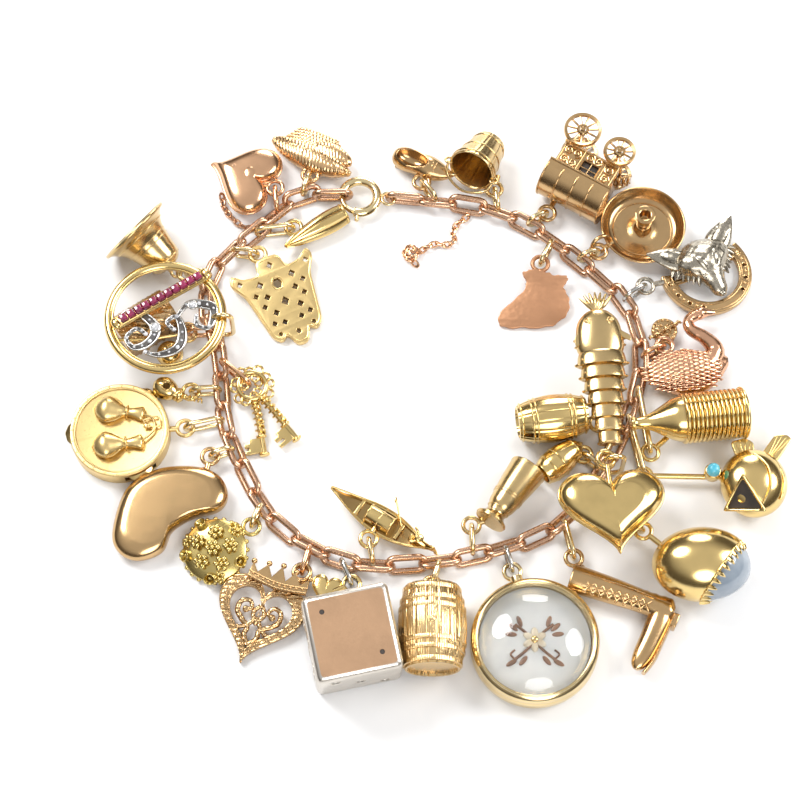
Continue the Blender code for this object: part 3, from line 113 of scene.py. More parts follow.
CHAIN_ROUTE = [
    (-13.6, 32.6), (-16.6, 30.8), (-19.4, 28.1), (-21.6, 25.9), (-24.4, 23.6), (-26.8, 20.6),
    (-28.3, 16.9), (-28.0, 12.8), (-26.6, 9.0), (-26.0, 5.4), (-25.8, 2.5), (-25.4, -0.6),
    (-25.0, -3.8), (-24.0, -7.0), (-22.6, -10.0), (-21.4, -12.6), (-20.0, -15.4),
    (-18.2, -18.0), (-16.0, -20.3), (-13.6, -21.9), (-10.9, -23.3), (-8.2, -24.5),
    (-5.2, -25.2), (-1.8, -25.4), (1.6, -25.1), (4.8, -24.8), (7.6, -24.6), (10.2, -23.9),
    (13.0, -23.1), (16.0, -22.3), (18.8, -21.3), (21.2, -20.2), (23.4, -18.2), (25.6, -15.4),
    (28.0, -12.0), (29.9, -9.0), (31.3, -6.2), (32.4, -3.2), (33.5, -0.2), (34.4, 2.8),
    (34.8, 5.9), (34.6, 9.0), (33.8, 12.2), (32.6, 15.0), (30.8, 17.2), (28.6, 19.3),
    (25.4, 22.3), (22.4, 24.9), (19.4, 27.0), (16.4, 28.8), (13.4, 29.9), (10.4, 30.7),
    (7.4, 31.1), (4.5, 31.3),
]


# The bench: one operator on one shape at a time


def take_up(*shapes: Shape) -> Shape:
    """Selects only these shapes, the first one active, and returns it."""
    bpy.ops.object.select_all(action="DESELECT")
    for shape in shapes:
        shape.select_set(True)
    bpy.context.view_layer.objects.active = shapes[0]
    return shapes[0]


def finish_with(shape: Shape, kind: str, **settings: object) -> Shape:
    """Adds a modifier with these settings and applies it.

    Args:
        shape: the mesh that it works on.
        kind: the modifier's type.
        settings: its values by name.

    Returns:
        The same shape.
    """
    take_up(shape)
    modifier = shape.modifiers.new(kind.lower(), kind)
    for name, value in settings.items():
        setattr(modifier, name, value)
    bpy.ops.object.modifier_apply(modifier=modifier.name)
    return shape


def weld(shape: Shape, close: bool = True) -> Shape:
    """Merges doubles, closes open ends and turns the faces outwards."""
    take_up(shape)
    bpy.ops.object.mode_set(mode="EDIT")
    bpy.ops.mesh.select_all(action="SELECT")
    bpy.ops.mesh.remove_doubles(threshold=WELD)
    if close:
        bpy.ops.mesh.fill_holes(sides=0)
    bpy.ops.mesh.select_all(action="SELECT")
    bpy.ops.mesh.normals_make_consistent(inside=False)
    bpy.ops.object.mode_set(mode="OBJECT")
    return shape


def set_down(
    shape: Shape,
    at: Sequence[float] = (0.0, 0.0, 0.0),
    turn: Sequence[float] = (0.0, 0.0, 0.0),
    size: Sequence[float] = (1.0, 1.0, 1.0),
) -> Shape:
    """Scales, turns by degrees about x, y and z, and moves a shape, all into its mesh."""
    angles = Euler([math.radians(angle) for angle in turn])
    shape.matrix_world = Matrix.LocRotScale(Vector(at), angles, Vector(size)) @ shape.matrix_world
    take_up(shape)
    bpy.ops.object.transform_apply(location=True, rotation=True, scale=True)
    return shape


def joined(shapes: Sequence[Shape]) -> Shape:
    """One object of all the shapes."""
    first = take_up(*shapes)
    if len(shapes) > 1:
        bpy.ops.object.join()
    return first


def copies(pattern: Shape, places: Sequence[Matrix]) -> Shape:
    """One object of the pattern repeated at every place, each copy with its own mesh."""
    made = []
    for place in places:
        copy = pattern.copy()
        copy.data = pattern.data.copy()
        bpy.context.collection.objects.link(copy)
        copy.matrix_world = place @ pattern.matrix_world
        made.append(copy)
    bpy.data.objects.remove(pattern, do_unlink=True)
    whole = joined(made)
    bpy.ops.object.transform_apply(location=True, rotation=True, scale=True)
    return whole


def cut(shape: Shape, *tools: Shape) -> Shape:
    """The shape with each tool cut out of it."""
    for tool in tools:
        finish_with(shape, "BOOLEAN", operation="DIFFERENCE", solver="EXACT", object=tool)
        bpy.data.objects.remove(tool, do_unlink=True)
    return shape


def placed(x: float, y: float, z: float = 0.0, turn: Sequence[float] = (0, 0, 0),
           size: float = 1.0) -> Matrix:
    """A place with a turn in degrees and a size."""
    angles = Euler([math.radians(angle) for angle in turn])
    return Matrix.LocRotScale(Vector((x, y, z)), angles, Vector((size, size, size)))


def polar(radius: float, angle: float) -> Place:
    """The place at one radius and angle in degrees."""
    turn = math.radians(angle)
    return radius * math.cos(turn), radius * math.sin(turn)


def eased(points: Sequence[Sequence[float]], steps: int = 6, closed: bool = False) -> list[Vector]:
    """A finer row of points on a smooth curve through the given ones.

    Args:
        points: the curve's knots, of any number of values each.
        steps: how many new points each stretch gets.
        closed: whether the last knot joins the first.

    Returns:
        The finer points.
    """
    knots = [Vector(point) for point in points]
    count = len(knots)
    fine = []
    for i in range(count if closed else count - 1):
        if closed:
            a, b, c, d = (knots[(i + k) % count] for k in (-1, 0, 1, 2))
        else:
            a, b, c, d = (knots[min(max(i + k, 0), count - 1)] for k in (-1, 0, 1, 2))
        for step in range(steps):
            t = step / steps
            fine.append(
                0.5 * (2 * b + (c - a) * t + (2 * a - 5 * b + 4 * c - d) * t * t
                       + (3 * b - a - 3 * c + d) * t**3)
            )
    return fine if closed else [*fine, knots[-1]]


def rounded(points: Sequence[Sequence[float]], radius: float, closed: bool = False,
            steps: int = 3) -> list[Vector]:
    """The points with every corner rounded off by about one radius."""
    knots = [Vector(point) for point in points]
    count = len(knots)
    made = []
    for i, corner in enumerate(knots):
        if not closed and i in (0, count - 1):
            made.append(corner)
            continue
        before = knots[i - 1] - corner
        after = knots[(i + 1) % count] - corner
        start = corner + before * min(radius / max(before.length, WELD), 0.45)
        end = corner + after * min(radius / max(after.length, WELD), 0.45)
        for step in range(steps + 1):
            t = step / steps
            made.append(start * (1 - t) ** 2 + corner * 2 * t * (1 - t) + end * t * t)
    return made


def lofted(rows: Sequence[Sequence[Sequence[float]]]) -> Shape:
    """A closed skin over rows of as many points each, started as a grid and pulled into shape."""
    count = len(rows[0])
    bpy.ops.mesh.primitive_grid_add(x_subdivisions=count, y_subdivisions=len(rows) - 1, size=1.0)
    shape = bpy.context.object
    flat = []
    for row in rows:
        for point in [*row, row[0]]:
            flat += [point[0], point[1], point[2]]
    shape.data.vertices.foreach_set("co", flat)
    return weld(shape)


def turned(
    profile: Sequence[Sequence[float]],
    sides: int = 48,
    relief: Callable[[float, float], float] | None = None,
) -> Shape:
    """A turned shape about z from (radius, height) points, with an outward relief if one is given.

    Args:
        profile: the outline from one end to the other.
        sides: the points round it.
        relief: how far the skin stands out, by the angle in radians and the height.

    Returns:
        The closed shape.
    """
    rows = []
    for point in profile:
        row = []
        for i in range(sides):
            angle = math.tau * i / sides
            reach = point[0] + (relief(angle, point[1]) if relief and point[0] > 0 else 0.0)
            row.append((reach * math.cos(angle), reach * math.sin(angle), point[1]))
        rows.append(row)
    return lofted(rows)


def swept(
    stations: Sequence[Sequence[float]],
    sides: int = 32,
    steps: int = 8,
    relief: Callable[[float, float], float] | None = None,
    square: float = 1.0,
) -> Shape:
    """A body along x through rows of x, half width, half height, and the middle's y and z.

    Args:
        stations: the rows, from one end to the other.
        sides: the points round each section.
        steps: how many sections each stretch gets.
        relief: the skin's rise in millimetres, by the distance along x and the angle in radians.
        square: below 1 the section is squarer.

    Returns:
        The closed body.
    """
    rows = []
    for x, width, height, y, z in eased(stations, steps):
        row = []
        for i in range(sides):
            angle = math.tau * i / sides
            c, s = math.cos(angle), math.sin(angle)
            rise = relief(x, angle) if relief else 0.0
            across = (max(width, 0.02) + rise) * math.copysign(abs(c) ** square, c)
            up = (max(height, 0.02) + rise) * math.copysign(abs(s) ** square, s)
            row.append((x, y + across, z + up))
        rows.append(row)
    return lofted(rows)


def cushion(
    outline: Sequence[Sequence[float]], centre: Place, levels: Sequence[Sequence[float]], steps: int = 5
) -> Shape:
    """A puffed form: the outline drawn in towards its centre by (share, height) levels."""
    rows = []
    for share, height in eased(levels, steps):
        share = min(max(share, 0.0), 1.0)
        rows.append([(centre[0] + (p[0] - centre[0]) * share, centre[1] + (p[1] - centre[1]) * share,
                      height) for p in outline])
    return lofted(rows)


def puff(thickness: float, flat: float = 0.0) -> list[tuple[float, float]]:
    """The levels of a cushion of one thickness from its bottom pole to its top pole, flat to a share."""
    half = thickness / 2
    side = [(1.0, 0.12), (0.985, 0.3), (0.93, 0.55), (0.82, 0.78), (0.62, 0.94), (0.4, 0.99)]
    top = [(max(share, flat * 0.6), level * half) for share, level in side]
    low = [(share, -height) for share, height in reversed(top)]
    return [(0.0, -half), (0.2, -half), *low, *top, (0.2, half), (0.0, half)]


def tube(
    points: Sequence[Sequence[float]],
    radius: float,
    steps: int = 5,
    closed: bool = False,
    taper: Sequence[float] | None = None,
    roundness: int = 3,
) -> Shape:
    """A round wire on a smooth curve through the points, thinner along its way where a taper is given."""
    path = eased(points, steps, closed)
    curve = bpy.data.curves.new("wire", "CURVE")
    curve.dimensions = "3D"
    curve.bevel_depth = radius
    curve.bevel_resolution = roundness
    curve.use_fill_caps = True
    spline = curve.splines.new("POLY")
    spline.points.add(len(path) - 1)
    for i, point in enumerate(path):
        spline.points[i].co = (*point, 1.0)
        if taper:
            spot = i / (len(path) - 1) * (len(taper) - 1)
            low = min(int(spot), len(taper) - 2)
            spline.points[i].radius = taper[low] + (taper[low + 1] - taper[low]) * (spot - low)
    spline.use_cyclic_u = closed
    return meshed(curve)


def meshed(curve: bpy.types.Curve) -> Shape:
    """The mesh of a curve."""
    shape = bpy.data.objects.new("bench", curve)
    bpy.context.collection.objects.link(shape)
    take_up(shape)
    bpy.ops.object.convert(target="MESH")
    return weld(bpy.context.object, close=False)


def plate(
    outline: Sequence[Sequence[float]],
    thickness: float,
    holes: Sequence[Sequence[Sequence[float]]] = (),
    edge: float = 0.16,
) -> Shape:
    """A flat plate with soft edges, pierced by the holes, from z 0 up to its thickness."""
    curve = bpy.data.curves.new("outline", "CURVE")
    curve.dimensions = "2D"
    curve.fill_mode = "BOTH"
    curve.bevel_depth = edge
    curve.bevel_resolution = 2
    curve.offset = -edge
    curve.extrude = thickness / 2 - edge
    for loop in [outline, *holes]:
        spline = curve.splines.new("POLY")
        spline.points.add(len(loop) - 1)
        for slot, point in zip(spline.points, loop):
            slot.co = (point[0], point[1], 0.0, 1.0)
        spline.use_cyclic_u = True
    return set_down(meshed(curve), at=(0, 0, thickness / 2))


def ring(radius: float, wire: float, at: Sequence[float] = (0, 0, 0), turn: Sequence[float] = (0, 0, 0),
         sides: int = 40, size: Sequence[float] = (1, 1, 1)) -> Shape:
    """A wire ring by the radius of its middle line and the radius of its wire."""
    bpy.ops.mesh.primitive_torus_add(
        major_segments=sides, minor_segments=12, major_radius=radius, minor_radius=wire
    )
    return set_down(bpy.context.object, at, turn, size)


def bead(radius: float, at: Sequence[float] = (0, 0, 0), size: Sequence[float] = (1, 1, 1),
         turn: Sequence[float] = (0, 0, 0), sides: int = 20) -> Shape:
    """A polished bead or, with a size for each way, a lens or a drop."""
    bpy.ops.mesh.primitive_uv_sphere_add(segments=sides, ring_count=sides // 2, radius=radius)
    return set_down(bpy.context.object, at, turn, size)


def block(size: Sequence[float], at: Sequence[float] = (0, 0, 0), turn: Sequence[float] = (0, 0, 0),
          edge: float = 0.15) -> Shape:
    """A block with rounded edges."""
    bpy.ops.mesh.primitive_cube_add(size=1.0)
    shape = set_down(bpy.context.object, size=size)
    finish_with(shape, "BEVEL", width=edge, segments=3, limit_method="NONE")
    return set_down(shape, at, turn)


def rod(radius: float, length: float, at: Sequence[float] = (0, 0, 0), turn: Sequence[float] = (0, 0, 0),
        top: float | None = None, sides: int = 28, edge: float = 0.08) -> Shape:
    """A straight rod or cone about its middle, its ends softened."""
    high = radius if top is None else top
    half = length / 2
    profile = rounded([(0, -half), (radius, -half), (high, half), (0, half)], edge)
    return set_down(turned(profile, sides), at, turn)


def heart_outline(width: float, length: float, points: int = 96) -> list[Vector]:
    """A heart pointing along -y, with its notch on +y."""
    loop = []
    for i in range(points):
        t = math.tau * i / points
        x = math.sin(t) ** 3
        y = (13 * math.cos(t) - 5 * math.cos(2 * t) - 2 * math.cos(3 * t) - math.cos(4 * t)) / 17
        loop.append(Vector((x * width / 2, (y + 0.15) * length / 1.7)))
    return loop


def ellipse(width: float, length: float, points: int = 48, middle: Place = (0.0, 0.0)) -> list[Vector]:
    """An ellipse by its two diameters about its middle."""
    return [
        Vector((middle[0] + width / 2 * math.cos(math.tau * i / points),
                middle[1] + length / 2 * math.sin(math.tau * i / points)))
        for i in range(points)
    ]


def spiral(centre: Place, radius: float, start: float, turns: float, height: float, wire: float) -> Shape:
    """A scroll of wire that winds in towards its centre."""
    points = []
    count = 18
    for i in range(count + 1):
        share = i / count
        x, y = polar(radius * (1 - 0.78 * share), start + 360 * turns * share)
        points.append((centre[0] + x, centre[1] + y, height))
    return tube(points, wire, steps=2, taper=[1.0, 0.8, 0.6], roundness=2)


def coil(start: Sequence[float], end: Sequence[float], radius: float, wire: float, turns: int) -> Shape:
    """A wire wound round the straight line between two points."""
    start, end = Vector(start), Vector(end)
    way = (end - start).normalized()
    side = way.cross(Vector((0, 0, 1))).normalized()
    up = side.cross(way)
    points = []
    count = turns * 10
    for i in range(count + 1):
        angle = math.tau * turns * i / count
        points.append(start.lerp(end, i / count) + (side * math.cos(angle) + up * math.sin(angle))
                      * radius)
    return tube(points, wire, steps=1, roundness=2)


def send_home(piece: Shape, name: str, finish: "Finish", body: str = MAIN_BODY,
              node: str | None = None) -> Shape:
    """Moves a finished piece from layout millimetres to the part's metres, dresses it and lets it ride.

    Args:
        piece: the mesh, in layout millimetres.
        name: the piece's name.
        finish: what it is made of.
        body: the solid body that it moves with.
        node: the solid that it stands for, where it has one.

    Returns:
        The same piece.
    """
    piece.matrix_world = Matrix.Scale(MM, 4) @ Matrix.Translation(VIEW_TO_PART) @ piece.matrix_world
    take_up(piece)
    bpy.ops.object.transform_apply(location=True, rotation=True, scale=True)
    bpy.ops.object.shade_smooth_by_angle(angle=math.radians(SMOOTH_ANGLE), keep_sharp_edges=False)
    piece.name = name
    piece.data.name = name
    piece.data.materials.clear()
    piece.data.materials.append(finish.material())
    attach(piece, body)
    if node:
        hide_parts(node)
    LOG.info("%s rides on %s, %d faces", name, body, len(piece.data.polygons))
    return piece


# Finishes


class Worked(Enum):
    """How a surface was worked."""

    POLISHED = "polished"
    SATIN = "satin"
    GRAINED = "grained"
    FEATHERED = "feathered"
    WOODEN = "wooden"
    ENGRAVED = "engraved"
    SCALED = "scaled"


@dataclass(frozen=True)
class Finish:
    """A metal: its colour, the painted shade in its recesses (on the oxidised metal also its oxide), its
    roughness and how it was worked.
    """

    name: str
    colour: tuple[float, float, float]
    recess: tuple[float, float, float]
    roughness: float = 0.2
    worked: Worked = Worked.POLISHED
    pitch: float = 1.0
    depth: float = 1.0

    def material(self) -> bpy.types.Material:
        """The procedural material of this metal, made once."""
        found = bpy.data.materials.get(self.name)
        if found is not None:
            return found
        made = bpy.data.materials.new(self.name)
        made.use_nodes = True
        nodes, links = made.node_tree.nodes, made.node_tree.links
        shader = nodes["Principled BSDF"]
        shader.inputs["Metallic"].default_value = 1.0
        where = nodes.new("ShaderNodeTexCoord").outputs["Object"]

        cloud = nodes.new("ShaderNodeTexNoise")
        cloud.inputs["Scale"].default_value = 260.0
        cloud.inputs["Detail"].default_value = 4.0
        links.new(where, cloud.inputs["Vector"])
        tone = nodes.new("ShaderNodeMix")
        tone.data_type = "RGBA"
        tone.inputs["A"].default_value = (*self.colour, 1.0)
        tone.inputs["B"].default_value = (*(0.86 * c for c in self.colour), 1.0)
        fade = nodes.new("ShaderNodeMapRange")
        fade.inputs["From Min"].default_value = 0.4
        fade.inputs["From Max"].default_value = 0.75
        links.new(cloud.outputs["Fac"], fade.inputs["Value"])
        links.new(fade.outputs["Result"], tone.inputs["Factor"])

        # Painted shade: concave spots, where pointiness is low, darken towards the recess colour as if
        # shade fell in the hollows; on the oxidised metal this also stands for its oxide.
        edges = nodes.new("ShaderNodeNewGeometry").outputs["Pointiness"]
        hollow_shade_mask = nodes.new("ShaderNodeMapRange")
        hollow_shade_mask.inputs["From Min"].default_value = 0.42
        hollow_shade_mask.inputs["From Max"].default_value = 0.5
        links.new(edges, hollow_shade_mask.inputs["Value"])
        hollow_shaded_colour = nodes.new("ShaderNodeMix")
        hollow_shaded_colour.data_type = "RGBA"
        hollow_shaded_colour.inputs["A"].default_value = (*self.recess, 1.0)
        links.new(hollow_shade_mask.outputs["Result"], hollow_shaded_colour.inputs["Factor"])
        links.new(tone.outputs["Result"], hollow_shaded_colour.inputs["B"])
        links.new(hollow_shaded_colour.outputs["Result"], shader.inputs["Base Color"])

        grain = nodes.new("ShaderNodeTexNoise")
        grain.inputs["Scale"].default_value = 5200.0
        grain.inputs["Detail"].default_value = 3.0
        links.new(where, grain.inputs["Vector"])
        rough = nodes.new("ShaderNodeMapRange")
        rough.inputs["To Min"].default_value = self.roughness * 0.7
        rough.inputs["To Max"].default_value = self.roughness * 1.4
        links.new(grain.outputs["Fac"], rough.inputs["Value"])
        links.new(rough.outputs["Result"], shader.inputs["Roughness"])

        soft = nodes.new("ShaderNodeBump")
        soft.inputs["Strength"].default_value = 0.35 if self.worked is Worked.SATIN else 0.12
        soft.inputs["Distance"].default_value = 0.00003
        links.new(grain.outputs["Fac"], soft.inputs["Height"])
        height = self.pattern(nodes, links, where)
        if height is not None:
            deep = nodes.new("ShaderNodeBump")
            deep.inputs["Strength"].default_value = 0.75
            deep.inputs["Distance"].default_value = 0.0001 * self.depth
            links.new(height, deep.inputs["Height"])
            links.new(soft.outputs["Normal"], deep.inputs["Normal"])
            links.new(deep.outputs["Normal"], shader.inputs["Normal"])
        else:
            links.new(soft.outputs["Normal"], shader.inputs["Normal"])
        return made

    def pattern(
        self, nodes: bpy.types.Nodes, links: bpy.types.NodeLinks, where: bpy.types.NodeSocket
    ) -> bpy.types.NodeSocket | None:
        """The height of the worked pattern, or None on a plain surface."""
        if self.worked in (Worked.GRAINED, Worked.SCALED):
            cells = nodes.new("ShaderNodeTexVoronoi")
            cells.feature = "F1" if self.worked is Worked.SCALED else "SMOOTH_F1"
            cells.inputs["Scale"].default_value = 2400.0 / self.pitch
            links.new(where, cells.inputs["Vector"])
            return cells.outputs["Distance"]
        if self.worked in (Worked.FEATHERED, Worked.WOODEN, Worked.ENGRAVED):
            bands = nodes.new("ShaderNodeTexWave")
            bands.wave_type = "RINGS" if self.worked is Worked.ENGRAVED else "BANDS"
            bands.inputs["Scale"].default_value = 520.0 / self.pitch
            bands.inputs["Distortion"].default_value = 5.0 if self.worked is Worked.ENGRAVED else 2.2
            bands.inputs["Detail"].default_value = 2.0
            bands.inputs["Detail Scale"].default_value = 1.6
            links.new(where, bands.inputs["Vector"])
            return bands.outputs["Fac"]
        return None


@dataclass(frozen=True)
class Stone:
    """A stone or glass: its colour, how clear it is and how it bends light."""

    name: str
    colour: tuple[float, float, float]
    second: tuple[float, float, float]
    clear: float = 0.0
    roughness: float = 0.04
    bend: float = 1.5
    pitch: float = 1.0

    def material(self) -> bpy.types.Material:
        """The procedural material of this stone, made once."""
        found = bpy.data.materials.get(self.name)
        if found is not None:
            return found
        made = bpy.data.materials.new(self.name)
        made.use_nodes = True
        nodes, links = made.node_tree.nodes, made.node_tree.links
        shader = nodes["Principled BSDF"]
        shader.inputs["IOR"].default_value = self.bend
        shader.inputs["Transmission Weight"].default_value = self.clear
        shader.inputs["Coat Weight"].default_value = 0.0 if self.clear > 0.9 else 0.6
        where = nodes.new("ShaderNodeTexCoord").outputs["Object"]
        cloud = nodes.new("ShaderNodeTexNoise")
        cloud.inputs["Scale"].default_value = 420.0 / self.pitch
        cloud.inputs["Detail"].default_value = 5.0
        links.new(where, cloud.inputs["Vector"])
        tone = nodes.new("ShaderNodeMix")
        tone.data_type = "RGBA"
        tone.inputs["A"].default_value = (*self.colour, 1.0)
        tone.inputs["B"].default_value = (*self.second, 1.0)
        fade = nodes.new("ShaderNodeMapRange")
        fade.inputs["From Min"].default_value = 0.38
        fade.inputs["From Max"].default_value = 0.66
        links.new(cloud.outputs["Fac"], fade.inputs["Value"])
        links.new(fade.outputs["Result"], tone.inputs["Factor"])
        links.new(tone.outputs["Result"], shader.inputs["Base Color"])
        rough = nodes.new("ShaderNodeMapRange")
        rough.inputs["To Min"].default_value = self.roughness * 0.6
        rough.inputs["To Max"].default_value = self.roughness * 1.6
        links.new(cloud.outputs["Fac"], rough.inputs["Value"])
        links.new(rough.outputs["Result"], shader.inputs["Roughness"])
        return made


ROSE = Finish("rose_gold_polished", (0.80, 0.48, 0.28), (0.27, 0.1, 0.05), 0.18)
ROSE_SOFT = Finish("rose_gold_soft", (0.6, 0.37, 0.24), (0.16, 0.08, 0.04), 0.26)
YELLOW = Finish("yellow_gold_polished", (0.8, 0.59, 0.25), (0.26, 0.14, 0.05), 0.17)
PALE = Finish("pale_gold_rings", (0.82, 0.65, 0.36), (0.32, 0.2, 0.08), 0.18)
WHITE = Finish("white_gold_polished", (0.56, 0.55, 0.52), (0.16, 0.15, 0.14), 0.18)
OXIDISED = Finish("white_gold_oxidised", (0.4, 0.36, 0.29), (0.05, 0.045, 0.04), 0.26, Worked.GRAINED,
                  1.2, 0.6)
SATIN = Finish("yellow_gold_satin", (0.8, 0.59, 0.26), (0.36, 0.2, 0.06), 0.3, Worked.SATIN)
NINE = Finish("nine_carat_polished", (0.62, 0.41, 0.2), (0.18, 0.09, 0.04), 0.2)
BRASSY = Finish("worn_brassy_gold", (0.66, 0.48, 0.23), (0.2, 0.12, 0.04), 0.22)
SILVERED = Finish("silvered_satin", (0.68, 0.63, 0.56), (0.3, 0.26, 0.22), 0.3, Worked.SATIN)
NINE_CHASED = Finish("nine_carat_chased", (0.6, 0.4, 0.2), (0.16, 0.08, 0.03), 0.24, Worked.ENGRAVED,
                     1.1, 0.8)
COPPER = Finish("copper_gold_matte", (0.55, 0.29, 0.16), (0.24, 0.1, 0.05), 0.4, Worked.GRAINED, 1.6,
                0.45)
# The die's top face only: a warmer, darker copy of its satin metal, painted light and shade.
PAINTED_TOP_TONE = Finish("peach_satin", (0.72, 0.45, 0.27), (0.44, 0.25, 0.14), 0.32, Worked.SATIN)
FEATHERS = Finish("yellow_gold_feathered", (0.76, 0.5, 0.26), (0.26, 0.13, 0.05), 0.22,
                  Worked.FEATHERED, 0.8, 0.5)
PLUMAGE = Finish("rose_gold_plumage", (0.74, 0.42, 0.26), (0.26, 0.1, 0.05), 0.22, Worked.SCALED, 1.9,
                 0.7)
STAVES = Finish("gold_staves", (0.8, 0.57, 0.28), (0.28, 0.15, 0.05), 0.22, Worked.WOODEN, 0.5, 0.35)
GREENISH = Finish("green_gold_granules", (0.62, 0.48, 0.18), (0.12, 0.08, 0.02), 0.22)
RUBY = Stone("ruby_red", (0.36, 0.01, 0.09), (0.15, 0.0, 0.04), clear=0.35, bend=1.77)
DIAMOND = Stone("rose_cut_white", (0.95, 0.95, 0.97), (0.8, 0.82, 0.86), clear=0.6, bend=2.2,
                roughness=0.03)
TURQUOISE = Stone("turquoise_blue", (0.12, 0.5, 0.62), (0.05, 0.34, 0.46), roughness=0.2, pitch=0.5)
MOONSTONE = Stone("blue_grey_moonstone", (0.3, 0.36, 0.43), (0.47, 0.53, 0.6), clear=0.25,
                  roughness=0.07, pitch=2.0)
CRYSTAL = Stone("clear_crystal", (0.99, 0.99, 0.99), (0.97, 0.98, 0.99), clear=1.0, roughness=0.01,
                bend=1.46)
# Near-black fill laid in holes, mouths, windows and between scroll wires: painted shade.
PAINTED_SHADE = Stone("painted_shade_black", (0.02, 0.015, 0.012), (0.05, 0.035, 0.025), roughness=0.5)
ENAMEL_GROUND = Stone("pearl_enamel", (0.82, 0.81, 0.77), (0.7, 0.7, 0.67), roughness=0.3, pitch=2.5)
ENAMEL_BROWN = Stone("brown_enamel", (0.2, 0.09, 0.04), (0.32, 0.15, 0.06), roughness=0.3)
ENAMEL_CREAM = Stone("cream_enamel", (0.78, 0.68, 0.5), (0.68, 0.55, 0.36), roughness=0.3)
ENAMEL_RED = Stone("dark_red_enamel", (0.16, 0.012, 0.012), (0.07, 0.006, 0.006), roughness=0.25)


# What every charm has in common


@dataclass(frozen=True)
class Eye:
    """A soldered eye: its place, where its tongue is rooted, and its level against the jump ring."""

    at: Place
    root: Place
    step: float = 0.0
    shared: bool = False

    def shapes(self) -> list[Shape]:
        """The eye and its tongue, in layout millimetres."""
        level = RING_HEIGHT + self.step
        way = Vector(self.root) - Vector(self.at)
        start = Vector(self.at) + way.normalized() * EYE_RADIUS
        tongue = tube([(*start, level), (*self.root, level)], TONGUE_RADIUS, steps=2)
        return [ring(EYE_RADIUS, EYE_WIRE, (*self.at, level), sides=28), tongue]


@dataclass
class Charm:
    """One charm: where it lies, how it is turned, what it is made of and the eye that holds it."""

    node: str = ""
    at: Place = (0.0, 0.0)
    turn: tuple[float, float, float] = (0.0, 0.0, 0.0)
    rest: float = 0.0
    finish: Finish = YELLOW
    eye: Eye | None = None

    def body(self) -> list[Shape]:
        """The shapes of the charm's own metal, in its own frame."""
        raise NotImplementedError

    def trims(self) -> list[tuple[str, "Finish | Stone", list[Shape]]]:
        """Shapes of other metals and stones: a name, a finish and the shapes of each."""
        return []

    def lying(self, shape: Shape) -> Matrix:
        """The turn and place that lay the charm down with its lowest point at its rest height."""
        angles = Euler([math.radians(angle) for angle in self.turn]).to_matrix().to_4x4()
        lowest = min((angles @ vertex.co).z for vertex in shape.data.vertices)
        return Matrix.Translation((self.at[0], self.at[1], self.rest - lowest)) @ angles

    def make(self) -> None:
        """Models the charm, lays it in its place and dresses it."""
        main = joined(self.body())
        lie = self.lying(main)
        main.matrix_world = lie @ main.matrix_world
        if self.eye:
            take_up(main)
            bpy.ops.object.transform_apply(location=True, rotation=True, scale=True)
            main = joined([main, *self.eye.shapes()])
        send_home(main, f"{self.node}_metal", self.finish, node=self.node)
        for name, finish, shapes in self.trims():
            trim = joined(shapes)
            trim.matrix_world = lie @ trim.matrix_world
            send_home(trim, f"{self.node}_{name}", finish)


# The chain, its rings and its clasp


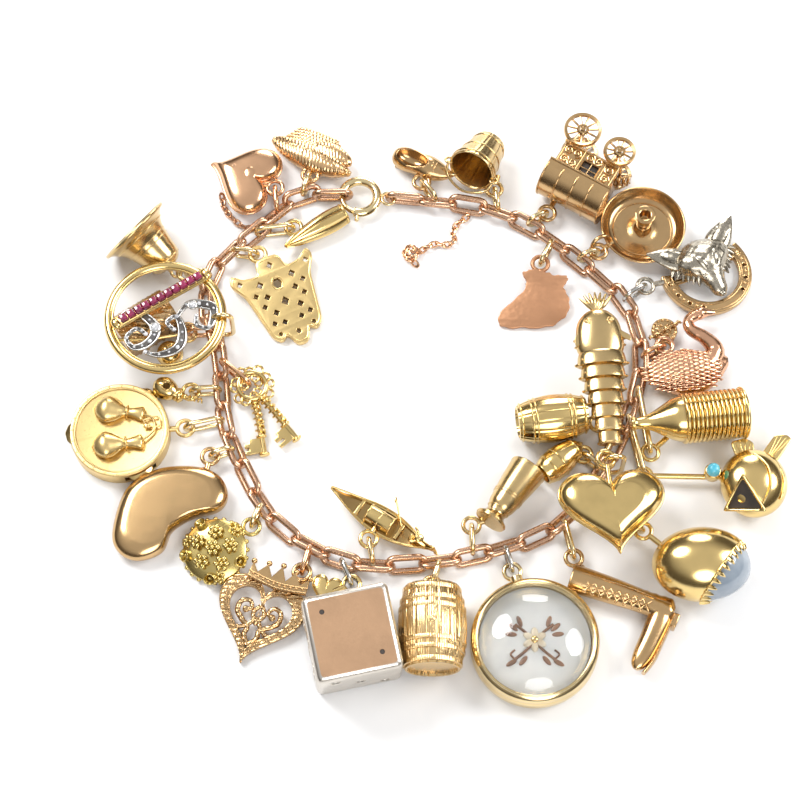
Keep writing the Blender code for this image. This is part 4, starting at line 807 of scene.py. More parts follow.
@dataclass
class Chain:
    """The oval trace chain and the jump rings between it and the charms."""

    route: list[Place] = field(default_factory=lambda: list(CHAIN_ROUTE))

    def tail_eye(self) -> tuple[float, float, float]:
        """The middle of the small eye on the bolt ring's tail."""
        x, y, z = CLASP_CENTRE
        hole = LINK_WIRE + 2 * RING_CLEARANCE
        return x + CLASP_DIAMETER / 2 + hole / 2 + TAIL_EYE_WIRE / 2, y - TAIL_SHIFT, z

    def middles(self) -> list[Vector]:
        """Every link's middle, evenly along the smooth route."""
        x, y, _ = CLASP_CENTRE
        inside = LINK_LENGTH / 2 - LINK_WIRE
        first = (x - (CLASP_DIAMETER - CLASP_TUBE) / 2 - (inside - CLASP_TUBE / 2 - CLASP_LINK_PLAY),
                 y + TAIL_SHIFT)
        last = (self.tail_eye()[0] + LINK_LENGTH / 2 - LINK_WIRE / 2, y - TAIL_SHIFT)
        fine = eased([first, *self.route, last], ROUTE_STEPS)
        along = [0.0]
        for before, after in zip(fine, fine[1:]):
            along.append(along[-1] + (after - before).length)
        count = math.ceil(along[-1] / (LINK_LENGTH - 2 * LINK_WIRE + LINK_SINK))
        places = []
        spot = 0
        for i in range(count + 1):
            wanted = along[-1] * i / count
            while spot < len(fine) - 2 and along[spot + 1] < wanted:
                spot += 1
            share = (wanted - along[spot]) / (along[spot + 1] - along[spot])
            places.append(fine[spot].lerp(fine[spot + 1], min(share, 1.0)))
        return places

    def nearest(self, x: float, y: float) -> Vector:
        """The middle of the link nearest to a place."""
        return min(self.middles(), key=lambda middle: (middle - Vector((x, y))).length)

    def link(self) -> Shape:
        """One oval link of drawn wire, in its own frame."""
        straight = (LINK_LENGTH - LINK_WIDTH) / 2
        reach = (LINK_WIDTH - LINK_WIRE) / 2
        longer, wider = LINK_SWELL
        path = []
        for i in range(LINK_STEPS):
            x, y = polar(reach, 360 * (i + 0.5) / LINK_STEPS)
            swell = 1 + wider * math.cos(math.radians(2 * 360 * i / LINK_STEPS))
            path.append((x * longer + math.copysign(straight, x), y * swell, 0))
        return tube(path, LINK_WIRE * DRAWN_WIRE, steps=1, closed=True, roundness=3)

    def links(self) -> Shape:
        """All the links, laid in turn on their left and right edges."""
        middles = self.middles()
        places = []
        for i, middle in enumerate(middles):
            before = middles[max(i - 1, 0)]
            after = middles[min(i + 1, len(middles) - 1)]
            heading = math.atan2(after.y - before.y, after.x - before.x)
            lean = math.radians(90.0 if i in (0, len(middles) - 1) else LINK_LEAN * (-1) ** i)
            height = (LINK_WIDTH - LINK_WIRE) / 2 * math.sin(abs(lean)) + LINK_WIRE / 2
            turn = Matrix.Rotation(heading, 4, "Z") @ Matrix.Rotation(lean, 4, "X")
            places.append(Matrix.Translation((middle.x, middle.y, height)) @ turn)
        return copies(self.link(), places)

    def jump_ring(self, start: Sequence[float], end: Sequence[float]) -> Shape:
        """An upright oval ring whose ends stand in a link and in an eye."""
        start, end = Vector(start), Vector(end)
        across = end - start
        reach = JUMP_HALF_HEIGHT
        straight = across.length / 2 - reach
        path = []
        for i in range(RING_STEPS):
            x, z = polar(reach, 360 * (i + 0.5) / RING_STEPS)
            path.append((x + math.copysign(straight, x), 0.0, z))
        shape = tube(path, JUMP_WIRE / 2, steps=1, closed=True, roundness=3)
        rise = math.atan2(across.z, math.hypot(across.x, across.y))
        heading = math.atan2(across.y, across.x)
        shape.matrix_world = (
            Matrix.Translation((start + end) / 2) @ Matrix.Rotation(heading, 4,
                                                                    "Z") @ Matrix.Rotation(-rise, 4, "Y")
        )
        take_up(shape)
        bpy.ops.object.transform_apply(location=True, rotation=True, scale=True)
        return shape

    def jump_rings(self, eyes: Sequence[Eye]) -> list[Shape]:
        """The ring from every eye to the nearest free link, in the order of the eyes."""
        free = self.middles()[1:-1]
        made = []
        for eye in eyes:
            flat = Vector(eye.at)
            reachable = [middle for middle in free if (middle - flat).length >= LEAST_REACH]
            nearest = min(reachable, key=lambda middle: (middle - flat).length)
            free.remove(nearest)
            held = nearest + (flat - nearest).normalized() * LINK_GRIP
            made.append(self.jump_ring((held.x, held.y, RING_HEIGHT), (*eye.at, RING_HEIGHT)))
        return made

    def standing_ring(self, x: float, y: float, top: float) -> Shape:
        """An upright ring through a link that holds a charm lying above the chain."""
        middle = self.nearest(x, y)
        across = middle.x + JUMP_HALF_HEIGHT + LINK_GRIP
        return self.jump_ring((across, middle.y, JUMP_WIRE / 2), (across, middle.y, top))

    def make(self, eyes: Sequence[Eye], standing: Sequence[tuple[float, float, float]]) -> None:
        """Makes the links and the rings, in the golds that the bracelet mixes."""
        send_home(self.links(), "chain_links", ROSE_SOFT, node="chain")
        rings = self.jump_rings(eyes)
        tall = [self.standing_ring(*place) for place in standing]
        white = [rings.pop(index) for index in WHITE_RINGS]
        rose = [rings.pop(index) for index in ROSE_RINGS]
        send_home(joined(rings + tall), "jump_rings_pale", PALE)
        send_home(joined(white), "jump_rings_white", WHITE)
        send_home(joined(rose), "jump_rings_rose", ROSE)


@dataclass
class BoltRing:
    """The bolt ring: a hollow sprung ring, the bolt that slides in it, and its tail eye."""

    middle: float = (CLASP_DIAMETER - CLASP_TUBE) / 2
    gap: tuple[float, float] = (162.0, 252.0)
    knob_angle: float = 264.0
    travel: float = 60.0
    bolt_wire: float = 0.76
    bolt_ends: tuple[float, float] = (9.0, 27.0)
    bore_past_gap: float = 12.0
    bore_ends: tuple[float, float] = (40.0, 20.0)
    slot_play: float = 8.0
    slot_wire: float = 0.42
    collar_step: float = 2.0
    knob_wire: float = 0.26
    knob_height: float = 0.55
    knob_tip: float = 0.34

    def curve(self, start: float, end: float, radius: float, wire: float) -> Shape:
        """A round bar along the ring's circle from one angle to another."""
        count = max(3, round(abs(end - start) / 7))
        points = [(*polar(radius, start + (end - start) * i / count), 0.0) for i in range(count + 1)]
        return tube(points, wire, steps=1, roundness=4)

    def make(self, tail: tuple[float, float, float]) -> None:
        """Makes the ring and the bolt at the clasp's centre."""
        closes, opens = self.gap
        past, play = self.bore_past_gap, self.slot_play
        body = self.curve(opens, 360 + closes, self.middle, CLASP_TUBE / 2)
        slot_radius = self.middle + (CLASP_TUBE + CLASP_BORE) / 4
        cut(
            body,
            self.curve(opens - past, 360 + closes - self.bore_ends[0], self.middle, CLASP_BORE / 2),
            self.curve(closes - past, closes + self.bore_ends[1], self.middle, CLASP_BORE / 2),
            self.curve(self.knob_angle - play, self.knob_angle + self.travel + play, slot_radius,
                       self.slot_wire),
        )
        collars = [
            ring(CLASP_TUBE / 2 - 0.02, 0.09, (*polar(self.middle, angle), 0), (90, 0, angle), sides=24)
            for angle in (opens + self.collar_step, closes - self.collar_step)
        ]
        x, y, z = CLASP_CENTRE
        hole = LINK_WIRE + 2 * RING_CLEARANCE
        eye = ring((hole + TAIL_EYE_WIRE) / 2, TAIL_EYE_WIRE / 2, (tail[0] - x, tail[1] - y, 0))
        whole = joined([body, *collars, eye])
        whole.matrix_world = Matrix.Translation((x, y, z))
        send_home(whole, "clasp_ring_hollow", PALE, node="clasp_ring")
        head, tail_end = self.bolt_ends
        bolt = self.curve(closes - head, self.knob_angle + tail_end, self.middle, self.bolt_wire / 2)
        stem = CLASP_TUBE / 2 + self.knob_height
        knob_place = (*polar(self.middle + stem / 2, self.knob_angle), 0)
        knob = rod(self.knob_wire, stem, knob_place, (0, 90, self.knob_angle))
        tip = bead(self.knob_tip, (*polar(self.middle + CLASP_TUBE / 2 + 0.5, self.knob_angle), 0))
        whole = joined([bolt, knob, tip])
        whole.matrix_world = Matrix.Translation((x, y, z))
        send_home(whole, "clasp_bolt_sliding", PALE, body="clasp_bolt", node="clasp_bolt")


@dataclass
class TraceChain:
    """A fine trace chain of small oval links along a route."""

    node: str
    route: list[tuple[float, float, float]]
    finish: Finish
    pitch: float = 0.95
    link_length: float = 1.5
    link_width: float = 1.0
    wire: float = 0.16
    lean: float = 42.0

    def make(self) -> None:
        """Lays the small links along the route, leaning to the left and right in turn."""
        fine = eased(self.route, 24)
        spots = [fine[0]]
        for point in fine:
            if (point - spots[-1]).length >= self.pitch:
                spots.append(point)
        places = []
        for i, spot in enumerate(spots[:-1]):
            way = spots[i + 1] - spot
            turn = Matrix.Rotation(math.atan2(way.y, way.x), 4, "Z")
            rise = Matrix.Rotation(-math.atan2(way.z, math.hypot(way.x, way.y)), 4, "Y")
            lean = Matrix.Rotation(math.radians(self.lean if i % 2 else -self.lean), 4, "X")
            places.append(Matrix.Translation((spot + spots[i + 1]) / 2) @ turn @ rise @ lean)
        bpy.ops.mesh.primitive_torus_add(
            major_segments=16, minor_segments=8, major_radius=(self.link_width - self.wire) / 2,
            minor_radius=self.wire
        )
        link = set_down(bpy.context.object, size=(self.link_length / self.link_width, 1, 1))
        send_home(copies(link, places), f"{self.node}_links", self.finish, node=self.node)


# Charms at the upper left of the loop


@dataclass
class PuffedHeart(Charm):
    """The large puffed heart, with its seam, a bare oval plaque and a pinhole."""

    node: str = "puffed_heart"
    at: Place = (-23.6, 35.2)
    turn: tuple[float, float, float] = (0, 0, -113)
    finish: Finish = ROSE
    eye: Eye | None = Eye((-18.6, 33.4), (-21.8, 34.5))
    width: float = 11.2
    length: float = 10.0
    thickness: float = 3.8

    def body(self) -> list[Shape]:
        """The two stamped halves, the seam round them and the raised plaque."""
        outline = heart_outline(self.width, self.length)
        half = cushion(outline, (0, 0.3), puff(self.thickness))
        seam = tube([(*(point * 0.995), 0.0) for point in outline], 0.2, steps=1, closed=True)
        step = tube([(*(point * 0.93), 0.78) for point in outline], 0.13, steps=1, closed=True)
        plaque = bead(1.0, (-0.3, 1.3, 1.66), (1.25, 1.0, 0.34), (0, 0, 20), sides=32)
        return [half, seam, step, plaque, ring(0.26, 0.07, (-0.4, -1.3, 1.82), sides=20)]

    def trims(self) -> list[tuple[str, Finish | Stone, list[Shape]]]:
        """The pinhole's inside: a dark bead of painted shade."""
        return [("pinhole", PAINTED_SHADE, [bead(0.2, (-0.4, -1.3, 1.8), (1, 1, 0.4))])]


@dataclass
class WingedBird(Charm):
    """The fluted bird with its folded wing."""

    node: str = "winged_bird"
    at: Place = (-13.6, 38.6)
    turn: tuple[float, float, float] = (0, 0, -27)
    finish: Finish = FEATHERS
    eye: Eye | None = Eye((-13.4, 35.6), (-13.2, 38.0))
    feathers: int = 7

    def body(self) -> list[Shape]:
        """The wavy body, the feathers of the wing, and the leaf-shaped shoulder."""
        stations = [
            (-6.4, 0.5, 0.35, 0.4, 1.2), (-4.4, 1.5, 0.9, 0.3, 1.3), (-2.0, 2.05, 1.4, 0.15, 1.45),
            (1.0, 2.2, 1.6, 0.0, 1.6), (3.6, 1.8, 1.45, 0.0, 1.7), (5.4, 1.15, 1.15, 0.1, 1.7),
            (6.8, 0.35, 0.4, 0.3, 1.4),
        ]
        bird = swept(stations, 64, 14, lambda x, a: 0.045 * math.sin(11 * x + 1.6 * math.cos(a)))
        wing = []
        for i in range(self.feathers):
            y = 0.5 + 0.58 * i
            tip = 5.9 - 0.85 * abs(i - 2)
            wing.append(
                swept(
                    [(-5.6 + 0.3 * i, 0.16, 0.12, y - 0.5, 1.7), (-2.0, 0.4, 0.3, y, 2.55 - 0.16 * i),
                     (2.4, 0.42, 0.32, y + 0.15, 2.6 - 0.2 * i),
                     (tip, 0.1, 0.08, y + 0.5, 2.0 - 0.15 * i)],
                    14, 8, lambda x, a: 0.03 * math.sin(16 * x),
                )
            )
        leaf = cushion(
            eased([(0, 2.2), (2.4, 3.4), (5.6, 2.6), (6.3, 1.2), (4.0, 0.4), (1.2, 0.8)], 8, True),
            (3.4, 1.8), [(1, 1.9), (1, 2.3), (0.8, 2.75), (0.4, 2.95), (0, 3.0)],
        )
        eye = bead(0.22, (5.7, -0.55, 2.6))
        return [bird, leaf, eye, *wing]


@dataclass
class SeedPod(Charm):
    """The fluted seed pod with its hollow cut end."""

    node: str = "seed_pod"
    at: Place = (-12.6, 26.4)
    turn: tuple[float, float, float] = (0, 0, 32)
    eye: Eye | None = Eye((-15.7, 26.8), (-14.3, 25.4))
    flutes: int = 10

    def body(self) -> list[Shape]:
        """The fluted skin, its tip and the collar at the cut end."""
        outside = eased([(0, 5.2), (0.45, 4.7), (1.1, 2.4), (1.6, -0.8), (1.72, -3.0), (1.58, -4.8)], 8)
        profile = [*outside, (1.55, -5.2), (1.15, -5.2), (1.0, -4.0), (0, -3.6)]
        pod = turned(
            profile, 120, lambda a, z: -0.2 * abs(math.sin(self.flutes * a / 2)) ** 0.7 if z > -4.9
            else 0.0
        )
        collar = ring(1.5, 0.14, (0, 0, -4.95), sides=36)
        return [set_down(joined([pod, collar]), turn=(0, -90, 0))]


@dataclass
class Bell(Charm):
    """The open bell lying on its side, with bands, a rim and its clapper."""

    node: str = "bell"
    at: Place = (-38.8, 24.6)
    turn: tuple[float, float, float] = (-24, 0, 230)
    finish: Finish = BRASSY
    eye: Eye | None = Eye((-31.4, 19.4), (-34.2, 20.8))

    def body(self) -> list[Shape]:
        """The bell's shell, its bands and the clapper inside."""
        outside = eased([(0, 7.6), (1.5, 7.35), (2.5, 6.5), (2.95, 4.6), (3.5, 2.4), (4.5, 0.9),
                         (5.6, 0.1)], 8)
        inside = eased([(5.35, 0.0), (4.3, 0.5), (3.1, 2.3), (2.5, 4.8), (1.8, 6.2), (0, 6.5)], 6)
        shell = turned([*outside, (5.68, 0.0), (5.6, -0.12), *inside], 72)
        bands = [ring(radius, 0.12, (0, 0, height), sides=56) for radius, height in
                 ((5.5, 0.2), (4.3, 1.12), (3.42, 2.6), (3.2, 3.3), (2.5, 6.45))]
        rim = ring(5.48, 0.26, (0, 0, 0.02), sides=72)
        cap = rod(0.8, 0.7, (0, 0, 7.75))
        loop = ring(0.75, 0.24, (0, 0, 8.6), (90, 0, 0), sides=28)
        stem = tube([(0, 0, 6.4), (0.3, 0.1, 3.4), (0.9, 0.2, 1.4)], 0.22)
        clapper = bead(0.85, (1.0, 0.25, 1.0))
        return [set_down(joined([shell, *bands, rim, cap, loop, stem, clapper]), turn=(-90, 0, 0))]


@dataclass
class HandPlate(Charm):
    """The flat hand with two thumbs, pierced all over, with an engraved border."""

    node: str = "hand_plate"
    at: Place = (-17.0, 15.6)
    turn: tuple[float, float, float] = (5.2, 0, 24)
    finish: Finish = SATIN
    eye: Eye | None = Eye((-20.9, 22.4), (-19.6, 20.8))

    def body(self) -> list[Shape]:
        """The pierced plate, its border wire and the ring round the middle hole."""
        outline = rounded(
            [(-1.8, 6.8), (1.8, 6.8), (2.2, 4.4), (4.6, 4.8), (6.0, 6.2), (6.6, 4.6), (5.2, 2.4),
             (3.9, -5.2),
             (2.7, -6.4), (1.7, -5.4), (0.9, -7.6), (-0.9, -7.6), (-1.7, -5.4), (-2.7, -6.4),
             (-3.9, -5.2), (-5.2, 2.4), (-6.6, 4.6), (-6.0, 6.2), (-4.6, 4.8), (-2.2, 4.4)], 0.9, True,
        )
        holes = [ellipse(1.3, 1.7, 6, (0, 2.4)), ellipse(1.2, 1.5, 4, (0, -0.6)),
                 ellipse(1.0, 1.2, 4, (0, 5.4))]
        for side in (-1, 1):
            for x, y, size in ((2.5, 3.0, 0.9), (3.7, 1.6, 0.7), (2.2, 0.9, 0.8), (1.9, -1.8, 0.8),
                               (3.1, -0.4, 0.7),
                               (1.3, -3.6, 0.7), (2.8, -3.3, 0.7), (5.2, 4.2, 0.7)):
                holes.append(ellipse(size * 1.22, size * 1.3, 4, (side * x, y)))
            holes.append(ellipse(0.5, 0.7, 12, (side * 2.6, -5.1)))
        holes.append(ellipse(0.6, 0.8, 12, (0, -5.6)))
        hand = plate(outline, 1.0, holes, 0.12)
        border = tube([(*(p * 0.94), 0.98) for p in outline], 0.09, steps=1, closed=True, roundness=2)
        rims = [ring(0.98, 0.08, (0, 2.4, 1.0), size=(0.86, 1.08, 1), sides=28)]
        return [hand, border, *rims]


# Charms at the left of the loop


@dataclass
class Brooch(Charm):
    """The ring brooch with its stone-set scrolls, under the bar that holds the rubies."""

    node: str = "brooch"
    rest: float = BROOCH_REST
    diameter: float = 17.6
    wire: float = BROOCH_WIRE
    bar_turn: float = 32.0
    bar_middle: Place = (-0.65, 2.5)
    rubies: int = 11
    pitch: float = 1.22

    def body(self) -> list[Shape]:
        """The knife-edged ring, the bar with its rails and end caps, and the pin."""
        outer = ring((self.diameter - self.wire) / 2, self.wire / 2, sides=96)
        inner = ring((self.diameter - self.wire) / 2 - 0.62, 0.16, (0, 0, 0.3), sides=96)
        length = self.rubies * self.pitch + 1.2
        rails = [tube([(-length / 2, y, 0), (length / 2, y, 0)], 0.2, steps=2) for y in (-0.78, 0.78)]
        caps = [bead(0.95, (side * (length / 2 + 0.1), 0, 0.1), (0.7, 1.0, 0.6)) for side in (-1, 1)]
        floor = block((length, 1.5, 0.8), (0, 0, -0.1), edge=0.2)
        claws = []
        for i in range(self.rubies + 1):
            x = (i - self.rubies / 2) * self.pitch
            claws += [bead(0.17, (x, side * 0.62, 0.55), sides=10) for side in (-1, 1)]
        bar = set_down(joined([floor, *rails, *caps, *claws]), (*self.bar_middle, 0.86),
                       (0, 0, self.bar_turn))
        pin = tube([(-7.6, -3.4, -0.2), (-3.0, -3.3, -0.4), (2.0, -2.5, -0.4)], 0.24)
        return [outer, inner, bar, pin]

    def trims(self) -> list[tuple[str, Finish | Stone, list[Shape]]]:
        """The white gold scrolls with their cups, the near-black grounds between the scroll wires, which
        are painted shade, and the rose-cut stones.
        """
        loops = [
            [(-6.6, -0.4, 0.3), (-5.4, 0.7, 0.4), (-3.4, 0.3, 0.5), (-1.3, -1.9, 0.6), (-2.0, -4.0, 0.5),
             (-4.2, -4.9, 0.4), (-5.4, -3.4, 0.4), (-4.0, -2.0, 0.5), (-2.6, -2.9, 0.5)],
            [(-2.6, -5.6, 0.3), (-0.6, -6.0, 0.4), (2.0, -4.9, 0.4), (2.6, -2.6, 0.5), (1.7, -0.2, 0.6),
             (0.3, -1.0, 0.5), (1.4, -2.2, 0.5)],
            [(1.7, -0.2, 0.6), (3.0, 1.7, 0.5), (4.8, 1.9, 0.5), (6.9, 1.2, 0.4), (6.4, -1.6, 0.3),
             (4.6, -1.4, 0.4),
             (4.5, 0.0, 0.5)],
        ]
        # The grounds between the wires are painted shade.
        grounds, wires = [], []
        for loop in loops:
            route = eased(loop, 8)
            left, right = [], []
            for i, spot in enumerate(route):
                way = route[min(i + 1, len(route) - 1)] - route[max(i - 1, 0)]
                across = Vector((-way.y, way.x, 0)).normalized()
                half = 0.16 + 0.42 * math.sin(math.pi * min(1.0, 1.25 * i / (len(route) - 1))) ** 2
                left.append(spot + across * half)
                right.append(spot - across * half)
            grounds += [tube([a.lerp(b, share) for a, b in zip(left, right)], 0.2, steps=1)
                        for share in (0.3, 0.5, 0.7)]
            wires += [tube(edge, 0.17, steps=1) for edge in (left, right)]
        stones, cups = [], []
        for loop in loops:
            for i, spot in enumerate(eased(loop, 2)):
                size = 0.34 if i % 4 == 0 else 0.2
                stones.append(rose_cut(size, (spot.x, spot.y, spot.z + 0.22)))
        for spot, size in (((-1.3, -1.9, 0.8), 0.7), ((3.9, 1.6, 0.8), 0.6)):
            cups.append(ring(size, 0.14, spot, sides=28))
            stones.append(rose_cut(size, spot))
        return [("scrolls", WHITE, wires + cups), ("scroll_ground_shade", PAINTED_SHADE, grounds),
                ("rose_cut_stones", DIAMOND, stones)]


def rose_cut(radius: float, at: Sequence[float]) -> Shape:
    """A small rose-cut stone: a flat back under two rows of facets."""
    rows = [(radius, 0.0), (radius * 0.97, radius * 0.15), (radius * 0.6, radius * 0.5),
            (0.0, radius * 0.62)]
    return set_down(turned(rows, 8), at)


@dataclass
class RubyRow(Charm):
    """The eleven step-cut rubies in the brooch's bar."""

    node: str = "ruby_row"
    finish: Finish = RUBY
    holder: Brooch = field(default_factory=Brooch)

    def body(self) -> list[Shape]:
        """Square stones with a table, two steps and a flat back."""
        side = self.holder.pitch * 0.47
        rows = []
        for share, height in ((1.0, 0.0), (1.0, 0.34), (0.86, 0.46), (0.68, 0.52)):
            reach = side * share
            rows.append([(-reach, -reach, height), (reach, -reach, height), (reach, reach, height),
                         (-reach, reach, height)])
        stone = lofted(rows)
        spots = [placed((i - (self.holder.rubies - 1) / 2) * self.holder.pitch, 0)
                 for i in range(self.holder.rubies)]
        return [copies(stone, spots)]


@dataclass
class Casket(Charm):
    """The small ridged casket under the brooch."""

    node: str = "casket"
    at: Place = (-37.0, 11.0)
    turn: tuple[float, float, float] = (0, 0, 34)
    finish: Finish = NINE_CHASED
    eye: Eye | None = Eye((-30.8, 9.9), (-33.2, 11.6), EYE_STEP)

    def body(self) -> list[Shape]:
        """The box, its arched lid, the ribs round it and its lock."""
        chest = block((8.6, 5.6, 3.4), (0, 0, -0.6), edge=0.25)
        lid = swept([(-4.3, 2.8, 1.9, 0, 0.9), (0, 2.8, 1.95, 0, 0.9), (4.3, 2.8, 1.9, 0, 0.9)], 40, 4,
                    square=0.8)
        ribs = [block((0.4, 5.9, 3.5), (x, 0, -0.55), edge=0.12)
                for x in (-3.9, -2.6, -1.3, 0, 1.3, 2.6, 3.9)]
        hoops = [ring(2.86, 0.14, (x, 0, 0.86), (0, 90, 0), size=(1, 1, 1), sides=40)
                 for x in (-3.6, 0, 3.6)]
        for hoop in hoops:
            set_down(hoop, (0, 0, 0.28), size=(1, 1, 0.68))
        beads = [bead(0.2, (-4.0 + 0.8 * i, side * 2.86, 1.0), sides=10) for i in range(11)
                 for side in (-1, 1)]
        lock = bead(0.6, (0, -2.9, 0.3), (1, 0.4, 1.2))
        return [chest, lid, lock, *ribs, *hoops, *beads]


@dataclass
class BallCharm(Charm):
    """The polished ball beside the casket."""

    node: str = "ball_charm"
    at: Place = (-33.2, 6.4)
    eye: Eye | None = Eye((-30.8, 9.9), (-32.6, 7.0), -EYE_STEP, True)

    def body(self) -> list[Shape]:
        """The ball with its seam and a small cap."""
        ball = bead(1.9, sides=48)
        seam = ring(1.88, 0.07, sides=56)
        cap = ring(0.5, 0.16, (0.6, 0.3, 1.72), (18, 0, 0), sides=24)
        return [ball, seam, cap]


@dataclass
class GourdBead(Charm):
    """The gourd-shaped bead, pierced through."""

    node: str = "gourd_bead"
    at: Place = (-33.4, 1.0)
    turn: tuple[float, float, float] = (0, 0, -30)
    eye: Eye | None = Eye((-30.0, 0.6), (-32.0, 0.8))

    def body(self) -> list[Shape]:
        """The waisted bead, the collar of its hole and the wire twisted round its neck."""
        gourd = swept(
            [(-2.2, 0.3, 0.3, 0, 0), (-1.7, 1.2, 1.1, 0, 0), (-0.5, 1.7, 1.5, 0, 0),
             (0.8, 1.35, 1.25, 0, 0),
             (1.6, 0.8, 0.8, 0, 0), (2.3, 0.95, 0.9, 0, 0), (2.7, 0.4, 0.4, 0, 0)], 40, 8,
        )
        cut(gourd, rod(0.55, 5))
        collar = ring(0.62, 0.14, (0, 0, 1.42), sides=28)
        twist = coil((1.5, 0, 0), (2.0, 0, 0), 0.86, 0.13, 3)
        tail = coil((2.2, 0.1, 0.2), (5.4, 0.9, 0.4), 0.3, 0.14, 6)
        return [gourd, collar, twist, tail]


@dataclass
class Tambourine(Charm):
    """The tambourine with its slots, its castanets and their cords."""

    node: str = "tambourine"
    at: Place = (-39.8, -5.7)
    finish: Finish = SATIN
    eye: Eye | None = Eye((-30.6, -5.0), (-33.2, -5.2))
    radius: float = 7.05
    height: float = 2.8
    angles: tuple[float, ...] = (58.0, 180.0, 298.0)
    reach: float = 5.85
    slot: tuple[float, float, float] = (5.6, 4.8, 1.28)

    def castanet(self, across: float, turn: float) -> list[Shape]:
        """One castanet: a shell with a rolled edge, its handle and the cord round it."""
        shell = swept(
            [(-2.5, 0.15, 0.1, 0, 0), (-2.0, 0.9, 0.5, 0, 0.1), (-0.9, 1.38, 0.85, 0, 0.15),
             (0.4, 1.0, 0.6, 0, 0.12),
             (1.6, 0.45, 0.36, 0, 0.05), (2.8, 0.6, 0.42, 0, 0.05), (3.6, 0.75, 0.4, 0, 0),
             (3.9, 0.2, 0.15, 0, 0)], 28, 6,
        )
        rolled = tube([(-2.3, 0, 0.2), (-0.9, 1.3, 0.2), (0.9, 0.7, 0.2), (0.9, -0.7, 0.2),
                       (-0.9, -1.3, 0.2)], 0.1,
                      closed=True, roundness=2)
        cord = ring(0.58, 0.13, (1.7, 0, 0.05), (0, 90, 0), sides=20)
        return [set_down(part, (-0.9, across, self.height / 2 + 0.32), (0, 0, turn), (1.15, 1.42, 1.5))
                for part in (shell, rolled, cord)]

    def body(self) -> list[Shape]:
        """The frame with its skin, rim beads, slots and pins, and all that lies on the skin."""
        half = self.height / 2
        profile = rounded(
            [(0, -half + 0.2), (6.3, -half + 0.2), (6.4, -half), (7.05, -half), (7.05, half), (6.4, half),
             (6.3, half - 0.22), (0, half - 0.22)], 0.16,
        )
        frame = turned(profile, 96)
        pins = []
        for angle in self.angles:
            x, y = polar(self.reach + 0.9, angle)
            bpy.ops.mesh.primitive_cube_add(size=1.0)
            cut(frame, set_down(bpy.context.object, (x, y, 0), (0, 0, angle), self.slot))
            pins.append(rod(0.3, self.height - 0.5, (*polar(self.reach, angle), 0)))
        nails = [bead(0.16, (*polar(6.72, 15 * i), half), (1, 1, 0.6), sides=10) for i in range(24)]
        hoop = ring(6.35, 0.13, (0, 0, half - 0.1), sides=96)
        cord = tube([(2.9, 2.3, 1.9), (4.6, 1.7, 1.8), (5.0, 0.2, 1.75), (4.2, -1.0, 1.75),
                     (2.9, -2.0, 1.9)], 0.17)
        loop = tube([(2.9, 2.3, 1.7), (3.9, 0.6, 1.65), (5.6, 0.5, 1.7), (5.4, 1.9, 1.7),
                     (3.4, 1.4, 1.75)], 0.14)
        bow = [bead(0.42, (3.9, 0.5, 1.75), (1.3, 0.7, 0.6), (0, 0, turn)) for turn in (30, -30)]
        return [frame, hoop, cord, loop, *pins, *nails, *bow, *self.castanet(2.8, -7),
                *self.castanet(-2.4, 7)]


@dataclass
class Jingle:
    """One pair of jingles on its pin."""

    number: int
    angle: float
    holder: Tambourine

    def make(self) -> None:
        """Makes the two cupped discs, which spin together."""
        half = 0.5
        profile = [(0.46, half), (0.75, half), (0.95, half - 0.16), (1.92, 0.12), (2.0, 0.03),
                   (2.0, -0.03),
                   (1.92, -0.12), (0.95, 0.16 - half), (0.75, -half), (0.46, -half), (0.46, half)]
        rows = []
        for radius, height in profile:
            rows.append([(*polar(radius + (0.03 * math.cos(10 * math.tau * i / 60) if radius > 1.5
                                           else 0), 360 * i / 60), height)
                         for i in range(60)])
        disc = lofted(rows)
        x, y = polar(self.holder.reach, self.angle)
        disc.matrix_world = Matrix.Translation((self.holder.at[0] + x, self.holder.at[1] + y,
                                                self.holder.height / 2))
        name = f"jingle_{self.number}"
        send_home(disc, f"{name}_disc", YELLOW, body=name, node=name)


@dataclass
class Bean(Charm):
    """The polished kidney bean with a flat top."""

    node: str = "bean"
    at: Place = (-32.6, -17.6)
    finish: Finish = NINE
    eye: Eye | None = Eye((-26.9, -9.3), (-27.7, -13.0))

    def body(self) -> list[Shape]:
        """The bean's cushion, the step round its plateau and its loop's boss."""
        outline = eased(
            [(-7.6, -3.0), (-6.6, -6.0), (-3.9, -7.2), (-0.6, -6.0), (0.8, -2.9), (3.8, -0.9), (7.4, 0.2),
             (8.4, 2.6), (7.0, 5.4), (3.4, 6.7), (-1.8, 6.2), (-6.0, 3.2)], 9, True,
        )
        levels = [(0, -1.7), (0.5, -1.7), (0.72, -1.6), (0.9, -1.15), (0.99, -0.4), (1.0, 0.1),
                  (0.985, 0.6),
                  (0.93, 1.12), (0.84, 1.5), (0.76, 1.66), (0.7, 1.7), (0.4, 1.74), (0, 1.76)]
        bean = cushion(outline, (0.2, 0.3), levels, 3)
        boss = bead(0.9, (4.9, 5.6, 0.0), (1.0, 1.2, 0.9), (0, 0, 20))
        return [bean, boss]


# Charms along the lower side of the loop

KEY_GRIP = (-21.6, 1.7)
KEYS_PLACE_IN_ORDER = 9
KEY_BOW = (-21.2, 1.4)
SHARED_RING = (-13.6, -26.6)
DIE_RING = (-6.7, -28.3)


